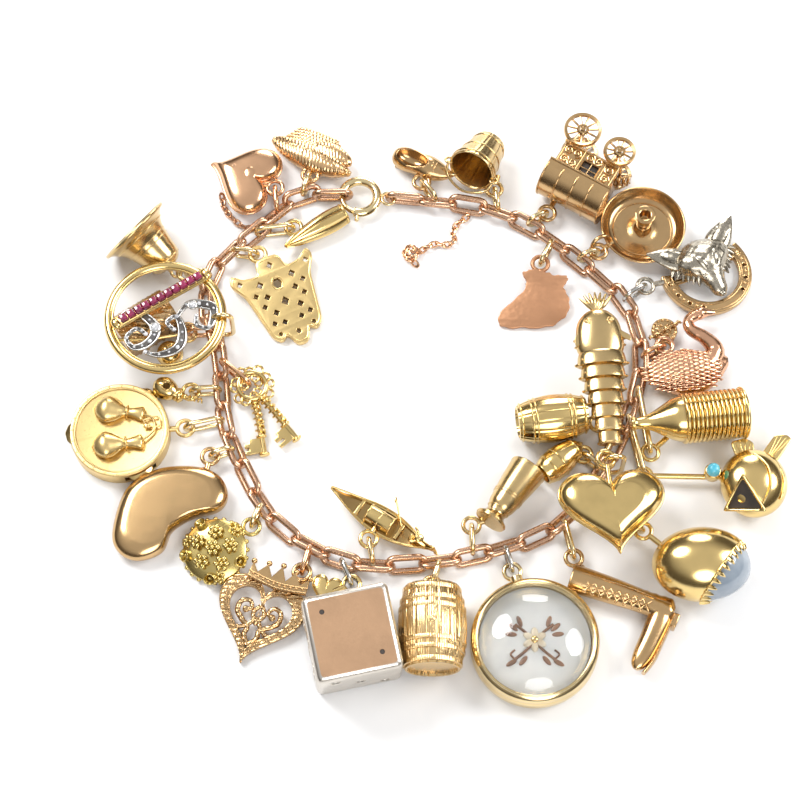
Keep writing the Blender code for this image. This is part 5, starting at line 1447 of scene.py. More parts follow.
@dataclass
class Key(Charm):
    """One of the two ornate keys on the shared ring."""

    at: Place = KEY_BOW
    level: float = 0.0
    notch: float = 0.5

    def lying(self, shape: Shape) -> Matrix:
        """The key's bow lies in the ring at its own level."""
        angles = Euler([math.radians(angle) for angle in self.turn]).to_matrix().to_4x4()
        return Matrix.Translation((*self.at, RING_HEIGHT + self.level)) @ angles

    def body(self) -> list[Shape]:
        """The bow with its inner scrolls, the collared shaft with its twist, and the cut bit."""
        bow = ring(2.0, 0.34, sides=44)
        inner = [ring(0.62, 0.2, (*polar(2.5, angle), 0), sides=20) for angle in (60, 120, 180, 240, 300)]
        inner += [ring(0.5, 0.17, (*polar(1.15, angle), 0), sides=20) for angle in (0, 120, 240)]
        shaft = tube([(2.2, 0, 0), (6.0, 0, 0), (10.3, 0, 0)], 0.42)
        twist = [coil((2.9, 0, 0), (7.4, 0, 0), 0.6, 0.18, 5)]
        collars = [bead(0.8, (x, 0, 0), (0.4, 1, 0.9)) for x in (2.4, 3.0, 7.5, 10.2)]
        outline = [(7.7, -0.2), (9.9, -0.2), (9.9, -2.1), (9.35, -2.1), (9.35, -2.1 + self.notch),
                   (8.9, -2.1 + self.notch),
                   (8.9, -2.1), (8.3, -2.1), (8.3, -1.5), (7.7, -1.5)]
        bit = set_down(plate(outline, 0.6, edge=0.08), at=(0, 0, -0.3), size=(1.0, 1.25, 1.0))
        studs = [bead(0.26, (x, 0.55, 0), sides=12) for x in (4.2, 5.4, 6.6)]
        return [bow, shaft, bit, *inner, *twist, *collars, *studs]


@dataclass
class FlowerCluster(Charm):
    """The domed cluster of granulated rosettes and open cups."""

    node: str = "flower_cluster"
    at: Place = (-25.8, -23.2)
    turn: tuple[float, float, float] = (6, -6, 0)
    finish: Finish = GREENISH
    eye: Eye | None = Eye((-20.8, -19.8), (-22.6, -21.2))

    def rosette(self) -> Shape:
        """Six petals round a granule, on a short stalk."""
        petals = [bead(0.46, (*polar(0.72, 60 * i), 0.0), (1.0, 0.82, 0.7), (0, 0, 60 * i), sides=14)
                  for i in range(6)]
        return joined([bead(0.36, (0, 0, 0.26), sides=14), rod(0.75, 0.7, (0, 0, -0.4), top=0.5),
                       *petals])

    def cup(self) -> Shape:
        """A small open cup with a granule in it."""
        wall = turned([(0, -0.4), (0.5, -0.4), (0.86, 0.5), (0.7, 0.5), (0.36, -0.1), (0, -0.15)], 24)
        return joined([wall, ring(0.78, 0.09, (0, 0, 0.5), sides=24), bead(0.26, (0, 0, 0.1), sides=12)])

    def body(self) -> list[Shape]:
        """The backing disc, the rosettes, the cups and the beads round the rim."""
        disc = turned(rounded([(0, -0.7), (4.3, -0.7), (4.6, 0.3), (3.2, 0.9), (0, 1.2)], 0.3), 48)
        spots = [placed(0, 0, 2.1)]
        spots += [placed(*polar(2.5, 72 * i + 10), 1.55, (0, 18, 72 * i + 10)) for i in range(5)]
        spots += [placed(*polar(4.1, 120 * i + 40), 0.5, (0, 34, 120 * i + 40), 0.85) for i in range(3)]
        cups = [placed(*polar(4.0, 72 * i + 46), 0.7, (0, 38, 72 * i + 46)) for i in range(5)]
        beads = [placed(*polar(4.55, 15 * i), -0.1) for i in range(24)]
        return [disc, copies(self.rosette(), spots), copies(self.cup(), cups),
                copies(bead(0.36, sides=12), beads)]


@dataclass
class Tiara(Charm):
    """The small crown with beaded points."""

    node: str = "tiara"
    at: Place = (-16.9, -28.2)
    turn: tuple[float, float, float] = (0, 0, -19)
    rest: float = 2.0
    finish: Finish = NINE
    eye: Eye | None = Eye(SHARED_RING, (-14.6, -28.9), EYE_STEP)

    def body(self) -> list[Shape]:
        """The band with its points, its beads and its row of bosses."""
        outline = [(-4.3, -0.5), (0, -1.1), (4.3, -0.5), (4.1, 1.7), (3.1, 0.5), (2.0, 2.0), (1.0, 0.4),
                   (0, 2.3),
                   (-1.0, 0.4), (-2.0, 2.0), (-3.1, 0.5), (-4.1, 1.7)]
        band = plate(outline, 1.0, edge=0.1)
        balls = [bead(0.42, (x, y, 0.5), sides=18)
                 for x, y in ((4.1, 1.9), (2.0, 2.2), (0, 2.5), (-2.0, 2.2), (-4.1, 1.9))]
        edge = [tube([(-4.3, y, z), (0, y - 0.55, z), (4.3, y, z)], 0.13)
                for y, z in ((-0.4, 0.98), (0.3, 0.98))]
        studs = [bead(0.2, (-3.6 + 0.8 * i, 0.0 - 0.5 + 0.03 * (i - 4.5) ** 2 * 0.9, 1.0), sides=10)
                 for i in range(10)]
        return [band, *balls, *edge, *studs]


@dataclass
class FiligreeHeart(Charm):
    """The flat heart with its chased double border and scrolls between."""

    node: str = "filigree_heart"
    at: Place = (-19.9, -33.4)
    turn: tuple[float, float, float] = (4.5, 0, -20)
    finish: Finish = NINE_CHASED
    eye: Eye | None = Eye(SHARED_RING, (-15.8, -30.0), -EYE_STEP, True)

    def body(self) -> list[Shape]:
        """The pierced frame, its milled edges and the scrolls."""
        outline = heart_outline(12.4, 12.0, 120)
        inner = [Vector((p.x * 0.72, (p.y - 0.4) * 0.72 + 0.4)) for p in outline]
        frame = plate(outline, 0.9, [inner], 0.1)
        edges = [
            tube([(p.x * s, (p.y - 0.4) * s + 0.4, 0.9) for p in outline], 0.13, steps=1, closed=True,
                 roundness=2)
            for s in (0.97, 0.76)
        ]
        notches = []
        for i in range(0, 120, 2):
            p, q = outline[i], outline[(i + 1) % 120]
            heading = math.degrees(math.atan2(q.y - p.y, q.x - p.x))
            notches.append(placed(p.x * 0.865, (p.y - 0.4) * 0.865 + 0.4, 0.92, (0, 0, heading + 48)))
        chasing = copies(bead(0.3, size=(1.8, 0.42, 0.4), sides=10), notches)
        scrolls = []
        for side in (-1, 1):
            leaf = [(0, -3.4), (0.9, -2.2), (0.9, -1.0), (2.0, -0.2), (3.0, 0.8), (2.9, 2.2),
                    (1.8, 2.6), (1.2, 1.7), (1.9, 1.2)]
            scrolls.append(tube([(side * x, y, 0.5) for x, y in leaf], 0.36, steps=6,
                                taper=[1.0, 1.1, 0.7]))
            scrolls.append(tube([(side * x, y, 0.5)
                                 for x, y in ((0.1, 2.4), (0.8, 1.2), (0.4, 0.2), (1.1, -0.8),
                                              (2.2, -1.5))], 0.32))
            scrolls.append(bead(0.5, (side * 1.9, 1.3, 0.55), (1, 1, 0.6), sides=16))
            scrolls.append(bead(0.42, (side * 2.4, -1.5, 0.55), (1.3, 0.8, 0.6), (0, 0, side * -40),
                                sides=16))
        return [frame, chasing, *edges, *scrolls, bead(0.5, (0, 0.1, 0.5), (0.8, 1.3, 0.7), sides=16)]


@dataclass
class LeafHeart(Charm):
    """The small heart-shaped leaf behind the die."""

    node: str = "leaf_heart"
    at: Place = (-10.3, -29.3)
    turn: tuple[float, float, float] = (0, 0, -15)
    rest: float = 1.5
    eye: Eye | None = Eye(DIE_RING, (-9.2, -29.4), EYE_STEP, True)

    def body(self) -> list[Shape]:
        """The low cushion of the leaf with its veins."""
        outline = heart_outline(4.2, 4.4, 64)
        leaf = cushion(outline, (0, 0),
                       [(0, 0), (0.9, 0), (1, 0.2), (1, 0.45), (0.85, 0.72), (0.5, 0.86), (0, 0.9)])
        rim = tube([(*(p * 0.98), 0.45) for p in outline], 0.12, steps=1, closed=True, roundness=2)
        vein = tube([(0, 1.0, 0.85), (0, -1.6, 0.6)], 0.1)
        return [leaf, rim, vein]


PIPS = {
    1: ((0, 0),),
    2: ((-1, 1), (1, -1)),
    3: ((-1, 1), (0, 0), (1, -1)),
    4: ((-1, 1), (1, -1), (-1, -1), (1, 1)),
    5: ((-1, 1), (1, -1), (-1, -1), (1, 1), (0, 0)),
    6: ((-1, 1), (1, -1), (-1, -1), (1, 1), (-1, 0), (1, 0)),
}


@dataclass
class Die(Charm):
    """The satin die with drilled pips."""

    node: str = "die"
    at: Place = (-6.5, -37.4)
    turn: tuple[float, float, float] = (7, 0, 12)
    finish: Finish = SILVERED
    eye: Eye | None = Eye(DIE_RING, (-6.0, -32.4), -EYE_STEP)
    side: float = 11.8
    spread: float = 3.4
    pip: float = 0.66

    def faces(self) -> list[tuple[int, tuple[float, float, float]]]:
        """Each face's number and the turn that brings the top to it; opposite faces make seven."""
        return [(2, (0, 0, 0)), (5, (180, 0, 0)), (3, (90, 0, 0)), (4, (-90, 0, 0)), (1, (0, 90, 0)),
                (6, (0, -90, 0))]

    def spots(self) -> list[Matrix]:
        """The place of every pip."""
        made = []
        for number, turn in self.faces():
            angles = Euler([math.radians(angle) for angle in turn]).to_matrix().to_4x4()
            for x, y in PIPS[number]:
                made.append(angles @ Matrix.Translation((x * self.spread, y * self.spread,
                                                         self.side / 2)))
        return made

    def body(self) -> list[Shape]:
        """The rounded cube, its drilled pips and the burr round each."""
        cube = block((self.side, self.side, self.side), edge=0.85)
        drill = copies(bead(self.pip, size=(1, 1, 0.9), sides=20), self.spots())
        cut(cube, drill)
        burrs = copies(ring(self.pip + 0.02, 0.07, sides=28), self.spots())
        return [cube, burrs]

    def trims(self) -> list[tuple[str, Finish | Stone, list[Shape]]]:
        """The pips' floors, dark with painted shade, and a warmer plate on the top face that paints how
        differently the light falls there than on the sides.
        """
        # Painted shade: a dark disc at the floor of every pip.
        floor = bead(self.pip * 0.9, (0, 0, -0.17), (1, 1, 0.3), sides=20)
        half = self.side / 2 - 0.75
        square = rounded([(-half, -half), (half, -half), (half, half), (-half, half)], 0.5, True)
        holes = [ellipse(self.pip + 0.04, self.pip + 0.04, 24, (x * self.spread, y * self.spread))
                 for x, y in PIPS[2]]
        # Painted light: the top face alone gets a warmer, darker colour than the sides.
        face = set_down(plate(square, 0.09, holes, 0.0), (0, 0, self.side / 2 - 0.02))
        return [("pips", PAINTED_SHADE, [copies(floor, self.spots())]), ("painted_top_face", PAINTED_TOP_TONE, [face])]


@dataclass
class Gondola(Charm):
    """The long boat with its cabin, its oarsman and the comb at its prow."""

    node: str = "gondola"
    at: Place = (-3.0, -18.7)
    turn: tuple[float, float, float] = (0, 0, -33)
    eye: Eye | None = Eye((-4.4, -21.6), (-3.4, -19.8))

    def body(self) -> list[Shape]:
        """Hull, gunwales, thwarts, cabin, figure with oar, and prow comb."""
        rows = []
        for x, beam, deck, keel in eased(
            [(-8.0, 0.12, 3.0, 2.5), (-6.2, 0.5, 2.1, 1.2), (-4.0, 1.3, 1.8, 0.4),
             (-1.0, 1.95, 1.6, 0.05), (2.0, 2.0, 1.6, 0.0),
             (5.0, 1.35, 1.8, 0.3), (7.6, 0.4, 2.4, 1.3), (9.3, 0.12, 3.6, 2.9)], 7,
        ):
            section = [(beam, deck), (beam * 0.8, deck), (beam * 0.7, deck - 0.45),
                       (-beam * 0.7, deck - 0.45), (-beam * 0.8, deck), (-beam, deck),
                       (-beam * 0.95, (deck + keel) / 2), (-beam * 0.6, keel + 0.1), (0, keel),
                       (beam * 0.6, keel + 0.1), (beam * 0.95, (deck + keel) / 2)]
            rows.append([(x, y, z) for y, z in section])
        hull = lofted(rows)
        rails = [
            tube([(-7.9, side * 0.12, 3.0), (-4.0, side * 1.25, 1.9), (-1.0, side * 1.9, 1.66),
                  (2.0, side * 1.95, 1.66),
                  (5.0, side * 1.32, 1.86), (7.6, side * 0.4, 2.45), (9.2, side * 0.12, 3.6)], 0.14)
            for side in (-1, 1)
        ]
        cabin = swept([(-1.7, 1.3, 1.5, 0, 1.6), (0.3, 1.35, 1.6, 0, 1.6), (2.3, 1.3, 1.5, 0, 1.6)], 36,
                      5, square=0.8)
        cut(cabin, block((1.5, 1.4, 1.5), (-1.6, 0, 2.2), edge=0.2),
            block((1.3, 4, 0.9), (0.4, 0, 2.25), edge=0.15))
        hoops = [ring(1.42, 0.12, (x, 0, 1.7), (0, 90, 0), sides=32) for x in (-1.6, 0.3, 2.2)]
        figure = [
            swept([(0, 0.5, 0.42, 0, 0), (0.9, 0.45, 0.36, 0, 0), (1.9, 0.62, 0.42, 0, 0),
                   (2.5, 0.25, 0.22, 0, 0)], 20, 5),
            bead(0.38, (2.95, 0, 0), (1.1, 1, 1)), bead(0.52, (3.15, 0, 0.0), (0.28, 1.1, 1.1)),
            tube([(2.2, 0.4, 0), (1.7, 1.0, 0.3), (1.5, 1.3, 0.9)], 0.17),
            tube([(2.2, -0.4, 0), (1.7, -0.8, 0.4), (1.6, 0.2, 0.95)], 0.17),
        ]
        figure = set_down(joined(figure), (5.4, 0, 1.8), (0, -62, 0))
        oar = tube([(3.6, 0.3, 3.4), (1.6, 2.6, 1.7), (0.6, 3.7, 0.9)], 0.13)
        blade = bead(0.5, (0.3, 4.0, 0.7), (1.1, 0.45, 0.2), (0, 0, -48))
        comb = [bead(0.4, (9.3 + 0.05 * i, 0, 3.4 - 0.38 * i), (0.9, 0.3, 0.3), sides=12)
                for i in range(5)]
        head = tube([(8.6, 0, 2.5), (9.2, 0, 3.0), (9.1, 0, 3.8), (8.6, 0, 4.1)], 0.22, taper=[1, 1, 0.5])
        thwarts = [block((0.5, 2.4, 0.25), (x, 0, 1.6), edge=0.08) for x in (-3.2, 3.4)]
        return [hull, cabin, figure, oar, blade, head, *rails, *hoops, *comb, *thwarts]

    def trims(self) -> list[tuple[str, Finish | Stone, list[Shape]]]:
        """The dark red lining of the cabin."""
        return [("lining", ENAMEL_RED, [block((3.2, 2.0, 1.2), (0.4, 0, 2.1), edge=0.3)])]


def stave_relief(count: int, depth: float) -> Callable[[float, float], float]:
    """The grooves between staves, as a relief for turned()."""
    return lambda angle, height: -depth * max(0.0, math.cos(count * angle)) ** 10


@dataclass
class Barrel(Charm):
    """The hooped barrel, pointing at the viewer."""

    node: str = "barrel"
    at: Place = (4.4, -35.4)
    finish: Finish = STAVES
    eye: Eye | None = Eye((4.4, -28.3), (4.4, -30.0))

    def body(self) -> list[Shape]:
        """Staves, hoops, heads and the bare band round the middle."""
        curve = eased([(3.75, 5.8), (4.3, 3.8), (4.7, 1.2), (4.7, -1.2), (4.3, -3.8), (3.75, -5.8)], 8)
        profile = [(0, 5.2), (3.3, 5.2), (3.45, 5.8), *curve, (3.45, -5.8), (3.3, -5.2), (0, -5.2)]
        staves = turned(profile, 180, stave_relief(18, 0.12))
        hoops = []
        for height in (5.1, 3.5, 2.3, -2.3, -3.5, -5.1):
            radius = 4.78 - 0.028 * height * height
            band = [(radius - 0.2, height + 0.38), (radius + 0.02, height + 0.3),
                    (radius + 0.05, height), (radius + 0.02, height - 0.3), (radius - 0.2, height - 0.38)]
            hoops.append(turned([(0, height + 0.38), *band, (0, height - 0.38)], 72))
        bung = bead(0.5, (0, 0, 0), (1, 1, 0.5))
        rivets = [bead(0.15, (*polar(4.8 - 0.028 * h * h, 90), h), sides=10)
                  for h in (3.5, 2.3, -2.3, -3.5)]
        whole = joined([staves, *hoops, *rivets, set_down(bung, (0, 4.7, 0), (90, 0, 0))])
        return [set_down(whole, turn=(90, 0, 0))]


# Charms at the lower right of the loop


@dataclass
class CrystalLocket(Charm):
    """The round case with its rolled rim, its painted ground and its bail."""

    node: str = "locket_case"
    at: Place = (18.4, -36.8)
    finish: Finish = PALE
    eye: Eye | None = Eye((15.6, -26.4), (15.8, -28.6))
    radius: float = 8.85
    crystal: float = 7.65

    def body(self) -> list[Shape]:
        """The case turned in one piece, with a rolled rim and a beaded step."""
        inner = self.crystal + 0.1
        profile = rounded(
            [(0, 2.2), (inner, 2.2), (inner, 4.4), (inner + 0.35, 4.7), (self.radius - 0.1, 4.2),
             (self.radius, 3.4),
             (self.radius - 0.25, 2.9), (self.radius, 2.4), (self.radius, 1.0), (self.radius - 1.0, 0),
             (0, 0)], 0.25,
        )
        case = turned(profile, 120)
        rim = ring(inner + 0.3, 0.2, (0, 0, 4.55), sides=96)
        neck = rod(0.9, 1.6, (*polar(self.radius + 0.1, 104), 2.4), (90, 0, 14))
        knurls = [bead(0.32, (*polar(self.radius + 0.5, 104 + 2.6 * i), 2.4), sides=12)
                  for i in (-1, 0, 1)]
        return [case, rim, neck, *knurls]

    def trims(self) -> list[tuple[str, Finish | Stone, list[Shape]]]:
        """A plain painted sprig on a pearl-grey ground, under the crystal."""
        ground = turned([(0, 2.22), (self.crystal - 0.1, 2.22), (self.crystal - 0.1, 2.5), (0, 2.56)], 96)
        stems, leaves, petals = [], [], []
        for side in (-1, 1):
            stems.append(tube([(side * 2.7, -2.4, 2.62), (side * 1.0, -1.0, 2.68),
                               (side * -0.7, 0.9, 2.68), (side * -2.6, 2.5, 2.62)], 0.2))
            stems.append(tube([(side * 2.7, -2.4, 2.62), (side * 3.3, -1.7, 2.62),
                               (side * 2.7, -1.1, 2.62)], 0.14))
            for x, y, turn in ((2.9, 2.1, 40), (2.0, 2.9, 70), (3.2, 1.1, 5), (1.6, -2.6, -50),
                               (3.2, -2.9, -30)):
                leaves.append(bead(0.55, (side * x, y, 2.64), (1.5, 0.62, 0.25),
                                   (0, 0, side * turn if side > 0 else 180 - turn)))
        for i in range(6):
            x, y = polar(0.95, 60 * i + 30)
            petals.append(bead(0.62, (x, y + 0.3, 2.78), (1.25, 0.8, 0.3), (0, 0, 60 * i + 30)))
        heart = bead(0.5, (0, 0.3, 2.95), (1, 1, 0.5))
        return [
            ("ground", ENAMEL_GROUND, [ground]),
            ("stems", ENAMEL_BROWN, [*stems, *leaves]),
            ("petals", ENAMEL_CREAM, petals),
            ("flower_heart", YELLOW, [heart]),
        ]


@dataclass
class Crystal(Charm):
    """The domed crystal in the locket's rim."""

    node: str = "crystal"
    at: Place = (18.4, -36.8)
    rest: float = 3.1
    finish: Finish = CRYSTAL
    radius: float = 7.65

    def body(self) -> list[Shape]:
        """A thin even dome."""
        outer = eased([(0, 2.5), (2.6, 2.32), (5.2, 1.7), (6.9, 0.85), (self.radius, 0.2)], 6)
        inner = eased([(self.radius - 0.4, 0.0), (6.6, 0.35), (5.0, 1.15), (2.5, 1.78), (0, 1.95)], 6)
        return [turned([*outer, (self.radius, 0.0), *inner], 96)]


@dataclass
class Goblet(Charm):
    """The footed cup lying on its side."""

    node: str = "goblet"
    at: Place = (15.3, -15.6)
    turn: tuple[float, float, float] = (0, 4, 55)
    finish: Finish = BRASSY
    eye: Eye | None = Eye((10.0, -19.6), (12.1, -18.9))

    def body(self) -> list[Shape]:
        """The cup, its rolled lip, its bands and its foot."""
        inside = eased([(0, -1.9), (1.3, -1.7), (1.75, -0.6), (2.15, 2.0), (2.45, 4.9)], 5)
        outside = eased([(2.75, 4.85), (2.55, 2.6), (2.25, 0.2), (1.95, -1.9), (1.6, -2.8),
                         (1.45, -3.5), (1.85, -4.1), (2.3, -4.45)], 5)
        cup = turned([*inside, (2.6, 5.0), *outside, (2.25, -4.9), (0, -4.9)], 64)
        bands = [ring(r, 0.1, (0, 0, z), sides=56)
                 for r, z in ((2.68, 4.6), (2.2, -0.2), (2.15, -0.6), (1.62, -2.8), (2.28, -4.6))]
        return [set_down(joined([cup, *bands]), turn=(0, 90, 0))]


@dataclass
class Keg(Charm):
    """The small keg lying on its side, with a stopper."""

    node: str = "keg"
    at: Place = (21.6, -4.2)
    turn: tuple[float, float, float] = (0, 0, 8)
    eye: Eye | None = Eye((28.2, -4.2), (26.0, -4.0))

    def body(self) -> list[Shape]:
        """The bulging body, its hoops and its heads."""
        curve = eased([(2.45, 4.9), (3.0, 3.2), (3.36, 1.0), (3.36, -1.0), (3.0, -3.2), (2.45, -4.9)], 7)
        profile = [(0, 4.4), (2.0, 4.4), (2.15, 5.0), *curve, (2.15, -5.0), (2.0, -4.4), (0, -4.4)]
        keg = turned(profile, 120, stave_relief(14, 0.08))
        hoops = [ring(3.4 - 0.036 * h * h, 0.15, (0, 0, h), sides=64)
                 for h in (4.5, 3.0, 2.4, -2.4, -3.0, -4.5)]
        cap = rod(1.1, 0.5, (0, 0, -4.55))
        bung = bead(0.4, (0, 3.3, 0), (1, 0.5, 1))
        return [set_down(joined([keg, cap, bung, *hoops]), turn=(0, 90, 0))]


@dataclass
class AcornCup(Charm):
    """The acorn cup with its scaly skin."""

    node: str = "acorn_cup"
    at: Place = (22.9, -9.9)
    turn: tuple[float, float, float] = (0, 0, 40)
    eye: Eye | None = Eye((26.0, -9.0), (25.1, -8.3))

    def body(self) -> list[Shape]:
        """The polished nut in its cup, with bands."""
        nut = turned(eased([(0, 3.9), (0.5, 3.5), (1.5, 2.4), (2.1, 0.4), (2.2, -1.2), (2.05, -2.6),
                            (1.7, -3.5)], 6) + [Vector((1.4, -3.6)), Vector((1.3, -2.2)),
                                                Vector((0, -1.6))], 56)
        bands = [ring(r, 0.12, (0, 0, z), sides=48)
                 for r, z in ((2.2, -0.7), (2.12, -2.2), (1.62, -3.5), (1.55, 2.3))]
        return [set_down(joined([nut, *bands]), turn=(0, 90, 0))]


@dataclass
class JointedFish(Charm):
    """The long fish with a solid head and a tail of overlapping plates."""

    node: str = "fish"
    finish: Finish = BRASSY
    at: Place = (28.4, 8.0)
    turn: tuple[float, float, float] = (0, 4, -86)
    rest: float = 3.6
    rings: int = 7
    pitch: float = 1.95

    def body(self) -> list[Shape]:
        """Head with gills and eyes, the plates with their rims and rivets, and the fan of fins."""
        head = swept(
            [(-3.4, 0.5, 0.4, 0, 0), (-3.0, 1.7, 1.1, 0, 0), (-1.6, 2.9, 1.55, 0, 0),
             (0.6, 3.4, 1.7, 0, 0), (2.4, 3.4, 1.68, 0, 0),
             (3.4, 3.0, 1.55, 0, 0)], 48, 8,
        )
        gill = [ring(1.0, 0.12, (1.1, 0, 0), (0, 90, 0), sides=56, size=(1, 3.42, 1.72)),
                ring(1.0, 0.09, (2.1, 0, 0), (0, 90, 0), sides=56, size=(1, 3.42, 1.7))]
        eyes = [ring(0.5, 0.13, (-1.3, side * 1.7, 1.22), (side * -30, 0, 0), sides=24)
                for side in (-1, 1)]
        pupils = [bead(0.34, (-1.3, side * 1.72, 1.24), sides=14) for side in (-1, 1)]
        plates, rivets = [], []
        for i in range(self.rings):
            wide = 3.55 - 1.9 * i / (self.rings - 1)
            start = 2.8 + i * self.pitch
            end = start + self.pitch * 1.12
            plates.append(
                swept([(start, wide * 0.8, 0.42 * wide, 0, 0),
                       (start + 0.6, wide * 0.93, 0.5 * wide, 0, 0),
                       (end - 0.1, wide, 0.56 * wide, 0, 0), (end, wide * 0.97, 0.53 * wide, 0, 0)], 40,
                       4)
            )
            plates.append(ring(1.0, 0.11, (end - 0.16, 0, 0), (0, 90, 0), sides=48,
                               size=(1, wide, 0.56 * wide)))
            rivets += [bead(0.16, (end - 0.7, side * wide * 0.82, 0.34 * wide), sides=10)
                       for side in (-1, 1)]
        fins = []
        for i in range(7):
            angle = 180 + (i - 3) * 12
            x, y = polar(3.6, angle)
            fins.append(tube([(-2.6, (i - 3) * 0.16, 0), (-2.6 + x * 0.5, y * 0.5, 0.15),
                              (-2.6 + x * 0.98, y * 1.1, 0)], 0.3, taper=[0.6, 1.2, 0.4]))
        side_fins = [
            set_down(plate(rounded([(0, 0), (1.8, 0.9), (2.6, 0.5), (1.4, -0.3)], 0.3, True), 0.3,
                           edge=0.08), (-0.2, side * 2.7, 0.5), (0, 0, side * 30))
            for side in (-1, 1)
        ]
        held = Chain().nearest(28.4, -11.4)
        lie = self.lying(head)
        tail = lie.inverted() @ Vector((held.x + LINK_GRIP, held.y, self.rest + 0.9))
        last = (2.8 + self.rings * self.pitch, 0, 0)
        loop = [tube([last, (tail.x - 1.1, tail.y, tail.z)], TONGUE_RADIUS, steps=3),
                ring(EYE_RADIUS, EYE_WIRE, tail, sides=28)]
        return [head, *gill, *eyes, *pupils, *plates, *rivets, *fins, *side_fins, *loop]


@dataclass
class PlainHeart(Charm):
    """The polished puffed heart with an oval plateau."""

    node: str = "plain_heart"
    at: Place = (29.6, -19.2)
    turn: tuple[float, float, float] = (-2, 5, 6)
    rest: float = 3.5

    def body(self) -> list[Shape]:
        """The two halves, the seam and the plateau's step."""
        outline = heart_outline(14.8, 12.0, 120)
        levels = [(0, -2.2), (0.55, -2.15), (0.8, -1.7), (0.95, -0.9), (1.0, -0.15), (1.0, 0.15),
                  (0.96, 0.9), (0.86, 1.55),
                  (0.72, 1.95), (0.6, 2.12), (0.52, 2.2), (0.3, 2.24), (0, 2.25)]
        heart = cushion(outline, (0, 0.4), levels, 4)
        seam = tube([(*(p * 1.0), 0.0) for p in outline], 0.17, steps=1, closed=True)
        held = Chain().nearest(28.4, -11.4)
        lie = self.lying(heart)
        spot = lie.inverted() @ Vector((held.x + LINK_GRIP, held.y, self.rest + 2.6))
        loop = [tube([(0, 3.4, 0.2), (spot.x, spot.y - 1.1, spot.z)], TONGUE_RADIUS, steps=3),
                ring(EYE_RADIUS, EYE_WIRE, spot, sides=28)]
        return [heart, seam, *loop]


@dataclass
class RidingBoot(Charm):
    """The laced riding boot lying on its side."""

    node: str = "riding_boot"
    at: Place = (31.0, -29.8)
    turn: tuple[float, float, float] = (0, 0, -19)
    finish: Finish = NINE
    eye: Eye | None = Eye((24.2, -24.4), (24.8, -26.6))

    def body(self) -> list[Shape]:
        """Shaft, cuff, foot, sole, heel, laces and eyelets."""
        shaft = swept(
            [(-7.6, 1.98, 1.88, 0, 0), (-6.4, 2.0, 1.88, 0, 0), (-2.0, 1.86, 1.76, 0, 0),
             (2.4, 1.66, 1.56, -0.1, 0), (4.6, 1.72, 1.56, -0.2, 0),
             (6.4, 1.95, 1.56, -0.4, 0), (7.2, 1.2, 1.2, -0.5, 0)], 48, 8, lambda x,
             a: 0.05 * math.sin(5 * x) * max(0.0, math.cos(a)) if x > 2 else 0.0,
        )
        cut(shaft, rod(1.55, 3.4, (-7.2, 0, 0), (0, 90, 0)))
        cuff = [ring(1.0, 0.16, (x, 0, 0), (0, 90, 0), sides=48, size=(1, 1.95, 1.85))
                for x in (-7.5, -6.6)]
        foot = swept(
            [(-7.5, 0.4, 0.35, 0.3, 0), (-6.8, 1.0, 0.75, 0.25, 0), (-5.2, 1.45, 1.1, 0.1, 0),
             (-2.6, 1.6, 1.3, 0, 0), (0.2, 1.75, 1.45, 0, 0), (1.8, 1.6, 1.3, 0, 0)],
            40, 7,
        )
        sole = swept([(-7.6, 0.3, 0.8, -0.9, 0), (-5.4, 0.32, 1.2, -1.45, 0),
                      (-2.4, 0.3, 1.2, -1.55, 0), (1.8, 0.3, 1.35, -1.6, 0)], 24, 6)
        heel = block((2.0, 0.9, 2.4), (0.9, -1.95, 0), edge=0.2)
        foot = set_down(joined([foot, sole, heel]), (5.6, -2.2, 0), (0, 0, 84))
        laces, eyelets = [], []
        for i in range(8):
            x = -5.4 + 1.15 * i
            for side in (-1, 1):
                laces.append(tube([(x, -1.0 + side * 0.75, 1.62), (x + 0.55, -1.0, 1.78),
                                   (x + 1.15, -1.0 - side * 0.75, 1.62)], 0.13, steps=4))
                eyelets.append(ring(0.24, 0.08, (x, -1.0 + side * 0.8, 1.58), (side * -28, 0, 0),
                                    sides=16))
        seam = tube([(-6.4, 0.6, 1.82), (0.0, 0.7, 1.66), (4.0, 0.5, 1.5), (6.4, 0.4, 1.5)], 0.08)
        return [shaft, foot, seam, *cuff, *laces, *eyelets]


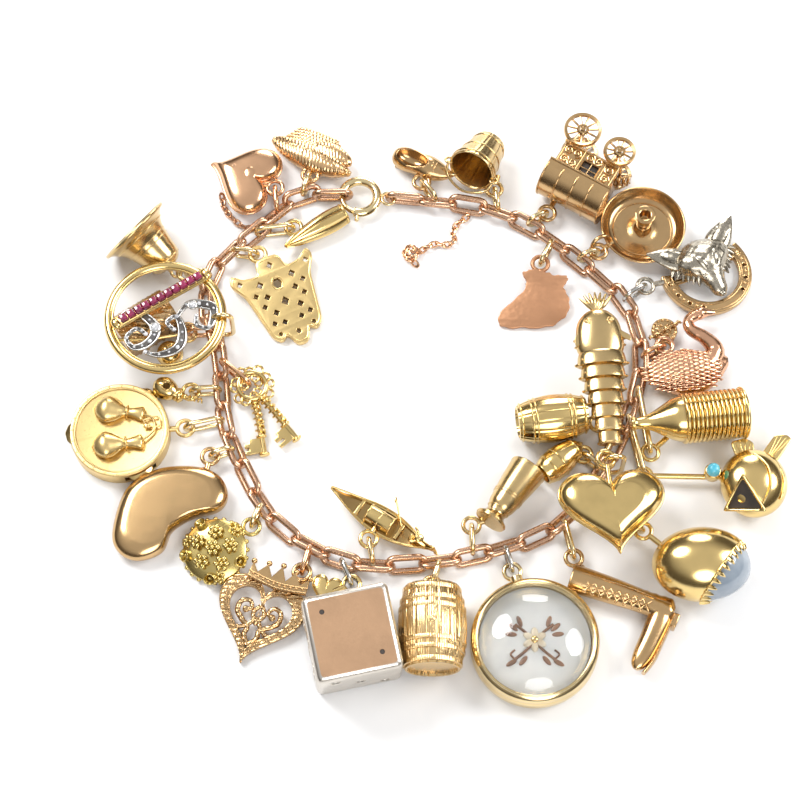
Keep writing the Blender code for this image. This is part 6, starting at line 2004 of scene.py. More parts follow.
@dataclass
class MoonstoneBall(Charm):
    """The gold ball whose toothed bezel holds the moonstone."""

    node: str = "ball_case"
    at: Place = (41.6, -26.4)
    eye: Eye | None = Eye((34.0, -20.4), (38.0, -23.8))
    radii: tuple[float, float, float] = (7.0, 5.2, 5.0)
    side_turn: float = -36.0
    reach: float = 2.6
    teeth: int = 26

    def beyond(self, clearance: float) -> Shape:
        """A block over the side that the stone takes."""
        x, y = polar(self.reach + clearance + 6.0, self.side_turn)
        return block((12, 14, 12), (x, y, 0), (0, 0, self.side_turn), edge=0.05)

    def edge(self) -> tuple[float, float, float]:
        """The cut's ellipse: its middle along the cut, its half width and its half height."""
        n, m = Vector(polar(1, self.side_turn)), Vector(polar(1, self.side_turn + 90))
        a2, b2 = self.radii[0] ** 2, self.radii[1] ** 2
        first = m.x**2 / a2 + m.y**2 / b2
        second = 2 * self.reach * (n.x * m.x / a2 + n.y * m.y / b2)
        third = self.reach**2 * (n.x**2 / a2 + n.y**2 / b2) - 1
        middle = -second / (2 * first)
        half = math.sqrt(second**2 - 4 * first * third) / (2 * first)
        return middle, half, self.radii[2] * math.sqrt(-(third + second * middle + first * middle**2))

    def body(self) -> list[Shape]:
        """The two-part ball, its seam, and the teeth that grip the stone."""
        ball = cut(bead(1.0, size=self.radii, sides=72), self.beyond(0.0))
        middle, half, high = self.edge()
        made = [ball]
        n, m = Vector(polar(1, self.side_turn)), Vector(polar(1, self.side_turn + 90))
        rim = []
        for i in range(72):
            c, z = polar(1, 5 * i)
            spot = n * self.reach + m * (middle + half * c * 0.99)
            rim.append((spot.x, spot.y, high * z * 0.99))
        made.append(tube(rim, 0.22, steps=1, closed=True))
        for i in range(self.teeth):
            c, z = polar(1, 360 * i / self.teeth)
            foot = n * (self.reach - 0.1) + m * (middle + half * c)
            tip = n * (self.reach + 1.15) + m * (middle + half * c * 0.88)
            made.append(tube([(foot.x, foot.y, high * z),
                              ((foot.x + tip.x) / 2, (foot.y + tip.y) / 2, high * z * 0.965),
                              (tip.x, tip.y, high * z * 0.87)],
                             0.42, steps=3, taper=[1.0, 0.75, 0.12], roundness=2))
        return made


@dataclass
class Moonstone(Charm):
    """The blue-grey stone in the ball's bezel."""

    node: str = "moonstone"
    at: Place = (41.6, -26.4)
    rest: float = 0.3
    finish: Finish = MOONSTONE
    holder: MoonstoneBall = field(default_factory=MoonstoneBall)

    def body(self) -> list[Shape]:
        """The domed cabochon, kept where the bezel is cut."""
        stone = bead(1.0, size=(6.75, 4.95, 4.7), sides=72)
        keep = self.holder.beyond(0.12)
        finish_with(stone, "BOOLEAN", operation="INTERSECT", solver="EXACT", object=keep)
        bpy.data.objects.remove(keep, do_unlink=True)
        return [stone]


@dataclass
class RoundFish(Charm):
    """The round fish with its open mouth, tail and the bar to the eye's collet."""

    node: str = "round_fish"
    at: Place = (49.6, -14.0)
    finish: Finish = YELLOW
    eye: Eye | None = Eye((34.4, -12.2), (43.8, -12.4))
    mouth_at: tuple[float, float, float] = (-1.75, -2.95, 2.25)
    mouth_turn: tuple[float, float, float] = (40.5, 0, -39)

    def body(self) -> list[Shape]:
        """Body, mouth frame, flukes with their rays, gill, collet and snout."""
        fish = bead(1.0, size=(4.7, 4.95, 3.4), sides=56)
        lips = self.mouth_outline(3.7)
        walls = [[(*(point * share), depth) for point in lips]
                 for share, depth in ((0.45, -2.3), (0.75, -1.2), (0.97, 0.0))]
        frame = plate(lips, 0.6, [self.mouth_outline(2.9)], 0.2)
        mouth = set_down(joined([lofted(walls), frame]), self.mouth_at, self.mouth_turn)
        flukes = []
        for points in ([(-2.0, 3.0), (0.4, 3.4), (0.4, 6.2), (-0.9, 6.9), (-2.9, 6.3)],
                       [(0.4, 3.2), (2.8, 2.4), (5.9, 6.6), (5.2, 7.4), (3.4, 7.3)]):
            flukes.append(set_down(plate(rounded(points, 0.5, True), 0.7, edge=0.2), (0, 0, -0.6)))
            root = Vector(points[0]).lerp(Vector(points[1]), 0.5)
            for share in (0.15, 0.38, 0.62, 0.85):
                tip = Vector(points[-1]).lerp(Vector(points[2]), share)
                flukes.append(tube([(*root, 0.05), (*root.lerp(tip, 0.5), 0.12), (*tip, 0.05)], 0.13,
                                   taper=[1, 1, 0.4]))
        brow = turned(rounded([(0, -0.8), (1.15, -0.8), (1.25, 0.5), (1.05, 1.1), (0, 0.6)], 0.2), 36)
        brow = set_down(brow, (-5.7, 1.6, 0.0))
        snout = swept([(-5.6, 0.5, 0.5, 1.6, -0.4), (-4.4, 0.75, 0.7, 1.2, -0.4),
                       (-3.2, 1.1, 1.0, 0.9, -0.3)], 24, 5)
        gill = tube([(0.4, -4.2, 2.0), (1.8, -1.6, 3.25), (1.6, 1.4, 3.3), (0.0, 3.6, 2.3)], 0.14)
        ridge = tube([(3.4, -3.0, 1.6), (4.0, 0.0, 2.0), (2.9, 3.0, 1.6)], 0.16)
        return [fish, mouth, brow, snout, gill, ridge, *flukes]

    def mouth_outline(self, reach: float) -> list[Vector]:
        """The mouth's three rounded corners, at this reach from its middle."""
        return rounded([polar(reach, angle) for angle in (7, 127, 247)], 0.5, True)

    def trims(self) -> list[tuple[str, Finish | Stone, list[Shape]]]:
        """The inside of the mouth: a near-black plate of painted shade."""
        return [("throat_shade", PAINTED_SHADE,
                 [set_down(plate(self.mouth_outline(3.1), 0.12, (), 0.0), self.mouth_at,
                           self.mouth_turn)])]


@dataclass
class EyeBead(Charm):
    """The turquoise bead in the fish's collet."""

    node: str = "eye_bead"
    at: Place = (43.9, -12.4)
    rest: float = 4.12
    finish: Finish = TURQUOISE

    def body(self) -> list[Shape]:
        """A low dome."""
        return [turned(eased([(0, 1.5), (0.5, 1.4), (0.85, 1.0), (0.98, 0.4), (0.98, 0.05)], 5)
                       + [Vector((0.9, 0)), Vector((0, 0))], 36)]


# Charms at the right of the loop


@dataclass
class RibbedBottle(Charm):
    """The ribbed bottle with its long neck."""

    node: str = "ribbed_bottle"
    at: Place = (40.7, -4.6)
    turn: tuple[float, float, float] = (0, 5, 8)
    eye: Eye | None = Eye((35.5, -8.7), (38.0, -6.4))
    ribs: int = 14

    def body(self) -> list[Shape]:
        """Neck with its lip, shoulder and ribs, turned in one piece."""
        profile = eased([(0, 8.3), (0.8, 8.3), (1.0, 8.0), (0.85, 7.5), (0.9, 6.6), (1.3, 5.3),
                         (2.1, 3.8), (2.9, 2.3), (3.2, 1.3)], 5)
        start, end = 1.0, -7.9
        for i in range(self.ribs * 8 + 1):
            height = start + (end - start) * i / (self.ribs * 8)
            wave = abs(math.sin(math.pi * i / 8))
            profile.append(Vector((3.25 + 0.36 * wave**0.6, height)))
        profile += [Vector((2.9, -8.2)), Vector((2.2, -8.3)), Vector((0, -8.1))]
        lips = [ring(0.98, 0.14, (0, 0, 7.9), sides=36), ring(3.5, 0.3, (0, 0, -7.9), sides=48)]
        return [set_down(joined([turned(profile, 64), *lips]), turn=(0, -90, 0))]


@dataclass
class Swan(Charm):
    """The feathered swan with its curved neck."""

    node: str = "swan"
    at: Place = (41.2, 3.4)
    turn: tuple[float, float, float] = (0, 0, 4)
    finish: Finish = PLUMAGE
    eye: Eye | None = Eye((38.2, 7.7), (39.6, 5.6), EYE_STEP)

    def body(self) -> list[Shape]:
        """Body, layered wing feathers, tail, neck, head and beak."""
        body = swept(
            [(-5.4, 0.3, 0.25, 0.6, 1.7), (-4.2, 1.5, 0.8, 0.2, 1.6), (-2.2, 2.7, 1.4, -0.2, 1.7),
             (0.6, 3.35, 1.7, -0.1, 1.85), (3.0, 3.0, 1.6, 0.3, 1.8),
             (5.0, 1.9, 1.15, 1.1, 1.7), (6.2, 0.7, 0.6, 1.6, 1.6)], 48, 8,
        )
        feathers = []
        blade = swept([(-0.1, 0.1, 0.06, 0, 0), (0.5, 0.42, 0.2, 0, 0.06), (1.5, 0.46, 0.2, 0, 0.05),
                       (2.2, 0.08, 0.05, 0, 0)], 14, 4)
        for row in range(12):
            for i in range(11):
                x = 5.0 - 0.84 * row
                y = -2.7 + 0.56 * i + 0.28 * (row % 2)
                edge = 1 - ((x - 0.6) / 6.2) ** 2
                if edge <= 0 or abs(y - 0.1) > 3.1 * math.sqrt(edge):
                    continue
                lift = 1.75 + 1.75 * math.sqrt(max(0.0, edge - ((y - 0.1) / 3.5) ** 2))
                feathers.append(placed(x, y, lift, (-16 * y, -6 - 4 * (x - 0.6), 180 - 3 * y), 0.68))
        tail = [swept([(-4.0, 0.4, 0.2, 0.1 + 0.4 * i, 1.9), (-5.6, 0.42, 0.2, 0.2 + 0.7 * i, 2.1),
                       (-6.6, 0.1, 0.08, 0.3 + 0.95 * i, 2.2)], 14, 5) for i in (-1, 0, 1)]
        neck = tube([(3.4, 1.4, 1.9), (4.5, 3.2, 2.3), (3.2, 5.0, 2.7), (1.3, 6.3, 3.0),
                     (1.1, 7.8, 3.0), (2.6, 8.7, 3.0)], 0.92, taper=[1.9, 1.5, 1.12, 0.95, 0.85, 0.9])
        head = swept([(2.0, 0.6, 0.6, 8.4, 3.0), (3.0, 0.95, 0.85, 8.8, 3.0),
                      (4.0, 0.55, 0.5, 8.9, 2.9), (5.1, 0.3, 0.18, 8.9, 2.8)], 24, 6)
        eyes = [bead(0.2, (3.2, 8.8 + side * 0.5, 3.62), sides=12) for side in (-1, 1)]
        return [body, copies(blade, feathers), *tail, neck, head, *eyes]


@dataclass
class CoinLeaf(Charm):
    """The small textured disc crossed by a twisted bar."""

    node: str = "coin_leaf"
    at: Place = (38.4, 10.4)
    rest: float = 0.6
    finish: Finish = NINE_CHASED
    eye: Eye | None = Eye((38.2, 7.7), (38.4, 9.4), -EYE_STEP, True)

    def body(self) -> list[Shape]:
        """The disc with its granules and the bar."""
        disc = turned(rounded([(0, 0), (1.9, 0), (1.9, 0.8), (1.5, 0.65), (0, 0.75)], 0.12), 40)
        granules = [bead(0.2, (*polar(1.62, 24 * i), 0.82), sides=10) for i in range(15)]
        granules += [bead(0.24, (*polar(0.85, 60 * i), 0.78), sides=10) for i in range(6)]
        along = Vector(polar(2.7, 30))
        bar = tube([(-along.x, -along.y, 0.9), (along.x, along.y, 0.9)], 0.22)
        twist = coil((-along.x, -along.y, 0.9), (along.x, along.y, 0.9), 0.27, 0.12, 8)
        return [disc, bar, twist, *granules]


@dataclass
class FoxHorseshoe(Charm):
    """The fox's mask in its horseshoe."""

    node: str = "fox_horseshoe"
    nail_angles: tuple[float, ...] = (-175, -155, -135, -45, -25, -5)
    at: Place = (44.9, 19.8)
    turn: tuple[float, float, float] = (0, 4, 28)
    finish: Finish = OXIDISED
    eye: Eye | None = Eye((35.9, 17.3), (38.6, 17.9))

    def body(self) -> list[Shape]:
        """The mask: skull, brow, cheeks with their fur, muzzle, nose and pricked ears."""
        skull = swept(
            [(-4.1, 0.35, 0.4, 0, 1.4), (-3.5, 0.85, 0.8, 0, 1.5), (-2.2, 1.1, 1.1, 0, 1.7),
             (-1.0, 1.7, 1.5, 0, 1.9), (0.6, 2.9, 2.1, 0, 2.0), (2.2, 3.1, 2.0, 0, 1.9),
             (3.6, 2.0, 1.3, 0, 1.7), (4.3, 0.8, 0.6, 0, 1.5)], 56, 8, lambda x,
             a: 0.07 * math.sin(11 * a) * math.sin(4.0 * x) if x > -1.0 else 0.0,
        )
        tufts = []
        for side in (-1, 1):
            for i in range(6):
                y, x = side * (1.5 + 0.36 * i), -0.9 + 0.55 * i
                tufts.append(swept([(x + 1.1, 0.3, 0.3, y * 0.75, 2.6 - 0.1 * i),
                                    (x, 0.42, 0.34, y, 2.3 - 0.12 * i),
                                    (x - 0.9, 0.08, 0.08, y * 1.22, 1.7)], 14, 4))
            tufts.append(swept([(-0.9, 0.3, 0.22, side * 0.45, 3.1), (0.6, 0.5, 0.3, side * 0.8, 3.85),
                                (2.2, 0.1, 0.1, side * 1.2, 3.5)], 14, 4))
            tufts.append(bead(0.55, (-1.0, side * 0.95, 2.75), (1.2, 0.6, 0.5), (0, 0, side * -28)))
        tufts.append(swept([(-3.4, 0.2, 0.12, 0, 2.25), (-1.6, 0.32, 0.2, 0, 2.85),
                            (0.8, 0.24, 0.16, 0, 3.95)], 14, 5))
        head = set_down(joined([skull, *tufts]), turn=(0, 0, 90), size=(1.1, 1.36, 1.12))
        ears = []
        for side in (-1, 1):
            cone = swept([(-0.4, 1.1, 0.8, 0, 0), (1.2, 1.35, 0.65, 0, 0.1), (3.0, 0.85, 0.4, 0, 0.15),
                          (4.5, 0.1, 0.08, 0, 0.1)], 24, 6)
            hollow = bead(1.0, (1.6, 0, 0.85), (2.0, 0.85, 0.55))
            ears.append(set_down(cut(cone, hollow), (side * 2.5, 2.4, 2.0), (0, -8, 90 - side * 56),
                                 (1.3, 1.4, 1.2)))
        nose = bead(0.56, (0, -4.4, 1.9), (1.1, 0.8, 0.8))
        eyes = [bead(0.32, (side * 1.3, -1.15, 3.35), (1.3, 0.8, 0.6), (0, 0, side * 24))
                for side in (-1, 1)]
        return [head, nose, *ears, *eyes]

    def trims(self) -> list[tuple[str, Finish | Stone, list[Shape]]]:
        """The horseshoe with its groove and nails."""
        outer = [polar(6.8, angle) for angle in range(-200, 21, 5)]
        inner = [polar(4.9, angle) for angle in range(20, -201, -5)]
        holes = [ellipse(0.5, 0.5, 12, polar(5.9, angle))
                 for angle in (-185, -165, -145, -125, -55, -35, -15, 5)]
        shoe = plate(rounded(outer + inner, 0.3, True), 1.1, holes, 0.18)
        rims = [tube([(*polar(radius, angle), 1.08) for angle in range(-196, 17, 6)], 0.13, steps=1)
                for radius in (6.35, 5.35)]
        nails = [bead(0.26, (*polar(5.88, angle), 1.12), (1, 1, 0.6), sides=12)
                 for angle in self.nail_angles]
        bar = tube([(-6.0, 0.6, 0.7), (0, 0.1, 0.6), (6.0, 0.6, 0.7)], 0.42)
        return [("horseshoe", NINE, [shoe, bar, *rims, *nails])]


@dataclass
class Chamberstick(Charm):
    """The candle holder: a dished saucer, a candle cup and a loop handle."""

    node: str = "chamberstick"
    at: Place = (35.9, 27.0)
    finish: Finish = NINE
    eye: Eye | None = Eye((29.2, 22.9), (31.4, 24.4))

    def body(self) -> list[Shape]:
        """Saucer, rim, cup with its drip pan, and handle."""
        saucer = turned(
            eased([(0, 0.0), (3.8, 0.0), (5.2, 0.25), (6.1, 1.9), (6.25, 2.2), (6.0, 2.25), (5.2, 1.2),
                   (4.4, 0.8), (2.6, 0.7), (1.4, 1.0), (0, 1.1)], 5), 96
        )
        rim = ring(6.12, 0.17, (0, 0, 2.2), sides=96)
        cup = turned(rounded([(0, 0.8), (1.5, 0.8), (0.85, 1.6), (0.8, 3.2), (1.05, 3.6), (0.95, 4.6),
                              (1.5, 5.3), (1.45, 5.6), (0.75, 5.5), (0.7, 3.9), (0, 3.9)], 0.2), 48)
        bands = [ring(r, 0.1, (0, 0, z), sides=36) for r, z in ((0.98, 2.4), (1.08, 3.6), (4.3, 0.86))]
        handle = ring(1.5, 0.3, (*polar(6.9, 205), 1.7), (70, 0, 25), sides=36)
        return [saucer, rim, cup, handle, *bands]


@dataclass
class Caravan(Charm):
    """The caravan lying on its side, with its curved roof, window, scrolls and axles."""

    node: str = "caravan"
    at: Place = (27.2, 34.0)
    turn: tuple[float, float, float] = (0, 0, -31)
    finish: Finish = NINE
    eye: Eye | None = Eye((21.8, 29.2), (23.4, 32.0))
    middle: float = 4.1
    axle: float = 0.7
    spacing: float = 6.4
    wheel_sizes: tuple[float, float] = (5.6, 4.8)

    def lying(self, shape: Shape) -> Matrix:
        """The caravan keeps the height of its axles."""
        return Matrix.Translation((*self.at, 0.0)) @ Matrix.Rotation(math.radians(self.turn[2]), 4, "Z")

    def axle_places(self) -> list[tuple[float, float, float]]:
        """Each axle's place along the caravan, its drop below the floor and its wheel's size."""
        return [(side * self.spacing / 2, 2.7 + size / 2 - 0.6, size)
                for side, size in zip((-1, 1), self.wheel_sizes)]

    def body(self) -> list[Shape]:
        """Walls, roof, frames, scrolls, lamp, steps and undercarriage."""
        z = self.middle
        walls = block((9.0, 5.2, 5.8), (0, 0.1, z), edge=0.18)
        cut(walls, block((2.5, 2.2, 1.2), (0.6, -0.2, z + 2.9), edge=0.08))
        arc = [(-2.2 - 3.3 * math.sin(math.radians(a)), z + 3.5 * math.cos(math.radians(a)))
               for a in range(0, 181, 9)]
        section = [(-1.3, z + 3.55), *arc, (-1.3, z - 3.55), (-1.9, z - 3.1), (-1.9, z + 3.1)]
        roof = lofted([[(x, y, h) for y, h in section] for x in (-5.0, -4.9, 4.9, 5.0)])
        ribs = []
        for x in (-4.9, -2.45, 0.0, 2.45, 4.9):
            ribs.append(tube([(x, y, h) for y, h in arc], 0.15, steps=1))
        gutters = [tube([(-5.0, -1.45, z + side * 3.55), (5.0, -1.45, z + side * 3.55)], 0.2, steps=2)
                   for side in (-1, 1)]
        frame = [
            tube([(-4.3, -1.0, z + 2.95), (4.3, -1.0, z + 2.95)], 0.14, steps=2),
            tube([(-4.3, 2.3, z + 2.95), (4.3, 2.3, z + 2.95)], 0.14, steps=2),
            *[tube([(x, -1.2, z + 2.95), (x, 2.5, z + 2.95)], 0.14, steps=2)
              for x in (-4.3, -1.2, 2.4, 4.3)],
            *[tube([(x, -1.2, z + 2.9), (x, 0.9, z + 2.9)], 0.1, steps=2) for x in (0.6,)],
            tube([(-0.65, -0.2, z + 2.9), (1.85, -0.2, z + 2.9)], 0.1, steps=2),
            tube([(-0.7, -1.3, z + 2.98), (1.9, -1.3, z + 2.98), (1.9, 0.95, z + 2.98),
                  (-0.7, 0.95, z + 2.98)], 0.13, steps=1, closed=True),
        ]
        scrolls = [spiral((x, y), 0.72, start, 1.4, z + 3.0, 0.15) for x, y, start in
                   ((-3.4, -0.3, 0), (-2.1, -0.3, 180), (-3.4, 1.4, 90), (-2.1, 1.4, 270),
                    (3.35, -0.3, 0), (3.35, 1.3, 180), (0.0, 1.7, 0), (1.3, 1.7, 180))]
        corners = [rod(0.28, 5.9, (x, y, z), edge=0.1) for x in (-4.5, 4.5) for y in (-1.6, 2.6)]
        lamp = [bead(0.55, (-4.9, -1.0, z + 1.4), (1, 0.8, 1.3)),
                rod(0.35, 0.9, (-4.6, -1.0, z + 1.4), (0, 90, 0))]
        steps = [block((0.35, 0.9, 2.4), (4.9 + 0.55 * i, 1.9 + 0.5 * i, z), edge=0.1) for i in range(3)]
        stays = [tube([(4.6, 1.6, z + side * 1.1), (6.2, 3.2, z + side * 1.1)], 0.15, steps=2)
                 for side in (-1, 1)]
        under = []
        for x, y, size in self.axle_places():
            under.append(block((1.2, y - 2.2, 2.8), (x, (2.4 + y) / 2, z), edge=0.2))
            under.append(rod(self.axle / 2, 2 * z - 0.02, (x, y, z), edge=0.05))
            under.append(tube([(x - 1.6, 2.7, z + 1.2), (x, y - 0.7, z + 1.4), (x + 1.6, 2.7, z + 1.2)],
                              0.18))
        return [walls, roof, *ribs, *gutters, *frame, *scrolls, *corners, *lamp, *steps, *stays, *under]

    def trims(self) -> list[tuple[str, Finish | Stone, list[Shape]]]:
        """A near-black plate behind the window's bars: painted shade in the window opening."""
        return [("window_shade", PAINTED_SHADE, [block((2.4, 2.1, 0.3), (0.6, -0.2, self.middle + 2.45), edge=0.05)])]


@dataclass
class CartWheel:
    """One spoked wheel of the caravan."""

    number: int
    x: float
    y: float
    size: float
    rest: float
    spokes: int = 11
    width: float = 0.7

    def make(self, holder: Caravan) -> None:
        """Makes the rim, the hub and the spokes, which turn on their axle."""
        outer, half = self.size / 2, self.width / 2
        rim = lofted([[(*polar(radius, 6 * i), height) for i in range(60)] for radius, height in
                      ((outer - 0.5, half * 0.7), (outer - 0.1, half), (outer, half * 0.5),
                       (outer, -half * 0.5), (outer - 0.1, -half), (outer - 0.5, -half * 0.7),
                       (outer - 0.5, half * 0.7))])
        bore = holder.axle / 2 + 0.14
        hub = lofted([[(*polar(radius, 15 * i), height) for i in range(24)] for radius, height in
                      ((bore, half), (bore + 0.28, half), (bore + 0.4, half * 0.6),
                       (bore + 0.4, -half * 0.6), (bore + 0.28, -half), (bore, -half), (bore, half))])
        spokes = []
        for i in range(self.spokes):
            angle = 360 * i / self.spokes
            spokes.append(tube([(*polar(bore + 0.2, angle), 0), (*polar(outer / 2, angle), 0),
                                (*polar(outer - 0.3, angle), 0)], 0.13, steps=2, taper=[1, 1.4, 1],
                                roundness=2))
        wheel = joined([rim, hub, *spokes])
        spot = Matrix.Rotation(math.radians(holder.turn[2]), 2) @ Vector((self.x, self.y))
        wheel.matrix_world = Matrix.Translation((holder.at[0] + spot.x, holder.at[1] + spot.y,
                                                 self.rest + half))
        name = f"wheel_{self.number}"
        send_home(wheel, f"{name}_spoked", NINE, body=name, node=name)


@dataclass
class MapPlate(Charm):
    """The flat matte plate with a wavy edge, hanging inside the chain."""

    node: str = "map_plate"
    at: Place = (20.4, 16.2)
    turn: tuple[float, float, float] = (10, 0, 0)
    finish: Finish = COPPER
    eye: Eye | None = Eye((20.6, 20.9), (20.6, 19.0))

    def body(self) -> list[Shape]:
        """The plate, with small bays cut along its edge."""
        knots = [(-4.6, -5.0), (2.0, -4.6), (4.4, -1.8), (3.6, 1.0), (4.2, 2.6), (1.8, 3.0),
                 (-0.4, 3.8), (-2.4, 3.2), (-2.0, 1.0), (-6.0, -3.2)]
        outline = []
        for i, point in enumerate(eased(knots, 6, True)):
            wobble = 0.16 * math.sin(2.3 * i) + 0.1 * math.sin(5.1 * i + 1.0)
            outline.append(point * (1 + wobble / max(point.length, 1.0)))
        return [plate(rounded(outline, 0.3, True, 2), 0.7, edge=0.1)]


@dataclass
class Bucket(Charm):
    """The bucket lying with its mouth to the lower left."""

    node: str = "bucket"
    at: Place = (12.0, 37.6)
    turn: tuple[float, float, float] = (0, 0, -28)
    finish: Finish = BRASSY
    eye: Eye | None = Eye((14.0, 33.2), (14.6, 35.4))

    def body(self) -> list[Shape]:
        """The staved wall, its hoops, its ears and its bail."""
        profile = [(0, 3.3), (2.3, 3.4), (2.5, 3.2), (3.0, 0.4), (3.6, -3.0), (3.6, -3.2), (3.25, -3.2),
                   (2.7, 0.2), (2.1, 2.6), (0, 2.7)]
        wall = turned(rounded(profile, 0.12), 120, stave_relief(16, 0.07))
        hoops = [ring(r, 0.13, (0, 0, z), sides=64)
                 for r, z in ((3.52, -2.5), (3.1, -0.3), (2.62, 2.4), (3.44, -3.15))]
        ears = [ring(0.55, 0.18, (side * 3.7, 0, -3.2), (90, 0, 0), sides=24) for side in (-1, 1)]
        bail = tube([(3.7, 0, -3.4), (3.0, 1.6, -4.6), (0, 2.4, -5.4), (-3.0, 1.6, -4.6),
                     (-3.7, 0, -3.4)], 0.2)
        return [set_down(joined([wall, bail, *hoops, *ears]), turn=(-108, 0, 0))]


@dataclass
class Clog(Charm):
    """The small carved clog, open at its top."""

    node: str = "clog"
    at: Place = (3.2, 37.2)
    turn: tuple[float, float, float] = (0, 0, -24)
    finish: Finish = NINE
    eye: Eye | None = Eye((3.2, 34.4), (3.2, 36.0))

    def body(self) -> list[Shape]:
        """The shell, the rim of its opening, its heel and its upturned toe."""
        shell = swept(
            [(-4.5, 0.7, 0.6, 0, 0.1), (-4.0, 1.35, 1.25, 0, 0), (-2.6, 1.85, 1.65, 0, 0),
             (-0.6, 1.75, 1.55, 0, 0), (1.2, 1.9, 1.55, 0, 0), (3.2, 1.4, 1.15, 0, 0.05),
             (4.6, 0.7, 0.65, 0, 0.4), (5.4, 0.2, 0.25, 0, 0.9)], 48, 8,
        )
        cut(shell, bead(1.0, (-1.5, 0, 1.35), (2.6, 1.35, 1.9), sides=40))
        rim = tube([(1.1, 0, 1.45), (0.4, 0.95, 1.3), (-1.5, 1.4, 0.95), (-3.5, 0.9, 0.85),
                    (-4.05, 0, 0.95), (-3.5, -0.9, 0.85), (-1.5, -1.4, 0.95), (0.4, -0.95, 1.3)],
                   0.15, closed=True)
        strap = [tube([(x, -1.5, 0.6), (x + 0.2, 0, 1.66 - 0.1 * x), (x, 1.5, 0.6)], 0.1)
                 for x in (1.6, 2.1)]
        heel = block((1.8, 2.4, 0.5), (-3.0, 0, -1.45), edge=0.15)
        return [shell, rim, heel, *strap]


def charms_in_order() -> list[Charm]:
    """The charms, in the order in which their rings take the chain's links."""
    return [
        PuffedHeart(), WingedBird(), SeedPod(), Bell(), HandPlate(), Casket(), BallCharm(), GourdBead(),
        Tambourine(), Bean(),
        Key(node="key_1", turn=(0, 3.5, -79), level=-0.45),
        Key(node="key_2", turn=(0, 6.5, -50), level=0.45, notch=0.9),
        FlowerCluster(), Tiara(), FiligreeHeart(), LeafHeart(), Die(), Gondola(), Barrel(),
        CrystalLocket(), Crystal(), Goblet(),
        Keg(), AcornCup(), JointedFish(), PlainHeart(), RidingBoot(), MoonstoneBall(), Moonstone(),
        RoundFish(), EyeBead(),
        RibbedBottle(), Swan(), CoinLeaf(), FoxHorseshoe(), Chamberstick(), Caravan(), MapPlate(),
        Bucket(), Clog(),
    ]


def fine_chains(chain: Chain) -> list[TraceChain]:
    """The safety chain with its bunched end, and the chain draped from the puffed heart."""
    held = chain.nearest(9.6, 30.8)
    safety = [
        (held.x, held.y - 1.6, 0.6), (8.6, 28.0, 0.6), (7.8, 26.6, 0.6), (8.1, 25.2, 0.6),
        (7.0, 24.4, 0.6), (5.6, 24.7, 0.6), (4.2, 24.3, 0.6), (3.0, 23.4, 0.6), (1.6, 24.2, 0.7),
        (0.6, 23.2, 0.6), (1.4, 22.0, 0.7), (2.6, 22.6, 1.0), (1.8, 23.9, 1.1), (0.9, 22.8, 1.0),
        (2.0, 21.6, 0.7), (2.8, 20.9, 0.6),
    ]
    draped = [
        (-26.6, 32.9, 0.5), (-26.3, 30.9, 0.5), (-25.2, 29.2, 0.5), (-23.6, 27.7, 0.5),
        (-22.3, 27.2, 0.5), (-20.7, 27.4, 0.5), (-19.4, 28.6, 0.8), (-17.2, 29.9, 1.2),
    ]
    return [TraceChain("safety_chain", safety, ROSE), TraceChain("fine_chain", draped, ROSE_SOFT)]


# The room


@dataclass(frozen=True)
class Lamp:
    """One soft lamp: its place in millimetres from the part's middle, its size and its power."""

    name: str
    place: tuple[float, float, float]
    size: float
    power: float
    colour: tuple[float, float, float] = (1.0, 1.0, 1.0)


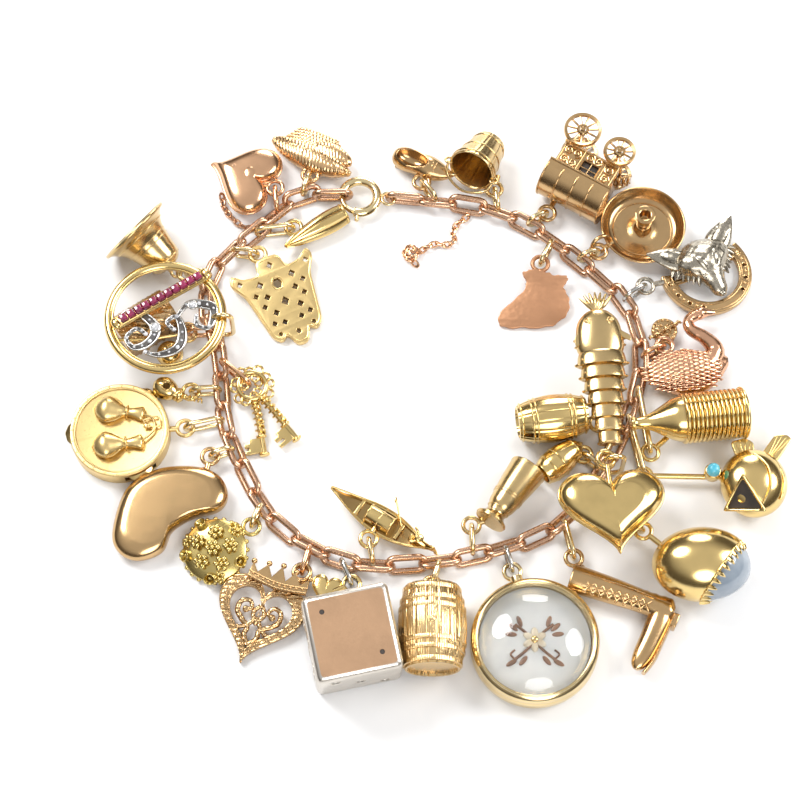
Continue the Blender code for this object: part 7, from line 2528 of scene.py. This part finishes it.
@dataclass
class Studio:
    """The pale table, the soft light and the camera at the photograph's angle."""

    camera_place: tuple[float, float, float] = (-4.025, -119.45, 296.7)
    aim: tuple[float, float, float] = (-4.025, 0.4534, 0.0)
    lens: float = 100.0
    lamps: tuple[Lamp, ...] = (
        Lamp("key_softbox", (-230, 190, 330), 220, 1.6),
        Lamp("side_softbox", (300, 40, 240), 200, 0.9),
        Lamp("front_softbox", (60, -330, 260), 240, 0.7),
        Lamp("back_strip", (40, 330, 120), 160, 0.6),
    )
    table_size: float = 6.0
    table_tones: tuple[Colour, Colour] = ((0.82, 0.82, 0.825, 1.0), (0.86, 0.86, 0.86, 1.0))
    table_grain: float = 30.0
    room_tones: tuple[tuple[float, Colour], ...] = (
        (0.0, (0.1, 0.085, 0.07, 1.0)),
        (0.4, (0.2, 0.18, 0.16, 1.0)),
        (0.82, (0.95, 0.95, 0.96, 1.0)),
    )
    room_strength: float = 0.74

    def table(self) -> None:
        """The pale table top, with a trace of grain."""
        bpy.ops.object.select_all(action="DESELECT")
        bpy.ops.mesh.primitive_plane_add(size=self.table_size, location=(0, 0, 0))
        top = bpy.context.object
        top.name = "table_top"
        paper = bpy.data.materials.new("pale_table")
        paper.use_nodes = True
        nodes, links = paper.node_tree.nodes, paper.node_tree.links
        shader = nodes["Principled BSDF"]
        shader.inputs["Roughness"].default_value = 0.6
        where = nodes.new("ShaderNodeTexCoord").outputs["Object"]
        cloud = nodes.new("ShaderNodeTexNoise")
        cloud.inputs["Scale"].default_value = self.table_grain
        links.new(where, cloud.inputs["Vector"])
        tone = nodes.new("ShaderNodeMix")
        tone.data_type = "RGBA"
        tone.inputs["A"].default_value, tone.inputs["B"].default_value = self.table_tones
        links.new(cloud.outputs["Fac"], tone.inputs["Factor"])
        links.new(tone.outputs["Result"], shader.inputs["Base Color"])
        top.data.materials.append(paper)

    def light(self) -> None:
        """The lamps and the room's own soft light, brighter above than at the horizon."""
        for lamp in self.lamps:
            bpy.ops.object.light_add(type="AREA", location=[MM * value for value in lamp.place])
            made = bpy.context.object
            made.name = lamp.name
            made.data.shape = "DISK"
            made.data.size = lamp.size * MM
            made.data.energy = lamp.power
            made.data.color = lamp.colour
            made.rotation_euler = (-Vector(lamp.place)).to_track_quat("-Z", "Y").to_euler()
        room = bpy.data.worlds.new("soft_room")
        room.use_nodes = True
        nodes, links = room.node_tree.nodes, room.node_tree.links
        way = nodes.new("ShaderNodeTexCoord").outputs["Generated"]
        split = nodes.new("ShaderNodeSeparateXYZ")
        links.new(way, split.inputs["Vector"])
        ramp = nodes.new("ShaderNodeValToRGB")
        stops = ramp.color_ramp.elements
        stops.new(self.room_tones[1][0])
        for stop, (position, colour) in zip(stops, self.room_tones):
            stop.position = position
            stop.color = colour
        links.new(split.outputs["Z"], ramp.inputs["Fac"])
        shade = nodes["Background"]
        shade.inputs["Strength"].default_value = self.room_strength
        links.new(ramp.outputs["Color"], shade.inputs["Color"])
        bpy.context.scene.world = room
        bpy.context.scene.view_settings.view_transform = "Standard"

    def camera(self) -> None:
        """The camera, looking down at the middle of the loop."""
        place = Vector(self.camera_place) * MM
        bpy.ops.object.camera_add(location=place)
        made = bpy.context.object
        made.name = "view_camera"
        made.rotation_euler = (Vector(self.aim) * MM - place).to_track_quat("-Z", "Y").to_euler()
        made.data.lens = self.lens
        made.data.sensor_width = 36.0
        made.data.clip_start = 0.01
        made.data.clip_end = 20.0
        made.data.dof.use_dof = False
        bpy.context.scene.camera = made

    def make(self) -> None:
        """Sets the whole room up."""
        self.camera()
        self.table()
        self.light()


def make_brooch(chain: Chain) -> None:
    """Makes the brooch beside the link that holds it, and the rubies in its bar."""
    held = chain.nearest(*BROOCH_LINK)
    across, along = BROOCH_SHIFT
    brooch = Brooch(at=(held.x + LINK_GRIP + JUMP_HALF_HEIGHT + across, held.y + along))
    brooch.make()
    x, y = brooch.bar_middle
    place = (brooch.at[0] + x, brooch.at[1] + y)
    RubyRow(at=place, turn=(0, 0, brooch.bar_turn), rest=RUBY_REST, holder=brooch).make()


def make_moving_parts(charms: Sequence[Charm]) -> None:
    """Makes the tambourine's jingles and the caravan's wheels, which turn on bodies of their own."""
    tambourine = next(charm for charm in charms if isinstance(charm, Tambourine))
    for number, angle in enumerate(tambourine.angles, start=1):
        Jingle(number, angle, tambourine).make()
    caravan = next(charm for charm in charms if isinstance(charm, Caravan))
    rests = (WHEEL_REST, 2 * caravan.middle - WHEEL_CLEARANCE)
    wheels = [(*axle, rest) for axle in caravan.axle_places() for rest in rests]
    for number, wheel in enumerate(wheels, start=1):
        CartWheel(number, *wheel).make(caravan)


def make_rings(chain: Chain, charms: Sequence[Charm]) -> None:
    """Makes the chain and the ring of every charm that has one to itself."""
    eyes = [charm.eye for charm in charms if charm.eye and not charm.eye.shared]
    eyes.insert(KEYS_PLACE_IN_ORDER, Eye(KEY_GRIP, KEY_GRIP))
    brooch_top = BROOCH_REST + BROOCH_WIRE + RING_CLEARANCE + JUMP_WIRE / 2
    chain.make(eyes, [(*BROOCH_LINK, brooch_top), (*PLAIN_HEART_LINK, PLAIN_HEART_EYE_TOP)])


def main() -> None:
    """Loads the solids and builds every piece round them."""
    logging.basicConfig(level=logging.INFO, format="%(message)s")
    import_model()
    bpy.ops.object.select_all(action="DESELECT")
    Studio().make()
    chain = Chain()
    charms = charms_in_order()
    for charm in charms:
        charm.make()
    make_brooch(chain)
    make_moving_parts(charms)
    make_rings(chain, charms)
    BoltRing().make(chain.tail_eye())
    for fine in fine_chains(chain):
        fine.make()
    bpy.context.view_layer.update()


if __name__ == "__main__":
    main()
